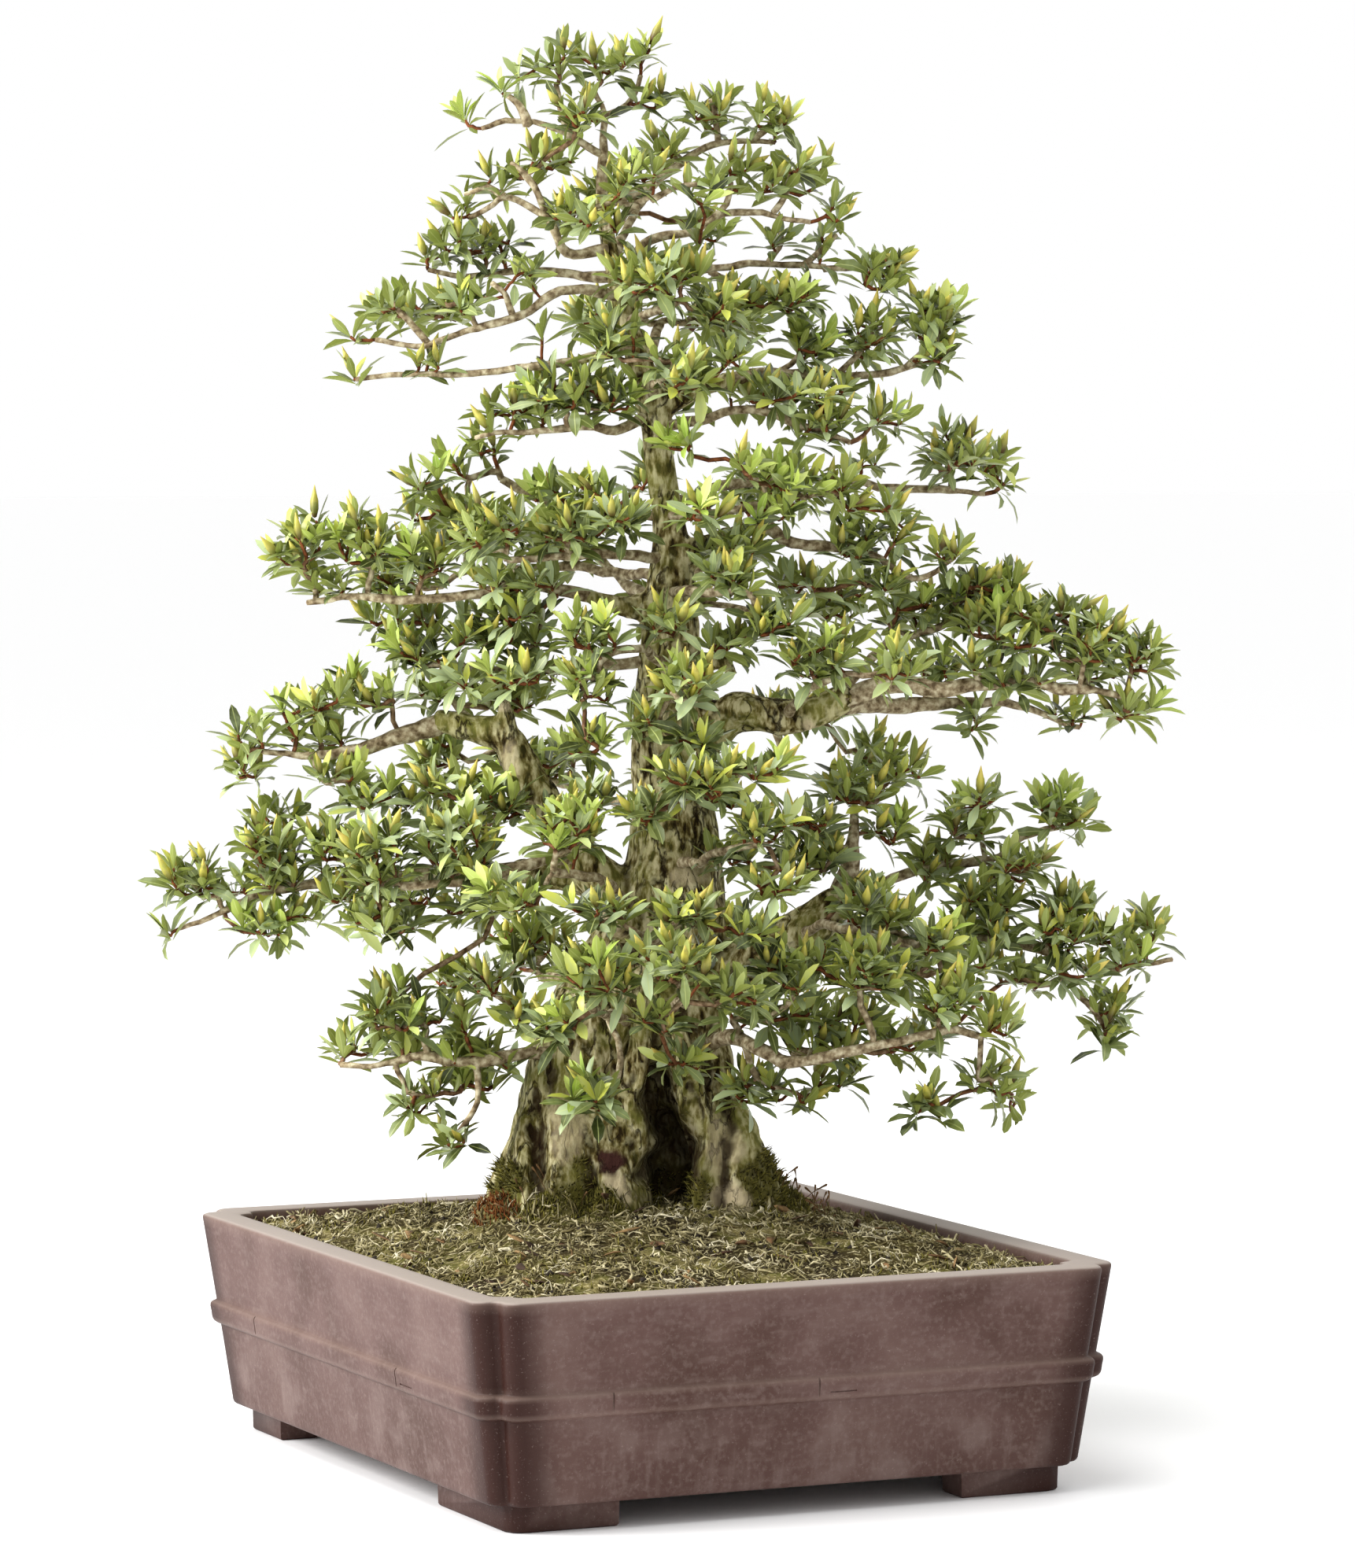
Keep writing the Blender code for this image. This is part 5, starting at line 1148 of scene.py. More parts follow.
@dataclass
class Pot:
    """The stoneware pot: notched corners, flat rim, belt with joints, four angled feet."""

    arc_steps: int = 7
    long_steps: int = 52
    short_steps: int = 46
    wobble: float = 0.5 * MM
    wobble_span: float = 55 * MM
    leg_x: float = 66 * MM
    front_leg_y: float = 103 * MM
    back_leg_y: float = 56 * MM
    foot_inset: float = 11 * MM
    foot_bevel: float = 9 * MM
    foot_thick: float = 24 * MM
    drain_y: float = 105 * MM
    drain_radius: float = 17 * MM
    drain_cut: float = 72 * MM
    belt_middle: float = 72 * MM
    mark_depth: float = 0.9 * MM
    joint_half: float = 0.6 * MM

    def corner(self, half_x: float, half_y: float, notch: float, radius: float) -> Array:
        """Returns one corner: a round lobe, a small hollow fillet and a second lobe.

        Each lobe is a quarter circle of the radius, and the fillet a quarter circle
        turned inward where the two straight runs of the notch meet.
        """
        turn = np.linspace(0, math.pi / 2, self.arc_steps)
        arc = np.stack((np.cos(turn), np.sin(turn)), 1)
        fillet = (notch - radius) * 0.7
        first = (half_x - radius, half_y - notch - radius) + radius * arc
        hollow = (half_x - notch + fillet, half_y - notch + fillet) - fillet * arc[:, ::-1]
        last = (half_x - notch - radius, half_y - radius) + radius * arc
        return np.vstack((first, hollow, last))

    def outline(self, half_x: float, half_y: float, notch: float, radius: float) -> Array:
        """Returns the whole plan, turning left, with points along its straight sides."""
        corner = self.corner(half_x, half_y, notch, radius)
        back = corner[::-1] * (-1, 1)
        share = np.linspace(0, 1, self.short_steps)[1:-1, None]
        half = np.vstack((corner, corner[-1] + (back[0] - corner[-1]) * share, back))
        share = np.linspace(0, 1, self.long_steps)[1:-1, None]
        left = half[-1] + (-half[0] - half[-1]) * share
        return np.vstack((half, left, -half, -left))

    def wall_ring(self, height: float, outward: float) -> Array:
        """Returns the outer wall's ring at a height, pushed outward by a length."""
        down = (POT_HEIGHT - height) / (POT_HEIGHT - FOOT_HEIGHT)
        inset = POT_TAPER * down - outward
        notch = NOTCH_TOP + (NOTCH_FOOT - NOTCH_TOP) * down
        radius = min(LOBE_RADIUS, notch * LOBE_SHARE)
        return raised(self.outline(POT_HALF_X - inset, POT_HALF_Y - inset, notch, radius), height)

    def inner_ring(self, height: float, inset: float) -> Array:
        """Returns the inner wall's ring at a height, inset from the rim's outer edge."""
        halves = (POT_HALF_X - inset, POT_HALF_Y - inset)
        return raised(self.outline(*halves, NOTCH_FOOT, NOTCH_FOOT * LOBE_SHARE), height)

    def inner_inset(self, height: float) -> float:
        """Returns how far the inner wall stands inside the rim's outer edge at a height."""
        down = (POT_HEIGHT - height) / (POT_HEIGHT - FOOT_HEIGHT)
        return RIM_WIDTH + (POT_TAPER + WALL - RIM_WIDTH) * down

    def section(self) -> list[tuple[float, float]]:
        """Returns the outer wall's section: height and how far it stands out, both in mm."""
        base = [(16.0, -2.0), (16.4, -1.0), (17.3, -0.3), (18.6, 0.0)]
        lower = [(float(height), 0.0) for height in np.arange(22, 64, 4)]
        belt = [(64.6, 0.0), (65.0, 0.5), (65.6, 1.7), (66.5, 2.8), (67.8, 3.4), (69.5, 3.6),
                (72.5, 3.5), (75.5, 3.6), (77.2, 3.3), (78.3, 2.5), (79.0, 1.4), (79.5, 0.4),
                (80.2, 0.0)]
        upper = [(float(height), 0.0) for height in np.arange(84, 128, 4)]
        rim = [(129.6, 0.0), (130.7, -0.25), (131.4, -0.8), (131.8, -1.5), (132.0, -2.4)]
        return base + lower + belt + upper + rim

    def body(self) -> Skin:
        """Returns the pot's body: one section carried round the notched plan, in and out."""
        wall = [self.wall_ring(height * MM, outward * MM) for height, outward in self.section()]
        under = [wall[0] * (share, share, 1) for share in (0.04, 0.4, 0.8)]
        lip = [self.inner_ring(POT_HEIGHT, inset * MM) for inset in (8.0, 14.0, 18.2)]
        lip.append(self.inner_ring(POT_HEIGHT - 0.5 * MM, 19.5 * MM))
        lip.append(self.inner_ring(POT_HEIGHT - 1.8 * MM, RIM_WIDTH))
        heights = np.linspace(POT_HEIGHT - 6 * MM, FOOT_HEIGHT + FLOOR_THICK, 14)
        inside = [self.inner_ring(height, self.inner_inset(height)) for height in heights]
        bottom = [inside[-1] * (share, share, 1) for share in (0.8, 0.4, 0.04)]
        skin = Skin()
        skin.add_rings(under + wall + lip + inside + bottom)
        return skin

    def foot(self, side_x: int, side_y: int) -> Skin:
        """Returns one angled foot, its lower edge eased by a small bevel."""
        x = POT_HALF_X - POT_TAPER - self.foot_inset
        y = POT_HALF_Y - POT_TAPER - self.foot_inset
        leg_y = self.front_leg_y if side_y < 0 else self.back_leg_y
        bevel, thick = self.foot_bevel, self.foot_thick
        plan = np.array((
            (x, y - leg_y), (x, y - bevel), (x - bevel * 0.3, y - bevel * 0.3), (x - bevel, y),
            (x - self.leg_x, y), (x - self.leg_x, y - thick), (x - thick, y - thick),
            (x - thick, y - leg_y),
        ))
        inward = np.sign((x - thick * 0.5, y - thick * 0.5) - plan)
        rings = []
        for height, inset in ((0.0, 1.6), (0.5, 0.7), (1.6, 0.0), (FOOT_HEIGHT / MM + 3, -0.4)):
            ring = raised((plan + inward * inset * MM) * (side_x, side_y), height * MM)
            rings.append(ring[::-1] if side_x * side_y < 0 else ring)
        skin = Skin()
        skin.add_rings(rings)
        return skin

    def cutter(self, shape: str, middle: Vector, scale: tuple = (1, 1, 1), **sizes: float) -> Thing:
        """Returns a loose primitive round a place, to cut with."""
        work = bmesh.new()
        place = Matrix.Translation(middle + Vector(ROW_SHIFT)) @ Matrix.Diagonal((*scale, 1))
        getattr(bmesh.ops, shape)(work, matrix=place, **sizes)
        mesh = bpy.data.meshes.new("cutter")
        work.to_mesh(mesh)
        work.free()
        return shown("cutter", mesh)

    def drain(self, side: int) -> Thing:
        """Returns the round cutter of one drain hole."""
        sizes = {"radius1": self.drain_radius, "radius2": self.drain_radius}
        middle = Vector((0, side * self.drain_y, FOOT_HEIGHT))
        return self.cutter("create_cone", middle, cap_ends=True, segments=40,
                           depth=self.drain_cut, **sizes)

    def marks(self) -> list[Thing]:
        """Returns the cutters of the belt's joint lines and of the short dashes beside them."""
        inset = POT_TAPER * (POT_HEIGHT - self.belt_middle) / (POT_HEIGHT - FOOT_HEIGHT)
        walls = ((POT_HALF_Y, (-120 * MM, 6 * MM), (13 * MM, 29.5 * MM), (0, 1, 2)),
                 (POT_HALF_X, (-92 * MM, 133 * MM), (-116 * MM, -98 * MM), (1, 0, 2)))
        deep, half = self.mark_depth, self.joint_half
        tools = []
        for side in (-1, 1):
            for reach, joints, dash, order in walls:
                face = reach - inset + BELT_RAISE
                near, far = sorted((side * (face - deep), side * (face + deep)))
                spans = [(at - half, at + half, 66 * MM, 78.6 * MM) for at in joints]
                for start, end, foot, top in (*spans, (*dash, 70.0 * MM, 70.8 * MM)):
                    low = Vector([(start, near, foot)[axis] for axis in order])
                    high = Vector([(end, far, top)[axis] for axis in order])
                    size = (*(high - low),)
                    tools.append(self.cutter("create_cube", (low + high) / 2, size, size=1.0))
        return tools

    def age(self, mesh: Mesh) -> None:
        """Eases the walls out of true, marks worn and limed places, and paints shade.

        The wobble is a slow noise that only ever draws a point inwards.
        """
        halves = np.array((POT_HALF_X, POT_HALF_Y))
        points = read(mesh.vertices, "co", 3) - ROW_SHIFT
        slow = 0.5 + 0.5 * noise(points, self.wobble_span, 3)
        points -= unit(raised(points[:, :2] / halves, 0.0)) * (slow * self.wobble)[:, None]
        move_points(mesh, points)
        height = points[:, 2] / MM
        slope = POT_TAPER * (POT_HEIGHT - points[:, 2]) / (POT_HEIGHT - FOOT_HEIGHT)
        near = (halves - np.abs(points[:, :2])).max(axis=1) - slope
        # Painted shade in the notched corners, over a real dark stain there
        hollow = 1 - smoothstep(near, 20 * MM, 42 * MM)
        top = smoothstep(read(mesh.vertices, "normal", 3)[:, 2], 0.5, 0.9) * (height > 130)
        ledges = ((78.5, 1.4, 1.0), (67, 1.2, 0.6), (131, 1.6, 1.0))
        worn = sum(share * np.exp(-((height - at) / wide) ** 2) for at, wide, share in ledges)
        # The corner value is painted shade: the notched corners, and below 15.5 mm a painted shadow on
        # the feet
        set_values(mesh, top=top, low=1 - smoothstep(height, 30, 78) * 0.75,
                   corner=np.maximum(hollow, 0.35 * (height < 15.5)) * (1 - top),
                   worn=np.clip(worn, 0, 1) * (1 - top))

    def build(self) -> Thing:
        """Builds the pot and stands it in for its node."""
        finish = FiredStoneware().make()
        pot = self.body().make("pot_body", [finish])
        feet = [self.foot(x, y).make("foot", [finish]) for x in (-1, 1) for y in (-1, 1)]
        boolean(pot, feet, "UNION")
        boolean(pot, self.marks() + [self.drain(-1), self.drain(1)], "DIFFERENCE")
        self.age(pot.data)
        pot.data.shade_smooth()
        pot.data.set_sharp_from_angle(angle=math.radians(40))
        return mounted(pot, "pot")


def many_tubes(paths: Array, radii: Array, sides: int) -> tuple[Array, list[Array]]:
    """Builds thin tubes of equal point counts all at once, each end closed to a point.

    Each ring is the path's point plus its radius times the ring's spokes, which come
    from one fixed direction for each tube.

    Args:
        paths: an array of shape (tubes, stations, 3).
        radii: an array of shape (tubes, stations).
        sides: points round each tube.

    Returns:
        All points, and the quads and end triangles.
    """
    count, stations, _ = paths.shape
    way = unit(np.gradient(paths, axis=1))
    chord = unit(paths[:, -1] - paths[:, 0])
    ring = spokes(*crossed(way, chord[:, None]), sides)
    wall = paths[:, :, None] + ring * radii[:, :, None, None]
    foot = paths[:, 0] - way[:, 0] * radii[:, :1] * 0.5
    tip = paths[:, -1] + way[:, -1] * radii[:, -1:]
    points = np.concatenate((wall.reshape(count, -1, 3), foot[:, None], tip[:, None]), axis=1)
    return repeated(points, [grid_quads(stations, sides), end_fans(stations, sides)])


def many_spikes(feet: Array, ways: Array, lengths: Array,
                radii: Array) -> tuple[Array, list[Array]]:
    """Builds three-sided spikes: a triangle round each foot, drawn to a point along its way."""
    base = feet[:, None] + spokes(*crossed(ways, ways), 3) * radii[:, None, None]
    tips = feet + ways * lengths[:, None]
    points = np.concatenate((base, tips[:, None]), axis=1)
    return repeated(points, [np.array(((0, 1, 3), (1, 2, 3), (2, 0, 3), (2, 1, 0)))])


def repeated(points: Array, faces: list[Array]) -> tuple[Array, list[Array]]:
    """Returns many equal shells as one: their points, and the first one's faces for each."""
    start = np.arange(len(points))[:, None, None] * points.shape[1]
    shifted = [(rows[None] + start).reshape(-1, rows.shape[1]) for rows in faces]
    return points.reshape(-1, 3), shifted


@dataclass
class Ground:
    """The soil, its mat of moss and sphagnum, and what lies and grows on it."""

    pot: Pot
    strands: int = 4000
    strand_steps: int = 5
    tufts: int = 5600
    cushion_tufts: int = 620
    root_tufts: int = 4200
    scraps: int = 130
    grit: int = 500
    stalks: int = 46
    right_stalks: int = 30
    wall_margin: float = 26 * MM

    def share(self, spots: Array) -> Array:
        """Returns how far plan spots lie on the way from the mound's centre to the wall."""
        edge = np.array((POT_HALF_X, POT_HALF_Y)) - self.pot.inner_inset(SOIL_EDGE) - GAP
        offset = spots - MOUND_CENTRE
        limit = np.where(offset > 0, edge - MOUND_CENTRE, edge + MOUND_CENTRE)
        return np.max(np.abs(offset) / limit, axis=-1)

    def height(self, spots: Array) -> Array:
        """Returns the mat's height at plan spots: the mound, slow humps and small lumps."""
        share = np.clip(self.share(spots), 0, 1)
        rise = SOIL_RISE * (1 - share ** MOUND_CURVE)
        flat = raised(spots, 0.0)
        humps = noise(flat, 30 * MM, 5) * 1.6 * MM + noise(flat, 12 * MM, 6) * 1.7 * MM
        humps += noise(flat, 5 * MM, 7) * 0.9 * MM
        ease = 1 - smoothstep(share, 0.9, 1.0) * 0.8
        lift = np.zeros(len(spots))
        for *row, radius, tall in CUSHIONS:
            away = np.linalg.norm(spots - placed([row])[0, :2], axis=1) / (radius * STEP)
            lift = np.maximum(lift, tall * MM * np.sqrt(np.clip(1 - away ** 2, 0, 1)))
        return SOIL_EDGE + GAP + COVER_THICK + rise + humps * ease + lift

    def mat_rings(self, shares: Array) -> Array:
        """Returns the plan rings of the mat, each drawn in towards the mound's centre."""
        ring = self.pot.inner_ring(SOIL_EDGE, self.pot.inner_inset(SOIL_EDGE) + GAP)[:, :2]
        return MOUND_CENTRE + (ring[None] - MOUND_CENTRE) * shares[:, None, None]

    def soil(self) -> Thing:
        """Builds the block of soil under the mat."""
        levels = np.linspace(FOOT_HEIGHT + FLOOR_THICK + 2.4 * MM, SOIL_EDGE - 0.5 * MM, 8)
        rings = [self.pot.inner_ring(level, self.pot.inner_inset(level) + GAP) for level in levels]
        for plan in self.mat_rings(np.array((0.9, 0.7, 0.4, 0.1))):
            rings.append(raised(plan, self.height(plan) - COVER_THICK - 3 * MM))
        skin = Skin()
        skin.add_rings(rings, 0.1)
        return mounted(skin.make("soil_block", [POTTING_SOIL.make()]), "soil")

    def mat(self) -> Thing:
        """Builds the mat's closed, lumpy sheet over the soil."""
        shares = np.concatenate((np.linspace(0.03, 0.98, 52), (1.0,)))
        upper = [raised(plan, self.height(plan)) for plan in self.mat_rings(shares)]
        rings = [*upper, *[ring - (0, 0, 7 * MM) for ring in upper[::-4]]]
        flat = np.vstack(rings) * (1, 1, 0)
        tint = np.clip(0.5 + 0.8 * noise(flat, 26 * MM, 9) + 0.3 * noise(flat, 7 * MM, 4), 0, 1)
        skin = Skin()
        skin.add_rings(rings, tint, flip=True)
        return mounted(skin.make("moss_mat", [MOSS_AND_PEAT.make()]), "moss_cover")

    def spots(self, draw: np.random.Generator, count: int, reach: float = 0.97) -> Array:
        """Returns random plan spots on the mat."""
        edge = np.array((POT_HALF_X, POT_HALF_Y)) - self.wall_margin
        spots = draw.uniform(-1, 1, (count * 2, 2)) * edge
        return spots[self.share(spots) < reach][:count]

    def sphagnum(self) -> Thing:
        """Builds the shredded sphagnum: short strands that curl and lie over each other.

        Each strand walks on from its spot at a heading that drifts by a steady curl,
        and rises over the mat in a low arch.
        """
        draw = np.random.default_rng(SEED)
        spots = self.spots(draw, self.strands)
        steps = self.strand_steps
        count = len(spots)
        grid = (count, steps)
        length = draw.gamma(5, 2.2, count) * MM
        curl = draw.normal(0, 0.8, (count, 1)) + draw.normal(0, 0.75, grid)
        heading = draw.uniform(0, 2 * math.pi, count)
        along = np.arange(steps) - (steps - 1) / 2
        angle = heading[:, None] + np.cumsum(curl, axis=1)
        walk = np.stack((np.cos(angle), np.sin(angle)), axis=-1)
        walk = walk * (length / (steps - 1))[:, None, None]
        plan = spots[:, None] + np.cumsum(walk, axis=1) - walk.sum(axis=1, keepdims=True) / 2
        level = self.height(plan.reshape(-1, 2)).reshape(grid)
        arch = draw.uniform(-0.4, 3.4, (count, 1)) * MM + draw.normal(0, 1.2, grid) * MM
        ease = np.clip(along / along.max(), 0, 1) ** 2
        tip = draw.uniform(-0.3, 1.0, (count, 1)) ** 3 * 5 * MM * ease
        inside = (self.share(plan.reshape(-1, 2)).reshape(grid) < 0.99).all(axis=1)
        swell = draw.uniform(0.5, 1.4, grid) * (1 - 0.5 * np.abs(along) / along.max())
        radii = draw.uniform(0.4, 1.05, (count, 1)) * swell * MM
        points, faces = many_tubes(np.dstack((plan, level + arch + tip))[inside], radii[inside], 3)
        patch = noise(raised(spots, 0.0), 34 * MM, 12)[inside]
        tint = np.clip(draw.beta(1.6, 1.5, len(patch)) + 0.25 * patch, 0, 1)
        skin = Skin()
        skin.add(points, faces, 0, np.repeat(tint, len(points) // len(patch)))
        return mounted(skin.make("sphagnum_strands", [Litter().make()]))

    def tuft_feet(self, draw: np.random.Generator) -> tuple[Array, Array]:
        """Returns the feet of moss shoots on the mat, thick on the cushions, and their tints.

        The leftmost cushion is the rusty one.
        """
        loose = self.spots(draw, self.tufts)
        patch = noise(raised(loose, 0.0), 22 * MM, 20)
        groups = [loose[patch > draw.uniform(-0.1, 0.9, len(loose))]]
        tints = [draw.uniform(0.2, 1.0, len(groups[0]))]
        count = self.cushion_tufts
        leftmost = min(CUSHIONS)
        for cushion in CUSHIONS:
            turn = draw.uniform(0, 2 * math.pi, count)
            reach = np.sqrt(draw.uniform(0, 1, count)) * cushion[3] * STEP * 1.15
            ring = np.stack((np.cos(turn), np.sin(turn)), 1) * reach[:, None]
            groups.append(placed([cushion[:3]])[0, :2] + ring)
            low, high = (-0.9, -0.4) if cushion is leftmost else (0.0, 0.8)
            tints.append(draw.uniform(low, high, count))
        feet = np.vstack(groups)
        return raised(feet, self.height(feet)), np.concatenate(tints)

    def moss(self, bark: Array, ways: Array) -> Thing:
        """Builds the moss shoots on the mat and up the lower roots.

        Args:
            bark: places on the roots where moss grows.
            ways: the bark's outward directions there.
        """
        draw = np.random.default_rng(SEED + 1)
        feet, tints = self.tuft_feet(draw)
        lean = draw.normal(0, 0.35, (len(feet), 3)) + (0, 0, 1)
        pick = draw.permutation(len(bark))[:self.root_tufts]
        rise = ways[pick] + (0, 0, 0.5) + draw.normal(0, 0.4, (len(pick), 3))
        tall = (draw.uniform(2.5, 6.5, len(feet)), draw.uniform(3.0, 8.0, len(pick)))
        tall = np.concatenate(tall) * MM
        radii = draw.uniform(0.45, 0.85, len(tall)) * MM
        points, faces = many_spikes(
            np.vstack((feet, bark[pick])), unit(np.vstack((lean, rise))), tall, radii)
        tint = np.concatenate((tints, draw.uniform(0.0, 0.8, len(pick))))
        skin = Skin()
        skin.add(points, faces, 0, np.repeat(np.clip(tint * 0.5 + 0.5, 0, 1), 4))
        return mounted(skin.make("moss_tufts", [MOSS_SHOOTS.make()]))

    def stalk_paths(self, draw: np.random.Generator) -> Array:
        """Returns the bent paths of the thin moss fruit stalks, most by the right root."""
        right, left = self.right_stalks, self.stalks - self.right_stalks
        across = np.concatenate((draw.uniform(985, 1055, right), draw.uniform(640, 760, left)))
        depth = np.concatenate((draw.uniform(-10, 30, right), draw.uniform(-50, -20, left)))
        feet = placed(np.column_stack((across, np.full(self.stalks, 1535.0), depth)))
        feet[:, 2] = self.height(feet[:, :2])
        lean = unit(draw.normal(0, 0.3, (self.stalks, 3)) + (0, 0, 1))
        tall = draw.uniform(11, 22, self.stalks) * MM
        share = np.linspace(0, 1, 5)[None, :, None]
        nod = draw.normal(0, 0.25, (self.stalks, 1, 3)) * (1, 1, 0.2) - (0, 0, 0.12)
        return feet[:, None] + (lean[:, None] * share + nod * share ** 3) * tall[:, None, None]

    def litter(self) -> Thing:
        """Builds fallen leaves, dark grit and the thin moss fruit stalks."""
        draw = np.random.default_rng(SEED + 2)
        skin = Skin()
        spots = self.spots(draw, self.scraps)
        count = len(spots)
        heading = draw.uniform(0, 2 * math.pi, count)
        blades = Blades(
            foot=raised(spots, self.height(spots) + 1.5 * MM),
            out=np.stack((np.cos(heading), np.sin(heading), np.zeros(count)), 1),
            up=unit(draw.normal(0, 0.25, (count, 3)) + (0, 0, 1)),
            length=draw.uniform(9, 19, count) * MM, width=draw.uniform(4, 7, count) * MM,
            lift=draw.uniform(-0.1, 0.5, count), bend=draw.uniform(-0.6, 1.2, count),
            fold=draw.uniform(0.1, 0.7, count), roll=draw.normal(0, 0.4, count),
            tint=draw.uniform(0.1, 1, count))
        skin.add(*blades.shells(), 0, np.repeat(blades.tint, BLADE_POINTS))
        spots = self.spots(draw, self.grit)
        ways = unit(draw.normal(0, 1, (len(spots), 3)))
        size = draw.uniform(1.0, 2.6, len(spots)) * MM
        run = np.linspace(-0.6, 0.6, 3)[None, :, None] * size[:, None, None]
        paths = raised(spots, self.height(spots))[:, None] + ways[:, None] * run
        skin.add(*many_tubes(paths, size[:, None] * (0.6, 0.9, 0.5), 4), 0, 0.0)
        paths = self.stalk_paths(draw)
        radii = np.broadcast_to(np.array((0.3, 0.28, 0.26, 0.3, 0.9)) * MM, paths.shape[:2])
        skin.add(*many_tubes(paths, radii, 3), 0, 0.55)
        return mounted(skin.make("fallen_litter", [DEAD_LEAVES.make()]))


@dataclass
class Blades:
    """A set of leaf blades, each value an array with one entry for each blade."""

    foot: Array
    out: Array
    up: Array
    length: Array
    width: Array
    lift: Array
    bend: Array
    fold: Array
    roll: Array
    tint: Array

    STATIONS = (0.24, 0.57, 0.84)
    WIDTHS = (0.50, 1.0, 0.66)
    THICK = 0.45 * MM

    def midrib(self, share: float) -> tuple[Array, Array, Array]:
        """Returns the midrib's place, way and upper normal at a share of the length.

        The midrib leaves at the lift angle and turns down evenly by the bend, so its
        place is the integral of the cosine along out and of the sine along up.
        """
        bend = np.where(np.abs(self.bend) < 0.02, 0.02, self.bend)
        angle = self.lift - bend * share
        run = (np.sin(self.lift) - np.sin(angle)) / bend * self.length
        rise = (np.cos(angle) - np.cos(self.lift)) / bend * self.length
        place = self.foot + self.out * run[:, None] + self.up * rise[:, None]
        level, steep = np.cos(angle)[:, None], np.sin(angle)[:, None]
        return place, self.out * level + self.up * steep, self.up * level - self.out * steep

    def shells(self) -> tuple[Array, list[Array]]:
        """Builds every blade as a closed lens that narrows to a point at both ends.

        At each station a blade has a left edge, an upper middle, a right edge and a lower
        middle. The edges stand to the side by the half width, raised by the fold.

        Returns:
            All points, and the quads and end triangles.
        """
        columns = []
        for share, spread in zip(self.STATIONS, self.WIDTHS):
            place, way, normal = self.midrib(share)
            side = np.cross(normal, way)
            turned = side * np.cos(self.roll)[:, None] + normal * np.sin(self.roll)[:, None]
            normal = np.cross(way, turned)
            half = (self.width / 2 * spread)[:, None]
            edge = turned * half * np.cos(self.fold)[:, None]
            fold = normal * half * np.sin(self.fold)[:, None]
            thick = normal * self.THICK / 2
            columns += [place + edge + fold, place + thick, place - edge + fold, place - thick]
        columns += [self.midrib(0.0)[0], self.midrib(1.0)[0]]
        rows = len(self.STATIONS)
        return repeated(np.stack(columns, axis=1), [grid_quads(rows, 4), end_fans(rows, 4)])

    def corner_uvs(self) -> list[Array]:
        """Returns one blade's UVs: across from zero to one, along halved, plus a half above."""
        rows = len(self.STATIONS)
        shares = np.append(np.repeat(self.STATIONS, 4), (0.0, 1.0))
        across = np.append(np.tile((0.0, 0.5, 1.0, 0.5), rows), (0.5, 0.5))
        flat = []
        for faces in (grid_quads(rows, 4), end_fans(rows, 4)):
            uv = np.stack((across[faces], shares[faces] * 0.49), axis=-1)
            uv[..., 1] += np.tile((0.5, 0.5, 0.0, 0.0), len(faces) // 4)[:, None]
            flat.append(uv.reshape(-1, 2))
        return flat


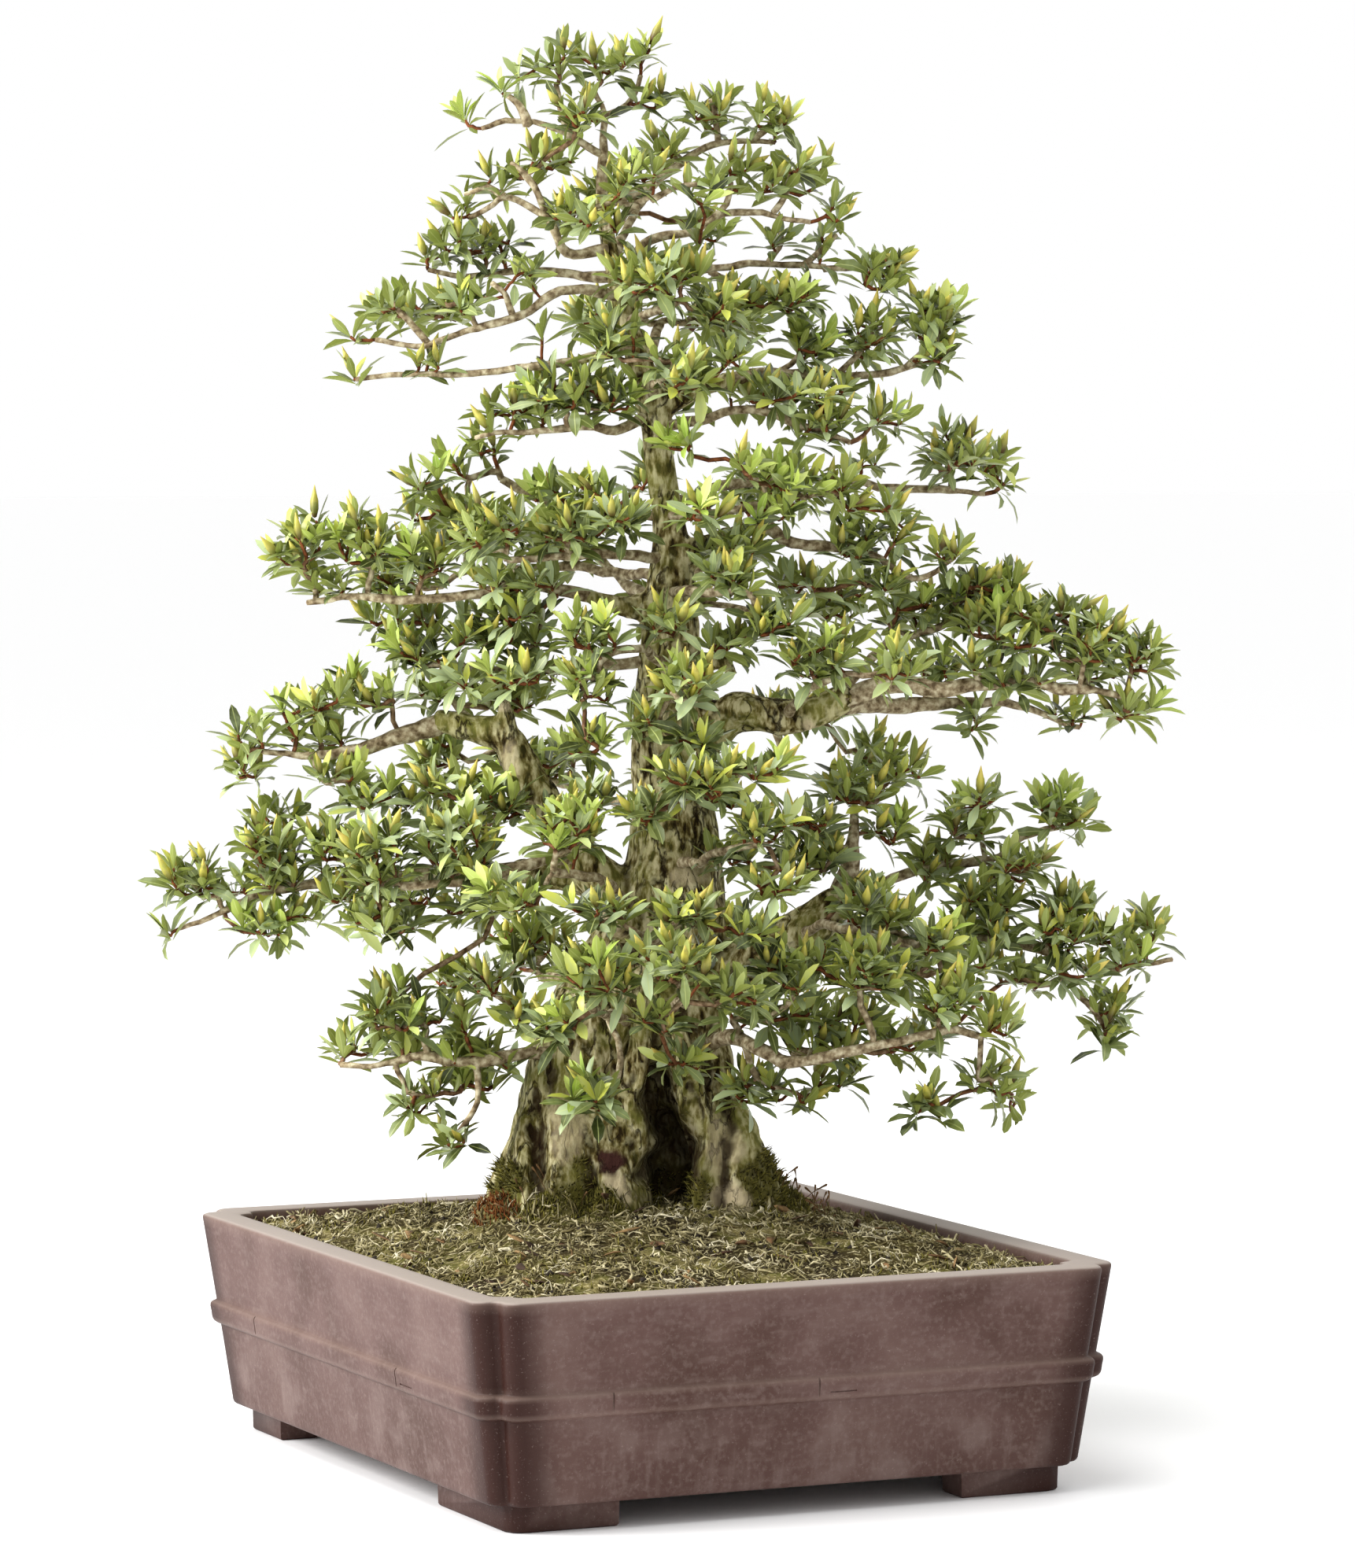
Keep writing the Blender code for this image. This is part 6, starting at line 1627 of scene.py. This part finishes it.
@dataclass
class Trunk:
    """The old trunk: fluted buttress roots, a hollow between them in painted shade, limbs and cut
    stubs.
    """

    voxel: float = 2.3 * MM

    def tube_rows(self) -> list[Array]:
        """Returns each tube's knots: its places with their radii as a fourth column."""
        rows = [np.array(row, dtype=float) for row in TRUNK_TUBES + LIMB_TUBES + RIDGES]
        return [np.column_stack((placed(row[:, :3]), row[:, 3] * STEP)) for row in rows]

    def axis_points(self) -> Array:
        """Returns places along every tube with their radii, 5 mm apart."""
        return np.vstack([smooth_path(knots, PATH_SPACING) for knots in self.tube_rows()])

    def rough(self) -> Skin:
        """Returns overlapping tubes whose radii swell and dip in long flutes.

        A radius is multiplied by one plus two noises, wide and narrow, taken on a
        cylinder round the path that is stretched along it.
        """
        skin = Skin()
        for index, knots in enumerate(self.tube_rows()):
            path = smooth_path(knots, PATH_SPACING)
            radii = np.maximum(path[:, 3], 1.5 * MM)
            sides = int(np.clip(radii.max() / (1.1 * MM) * 2, 20, 72))
            lengths = np.linalg.norm(np.diff(path[:, :3], axis=0), axis=1)
            run = np.concatenate(([0], np.cumsum(lengths)))
            turn = np.arange(sides) * 2 * math.pi / sides
            thick = radii.mean()
            where = np.zeros((len(path), sides, 3))
            where[..., :2] = np.stack((np.cos(turn), np.sin(turn)), axis=1) * thick
            where[..., 2] = run[:, None] * 0.22 + index * 0.7
            flutes = 0.11 * noise(where, thick * 0.75, 31) + 0.05 * noise(where, thick * 0.3, 32)
            skin.add_tube(path[:, :3], radii[:, None] * (1 + flutes), sides)
        return skin

    def weather(self, points: Array, normals: Array) -> Array:
        """Returns the skin moved out in lumps and upright ridges and in at the hollow.

        Lumps are plain noise; ridges are one minus the size of a noise stretched
        upwards; the hollow is an ellipse, seen along the sight, pushed straight back.
        """
        upright = points * (1, 1, 0.3)
        lumps = noise(points, 13 * MM, 41) * 1.4 + noise(points, 6 * MM, 42) * 0.9
        ridges = (1 - 2 * np.abs(noise(upright, 13 * MM, 43))) * 1.5
        ridges -= np.abs(noise(upright, 7 * MM, 44)) * 1.2
        girth = smoothstep(-points[:, 2], -0.62, -0.2) * 0.65 + 0.35
        ragged = 1 + 0.35 * noise(points, 9 * MM, 45)
        sunk = np.zeros(len(points))
        for *ellipse, depth in CREVICES:
            sunk = np.maximum(sunk, self.spot(points, *ellipse, 30) * depth * MM)
        points = points + normals * ((lumps + ridges) * girth * MM)[:, None]
        return points + sight_axes()[1] * (sunk * ragged)[:, None]

    def spot(self, points: Array, across: float, down: float, wide: float, tall: float,
             deepest: float = 1e3) -> Array:
        """Returns one inside a ragged ellipse seen along the sight, falling to zero at its edge."""
        seen = seen_at(points)
        ragged = 14 * noise(points, 14 * MM, 46) + 7 * noise(points, 5 * MM, 47)
        shift = ragged * min(1.0, wide / 26)
        away = ((seen[:, 0] + shift - across) / wide) ** 2
        away += ((seen[:, 1] + shift - down) / tall) ** 2
        return (1 - smoothstep(away, 0.45, 1.15)) * (seen[:, 2] < deepest)

    def spots(self, points: Array, table: tuple) -> Array:
        """Returns the strongest at each point of a table's spots, each times its strength."""
        return np.maximum.reduce([self.spot(points, *row) * strength for *row, strength in table])

    def build(self) -> tuple[Thing, Array, Array]:
        """Builds the trunk.

        Returns:
            The trunk, and the places on its roots where moss grows with their directions.
        """
        trunk = self.rough().make("trunk_bark", [Bark().make()])
        change = trunk.modifiers.new("skin", "REMESH")
        change.mode = "VOXEL"
        change.voxel_size = self.voxel
        apply_modifiers(trunk)
        mesh = trunk.data
        edges = read(mesh.edges, "vertices", 2, np.int32)
        points = settled(read(mesh.vertices, "co", 3) - ROW_SHIFT, edges, 3)
        move_points(mesh, points)
        points = settled(self.weather(points, read(mesh.vertices, "normal", 3)), edges, 1)
        move_points(mesh, points)
        normals = read(mesh.vertices, "normal", 3)
        moss = self.shade(mesh, points, normals, edges)
        mesh.shade_smooth()
        return mounted(trunk, "trunk"), points[moss], normals[moss]

    def shade(self, mesh: Mesh, points: Array, normals: Array, edges: Array) -> Array:
        """Writes painted shade in the folds and hollow, moss, bare and pale places; returns where moss
        grows.
        """
        # Painted shade: darker where the skin sinks below its smoothed self, and in the hollow
        proud = ((points - settled(points, edges, 14)) * normals).sum(axis=1)
        rough = noise(points, 8 * MM, 51)
        hollow = self.spots(points, HOLLOW_SHADE_SPOTS) * (0.75 + 0.25 * rough)
        fold = np.maximum(smoothstep(-proud, 0.1 * MM, 1.2 * MM) * 0.85, hollow)
        foot = 1 - smoothstep(points[:, 2], MOSS_FULL, MOSS_NONE)
        moss = np.maximum(self.spots(points, MOSS_SPOTS), foot)
        moss = moss * smoothstep(rough + 0.5 * noise(points, 18 * MM, 52), -0.8, -0.1)
        band = smoothstep(noise(points, 14 * MM, 53), 0.0, 0.5)
        band = band * self.spot(points, *MOSS_BAND)
        set_values(mesh, fold=np.clip(fold, 0, 1), bare=self.spot(points, *BARE_SCAR),
                   pale=np.clip(self.spots(points, PALE_SPOTS), 0, 1) * 0.9,
                   moss=np.clip(np.maximum(moss, band * 0.6), 0, 1) * 0.85)
        return (moss > 0.55) & (points[:, 2] > SOIL_EDGE)


class Shoot(Enum):
    """What the end of a twig carries."""

    BUDDED = "whorl round a flower bud"
    PLAIN = "whorl alone"
    FRESH = "new leaves over a whorl"
    DRY = "whorl with a split seed capsule"


@dataclass
class Joint:
    """A place on a spray's wood where a twig may start, and how many tips it carries."""

    place: Array
    way: Array
    parent: int
    load: int = 0


@dataclass
class Spray:
    """One branch with its twigs, whorls of leaves and buds.

    A leaf is a row of the values of Blades.  A bud or capsule is a row of its foot, way,
    length, radius and shift of tint.  Wood and twigs are paths with their joints' numbers.
    """

    name: str
    woods: tuple
    pads: tuple
    seed: int
    joints: list[Joint] = field(default_factory=list)
    limbs: list[tuple[Array, list[int]]] = field(default_factory=list)
    twigs: list[tuple[Array, list[int]]] = field(default_factory=list)
    old: list[tuple] = field(default_factory=list)
    new: list[tuple] = field(default_factory=list)
    buds: list[tuple] = field(default_factory=list)
    capsules: list[tuple] = field(default_factory=list)

    BUD_PROFILE = (0.5, 0.97, 0.95, 0.5, 0.08)
    CAPSULE_PROFILE = (0.5, 0.9, 1.0, 0.5)
    WOOD_SIDES = 10
    TWIG_SIDES = 4

    def __post_init__(self) -> None:
        """Seeds the spray's own random draw."""
        self.draw = np.random.default_rng(self.seed)

    def lay_wood(self) -> None:
        """Lays the spray's wood: smooth curves through the table's points, slightly uneven."""
        for order, wood in enumerate(self.woods):
            path = smooth_path(placed(wood), PATH_SPACING)
            slow = np.stack([noise(path, 24 * MM, 60 + axis) for axis in range(3)], axis=1)
            quick = np.stack([noise(path, 9 * MM, 63 + axis) for axis in range(3)], axis=1)
            ease = np.minimum(1, np.arange(len(path)) / 4)[:, None]
            path = path + (slow * 3.2 + quick * 1.1) * ease * MM
            parent = self.nearest(path[0], 0.0) if order else -1
            self.limbs.append((path, self.add_joints(path, parent, 0)))

    def add_joints(self, path: Array, parent: int, first: int) -> list[int]:
        """Remembers a path's joints from its first one on, and returns their numbers."""
        way = unit(np.gradient(path, axis=0))
        chain = [parent]
        for index in range(first, len(path)):
            self.joints.append(Joint(path[index], way[index], chain[-1]))
            chain.append(len(self.joints) - 1)
        return chain if first else chain[1:]

    def nearest(self, place: Array, drop: float) -> int:
        """Returns the joint nearest to a place, where one above it counts as further away."""
        places = np.array([joint.place for joint in self.joints])
        away = np.linalg.norm(places - place, axis=1)
        away += drop * np.maximum(0, places[:, 2] - place[2])
        if drop:
            away[:BARE_JOINTS] += OUT_OF_REACH
        return int(np.argmin(away))

    def tips(self, taken: list[Array], clear: Clearance) -> Array:
        """Returns the twig ends of the spray's pads.

        A pad is a dome: its ends are drawn evenly over its plan and mostly near its upper
        side, and an end is dropped where it comes too close to another.
        """
        found = []
        for across, down, depth, half_width, half_height in self.pads:
            share = CROWN_SHARE if down < CROWN_DOWN else 1.0
            count = max(3, round(math.pi * half_width * half_height * share / TIP_AREA))
            wide = max(half_width - TIP_MARGIN, half_width * 0.35)
            tall = max(half_height - TIP_MARGIN * 0.75, half_height * 0.4)
            span = wide * STEP / MM * DEPTH_SHARE
            for _ in range(count):
                for _ in range(TIP_TRIES):
                    turn = self.draw.uniform(0, 2 * math.pi)
                    reach = math.sqrt(self.draw.uniform(0, 1))
                    rise = self.draw.uniform(-0.8, 1.0) * math.sqrt(1 - reach * reach * 0.75)
                    tip = placed([(across + wide * reach * math.cos(turn),
                                   down + PAD_DROP - tall * rise,
                                   depth + span * reach * math.sin(turn))])[0]
                    if clear.allows(tip, taken):
                        taken.append(tip)
                        found.append(tip)
                        break
        return np.array(found)

    def reach_tip(self, tip: Array) -> Array:
        """Grows a twig to a tip and returns the way that the tip points.

        The twig is a cubic curve that leaves its joint partly along the wood and comes to
        the tip along the tip's own way.
        """
        number = self.nearest(tip, 0.6)
        start = self.joints[number].place
        chord = tip - start
        length = np.linalg.norm(chord)
        outward = unit(tip - np.array((*TRUNK_MIDDLE, tip[2])))
        straight = chord / max(length, 1e-6)
        axis = unit(straight * 0.45 + outward * 0.25 + np.array((0, 0, 0.95))
                    + self.draw.normal(0, 0.22, 3))
        lead = start + (self.joints[number].way * 0.4 + straight * 0.6) * length * TWIG_LEAD
        arrive = tip - axis * length * TWIG_LEAD
        t = np.linspace(0, 1, TWIG_STATIONS)[:, None]
        path = (1 - t) ** 3 * start + 3 * (1 - t) ** 2 * t * lead
        path = path + 3 * (1 - t) * t * t * arrive + t ** 3 * tip
        path[1:-1] += self.draw.normal(0, 0.5 * MM, (TWIG_STATIONS - 2, 3))
        chain = self.add_joints(path, number, 1)
        self.twigs.append((path, chain))
        step = chain[-1]
        while step >= 0:
            self.joints[step].load += 1
            step = self.joints[step].parent
        return axis

    def whorl(self, tip: Array, axis: Array, kind: Shoot) -> None:
        """Gathers the leaves and the bud at a tip.

        Leaves go round the axis by the golden angle. The outermost stands lowest, is
        longest and bends over most.
        """
        draw = self.draw
        side, upper = crossed(axis, axis)
        turn = draw.uniform(0, 2 * math.pi)
        # Each whorl's tint: the leaves' own tone, drawn towards the painted sheen colour as it rises
        tone_and_sheen = np.clip(draw.normal(0.38, 0.22), 0, 0.72)
        light = draw.uniform(0, 0.9)
        count = int(draw.integers(3, 6)) if kind is Shoot.FRESH else int(draw.integers(6, 10))
        for index in range(count):
            share = index / (count - 1)
            angle = turn + index * GOLDEN + draw.normal(0, 0.15)
            out = side * math.cos(angle) + upper * math.sin(angle)
            length = (LEAF_MM - 4.0 * share) * draw.uniform(0.72, 1.12) * MM
            shade = draw.uniform(0.8, 1.0) if share > 0.6 and draw.uniform() < light else tone_and_sheen
            self.old.append((
                tip - axis * (1 - share) * 5 * MM, out, axis,
                length, length * draw.uniform(0.26, 0.35),
                math.radians(14 + 58 * share) + draw.normal(0, 0.2),
                math.radians(38 - 28 * share) + draw.normal(0, 0.3), draw.uniform(0.15, 0.5),
                draw.normal(0, 0.25), np.clip(shade + draw.normal(0, 0.13), 0, 1)))
        if kind is Shoot.FRESH:
            self.new_leaves(tip, axis, side, upper)
        elif kind is Shoot.BUDDED:
            lean = unit(axis + draw.normal(0, 0.12, 3))
            self.buds.append((tip + axis * 3 * MM, lean, draw.uniform(13, 19) * MM,
                              draw.uniform(2.1, 2.9) * MM, draw.uniform(-0.25, 0.2)))
        elif kind is Shoot.DRY:
            for _ in range(CAPSULE_SPLITS):
                lean = unit(axis + draw.normal(0, 0.35, 3))
                size = (draw.uniform(8, 12) * MM, draw.uniform(1.1, 1.7) * MM)
                self.capsules.append((tip, lean, *size, 0.0))

    def new_leaves(self, tip: Array, axis: Array, side: Array, upper: Array) -> None:
        """Gathers a tuft of upright new leaves."""
        draw = self.draw
        count = int(draw.integers(4, 8))
        turn = draw.uniform(0, 2 * math.pi)
        for index in range(count):
            share = index / (count - 1)
            angle = turn + index * GOLDEN
            out = side * math.cos(angle) + upper * math.sin(angle)
            length = draw.uniform(15, 22) * MM
            self.new.append((
                tip + axis * share * 2 * MM, out, axis, length, length * draw.uniform(0.28, 0.35),
                math.radians(38 + 38 * share) + draw.normal(0, 0.1),
                math.radians(16) + draw.normal(0, 0.2), draw.uniform(0.25, 0.6),
                draw.normal(0, 0.15), draw.uniform(0.1, 1.0)))

    def twig_leaves(self) -> None:
        """Gathers single older leaves along the upper half of the twigs."""
        draw = self.draw
        for path, _ in self.twigs:
            for _ in range(int(draw.integers(0, 3))):
                index = int(draw.integers(TWIG_STATIONS // 2, TWIG_STATIONS - 1))
                axis = unit(path[index + 1] - path[index])
                out = unit(np.cross(axis, draw.normal(0, 1, 3)))
                length = draw.uniform(12, 19) * MM
                self.old.append((
                    path[index], out, axis, length, length * draw.uniform(0.33, 0.4),
                    draw.uniform(0.1, 0.8), draw.uniform(0.5, 1.4), draw.uniform(0.1, 0.4),
                    draw.normal(0, 0.3), np.clip(draw.normal(0.35, 0.2), 0, 1)))

    def kind_at(self, tip: Array) -> Shoot:
        """Returns what a tip carries, drawn by chance and by the bright and dry places."""
        if lies_in(tip, DRY_PLACES):
            return Shoot.DRY
        fresh = LEFT_FRESH if seen_at(tip[None])[0, 0] < LEFT_SIDE else RIGHT_FRESH
        fresh = BRIGHT_FRESH if lies_in(tip, FRESH_PLACES) else fresh
        chance = self.draw.uniform(0, 1)
        if chance < fresh:
            return Shoot.FRESH
        return Shoot.BUDDED if chance < fresh + BUD_SHARE else Shoot.PLAIN

    def grow(self, taken: list[Array], clear: Clearance) -> None:
        """Grows the spray from its wood to its leaves, the tips nearest to the wood first."""
        self.lay_wood()
        tips = self.tips(taken, clear)
        wood = np.array([joint.place for joint in self.joints])
        for index in np.argsort([np.linalg.norm(wood - tip, axis=1).min() for tip in tips]):
            axis = self.reach_tip(tips[index])
            self.whorl(tips[index], axis, self.kind_at(tips[index]))
        self.twig_leaves()

    def loads(self, chain: list[int]) -> list[int]:
        """Returns how many tips each joint of a chain carries."""
        return [self.joints[number].load for number in chain]

    def wood_radii(self, order: int, ends: Array) -> Array:
        """Returns the radii of a wood path.

        They taper from the limb or wood that it leaves, and are never thinner than the
        tips that it carries ask for.
        """
        path, chain = self.limbs[order]
        away = np.linalg.norm(ends[:, :3] - path[0], axis=1)
        base = ends[np.argmin(away), 3] * 0.95 if away.min() < 14 * MM else LIMB_RADIUS
        if order and np.linalg.norm(self.limbs[0][0][1:] - path[0], axis=1).min() < 8 * MM:
            base = FORK_RADIUS
        share = np.linspace(0, 1, len(path))
        taper = WOOD_TIP + (base - WOOD_TIP) * (1 - share) ** 1.3
        carried = (0.75 + 0.40 * np.sqrt(self.loads(chain))) * MM
        return np.maximum(taper, carried) * (1 + 0.16 * noise(path, 7 * MM, 70))

    def cones(self, rows: list[tuple], profile: tuple, sides: int) -> tuple[Array, list, Array]:
        """Builds pointed shells along their ways: a profile of radii on an even run of stations."""
        foot, way, length, radius, shift = (np.array(column) for column in zip(*rows))
        share = np.linspace(0, 1, len(profile))
        paths = foot[:, None] + way[:, None] * (share[None, :, None] * length[:, None, None])
        points, faces = many_tubes(paths, radius[:, None] * np.array(profile), sides)
        tint = np.append(np.repeat(share, sides), (0.0, 1.0))
        return points, faces, np.clip(tint[None] + shift[:, None], 0, 1).ravel()

    def add_leaves(self, skin: Skin, box: Array) -> Array:
        """Adds the blades, but for those that reach out of the frame's box.

        Returns:
            The face-corner UVs of all of them.
        """
        corners: list[Array] = []
        for slot, rows in enumerate((self.old, self.new)):
            if rows:
                columns = [np.array(column, dtype=float) for column in zip(*rows)]
                shaped = Blades(*columns).shells()[0].reshape(len(rows), -1, 3) + ROW_SHIFT
                keep = ((shaped > box[0]) & (shaped < box[1])).all(axis=(1, 2))
                kept = Blades(*[column[keep] for column in columns])
                skin.add(*kept.shells(), slot, np.repeat(kept.tint, BLADE_POINTS))
                corners += [np.tile(uv, (keep.sum(), 1)) for uv in kept.corner_uvs()]
        return np.vstack(corners)

    def add_wood(self, skin: Skin, ends: Array) -> None:
        """Adds the buds, capsules, twigs and wood."""
        if self.buds:
            points, faces, tint = self.cones(self.buds, self.BUD_PROFILE, 5)
            skin.add(points, faces, 2, tint)
        if self.capsules:
            points, faces, tint = self.cones(self.capsules, self.CAPSULE_PROFILE, 4)
            skin.add(points, faces, 3, tint * 0.3 + 0.7)
        loads = np.array([self.loads(chain) for _, chain in self.twigs], dtype=float)
        loads[:, 0] = loads[:, 1]
        radii = (0.62 + 0.38 * np.sqrt(loads)) * MM
        young = np.clip(1.15 - 0.22 * np.sqrt(loads), 0, 1)
        shade = (np.repeat(young, self.TWIG_SIDES, axis=1), young[:, [0, -1]])
        paths = np.array([path for path, _ in self.twigs])
        points, faces = many_tubes(paths, radii, self.TWIG_SIDES)
        skin.add(points, faces, 3, np.concatenate(shade, axis=1).ravel())
        for order, (path, _) in enumerate(self.limbs):
            radii = self.wood_radii(order, ends)
            tint = np.clip(0.75 - radii / (5 * MM), 0, 0.5)
            skin.add_tube(path, radii, self.WOOD_SIDES, 3, tint)

    def build(self, finishes: list[bpy.types.Material], ends: Array, box: Array) -> Thing:
        """Makes the spray's object and stands it in for its node.

        The blades' rims are sharp, so that each side of a leaf is shaded by itself.
        """
        skin = Skin()
        corners = self.add_leaves(skin, box)
        blade_points = skin.count
        self.add_wood(skin, ends)
        piece = skin.make(self.name + "_growth", finishes)
        mesh = piece.data
        flat = np.zeros((len(mesh.loops), 2), dtype=np.float32)
        flat[:len(corners)] = corners
        mesh.uv_layers.new(name="blade").data.foreach_set("uv", flat.ravel())
        edges = read(mesh.edges, "vertices", 2, np.int32)
        local = edges % BLADE_POINTS
        rim = (local % 2 == 0) | (local >= BLADE_POINTS - 2)
        mesh.edges.foreach_set("use_edge_sharp", (rim & (edges < blade_points)).all(axis=1))
        return mounted(piece, self.name)


def lies_in(tip: Array, places: tuple) -> bool:
    """Tells if a place is seen in one of a table's circles."""
    x, y, _ = seen_at(tip[None])[0]
    return any(math.hypot(x - across, y - down) < reach for across, down, reach in places)


@dataclass
class Clearance:
    """Keeps twig ends apart, out of the wood and inside the frame's box."""

    wood: Array
    box: Array
    apart: float = 9.5 * MM
    margin: float = 3 * MM

    def between_tiers(self, tip: Array) -> bool:
        """Tells if a place lies in one of the gaps between the tiers."""
        gaps = np.array(OPENINGS, dtype=float)
        away = (seen_at(tip[None])[0, :2] - gaps[:, :2]) / (gaps[:, 2:] + OPEN_RIM)
        return bool(((away ** 2).sum(axis=1) < 1).any())

    def allows(self, tip: Array, taken: list[Array]) -> bool:
        """Tells if a twig may end at a place."""
        near = np.linalg.norm(self.wood[:, :3] - tip, axis=1) < self.wood[:, 3] + self.margin
        low, high = self.box[0] + self.margin, self.box[1] - self.margin
        shifted = tip + ROW_SHIFT
        if near.any() or (shifted < low).any() or (shifted > high).any() or self.between_tiers(tip):
            return False
        others = np.array(taken).reshape(-1, 3)
        return not (np.linalg.norm(others - tip, axis=1) < self.apart).any()


@dataclass
class Foliage:
    """All the sprays of the tree."""

    axis_points: Array
    box: Array

    def shared_fills(self) -> dict[str, list[tuple]]:
        """Returns the filling pads by spray: each goes to the spray with the nearest pad."""
        names = [name for name, _, pads in SPRAYS for _ in pads]
        centres = placed([pad[:3] for _, _, pads in SPRAYS for pad in pads])
        shared: dict[str, list[tuple]] = {name: [] for name in names}
        for pad in FILL_PADS:
            away = np.linalg.norm(centres - placed([pad[:3]]), axis=1)
            shared[names[int(np.argmin(away))]].append(pad)
        return shared

    def build(self) -> list[Thing]:
        """Grows and builds every spray."""
        finishes = [Leaf().make(), NewLeaf().make(), Bud().make(), Twig().make()]
        clear = Clearance(self.axis_points, self.box)
        tops = np.array([limb[-1] for limb in LIMB_TUBES], dtype=float)
        ends = np.column_stack((placed(tops[:, :3]), tops[:, 3] * STEP))
        taken: list[Array] = []
        pieces = []
        fills = self.shared_fills()
        for index, (name, woods, pads) in enumerate(SPRAYS):
            spray = Spray("spray_" + name, woods, (*pads, *fills[name]), SEED + index)
            spray.grow(taken, clear)
            pieces.append(spray.build(finishes, ends, self.box))
            LOG.info("%s: %d shoots", spray.name, len(spray.twigs))
        return pieces


@dataclass
class Studio:
    """A pale floor, soft light from the left and above, and the photograph's camera."""

    floor_half: float = 60.0
    aim_height: float = 0.42

    def floor(self) -> None:
        """Lays a wide plain pale floor under the feet."""
        corners = np.array(((-1, -1, 0), (1, -1, 0), (1, 1, 0), (-1, 1, 0))) * self.floor_half
        skin = Skin()
        skin.add(corners, [np.arange(4)[None]])
        skin.make("floor", [Finish("painted_floor", 0.6, 0.3, "#fefefe").make()])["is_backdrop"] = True

    def lamp(self, name: str, place: tuple[float, float, float], size: float, power: float) -> None:
        """Hangs a square soft light, given right, along and up from the pot, aimed at the tree."""
        right, along = sight_axes()
        light = bpy.data.lights.new(name, "AREA")
        light.size = size
        light.energy = power
        lamp = shown(name, light)
        lamp.location = right * place[0] + along * place[1] + (0, 0, place[2]) + ROW_SHIFT
        aim = Vector((0, 0, self.aim_height)) - lamp.location
        lamp.rotation_euler = aim.to_track_quat("-Z", "Y").to_euler()

    def sky(self) -> None:
        """Fills the surroundings with an even pale light."""
        world = bpy.data.worlds.new("studio")
        world.use_nodes = True
        glow = world.node_tree.nodes["Background"]
        glow.inputs["Color"].default_value = linear("#ffffff")
        glow.inputs["Strength"].default_value = 1.0
        bpy.context.scene.world = world
        bpy.context.scene.view_settings.view_transform = "Standard"

    def camera(self) -> None:
        """Stands the camera where the photograph was taken, at its angle and framing."""
        lens = bpy.data.cameras.new("camera")
        lens.lens = LENS
        lens.sensor_width = SENSOR
        lens.clip_end = 200.0
        view = shown("camera", lens)
        view.location = EYE + ROW_SHIFT
        view.rotation_euler = Euler((math.pi / 2 - SIGHT_DIP, 0, -SIGHT_TURN))
        bpy.context.scene.camera = view

    def build(self) -> None:
        """Sets up the whole studio."""
        self.floor()
        self.sky()
        self.lamp("key_light", (-2.5, -0.5, 1.5), 1.4, 108)
        self.lamp("top_light", (-0.6, -0.9, 2.8), 1.6, 42)
        self.camera()


def dress_screens() -> None:
    """Gives the drain screens their moulded plastic finish."""
    finish = ScreenPlastic().make()
    for name in ("drain_screen_front", "drain_screen_back"):
        for place in bpy.data.objects[name].material_slots:
            place.material = finish


def main() -> None:
    """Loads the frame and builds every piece."""
    logging.basicConfig(level=logging.INFO, format="%(message)s")
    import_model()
    cad_box = [list(corner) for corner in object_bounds()]
    Studio().build()
    dress_screens()
    pot = Pot()
    ground = Ground(pot)
    trunk = Trunk()
    pieces = [pot.build(), ground.soil(), ground.mat(), ground.sphagnum(), ground.litter()]
    bark, mossy, ways = trunk.build()
    pieces += [bark, ground.moss(mossy, ways)]
    pieces += Foliage(trunk.axis_points(), np.array(cad_box)).build()
    for piece in pieces:
        LOG.info("%s: %d faces", piece.name, len(piece.data.polygons))


if __name__ == "__main__":
    main()
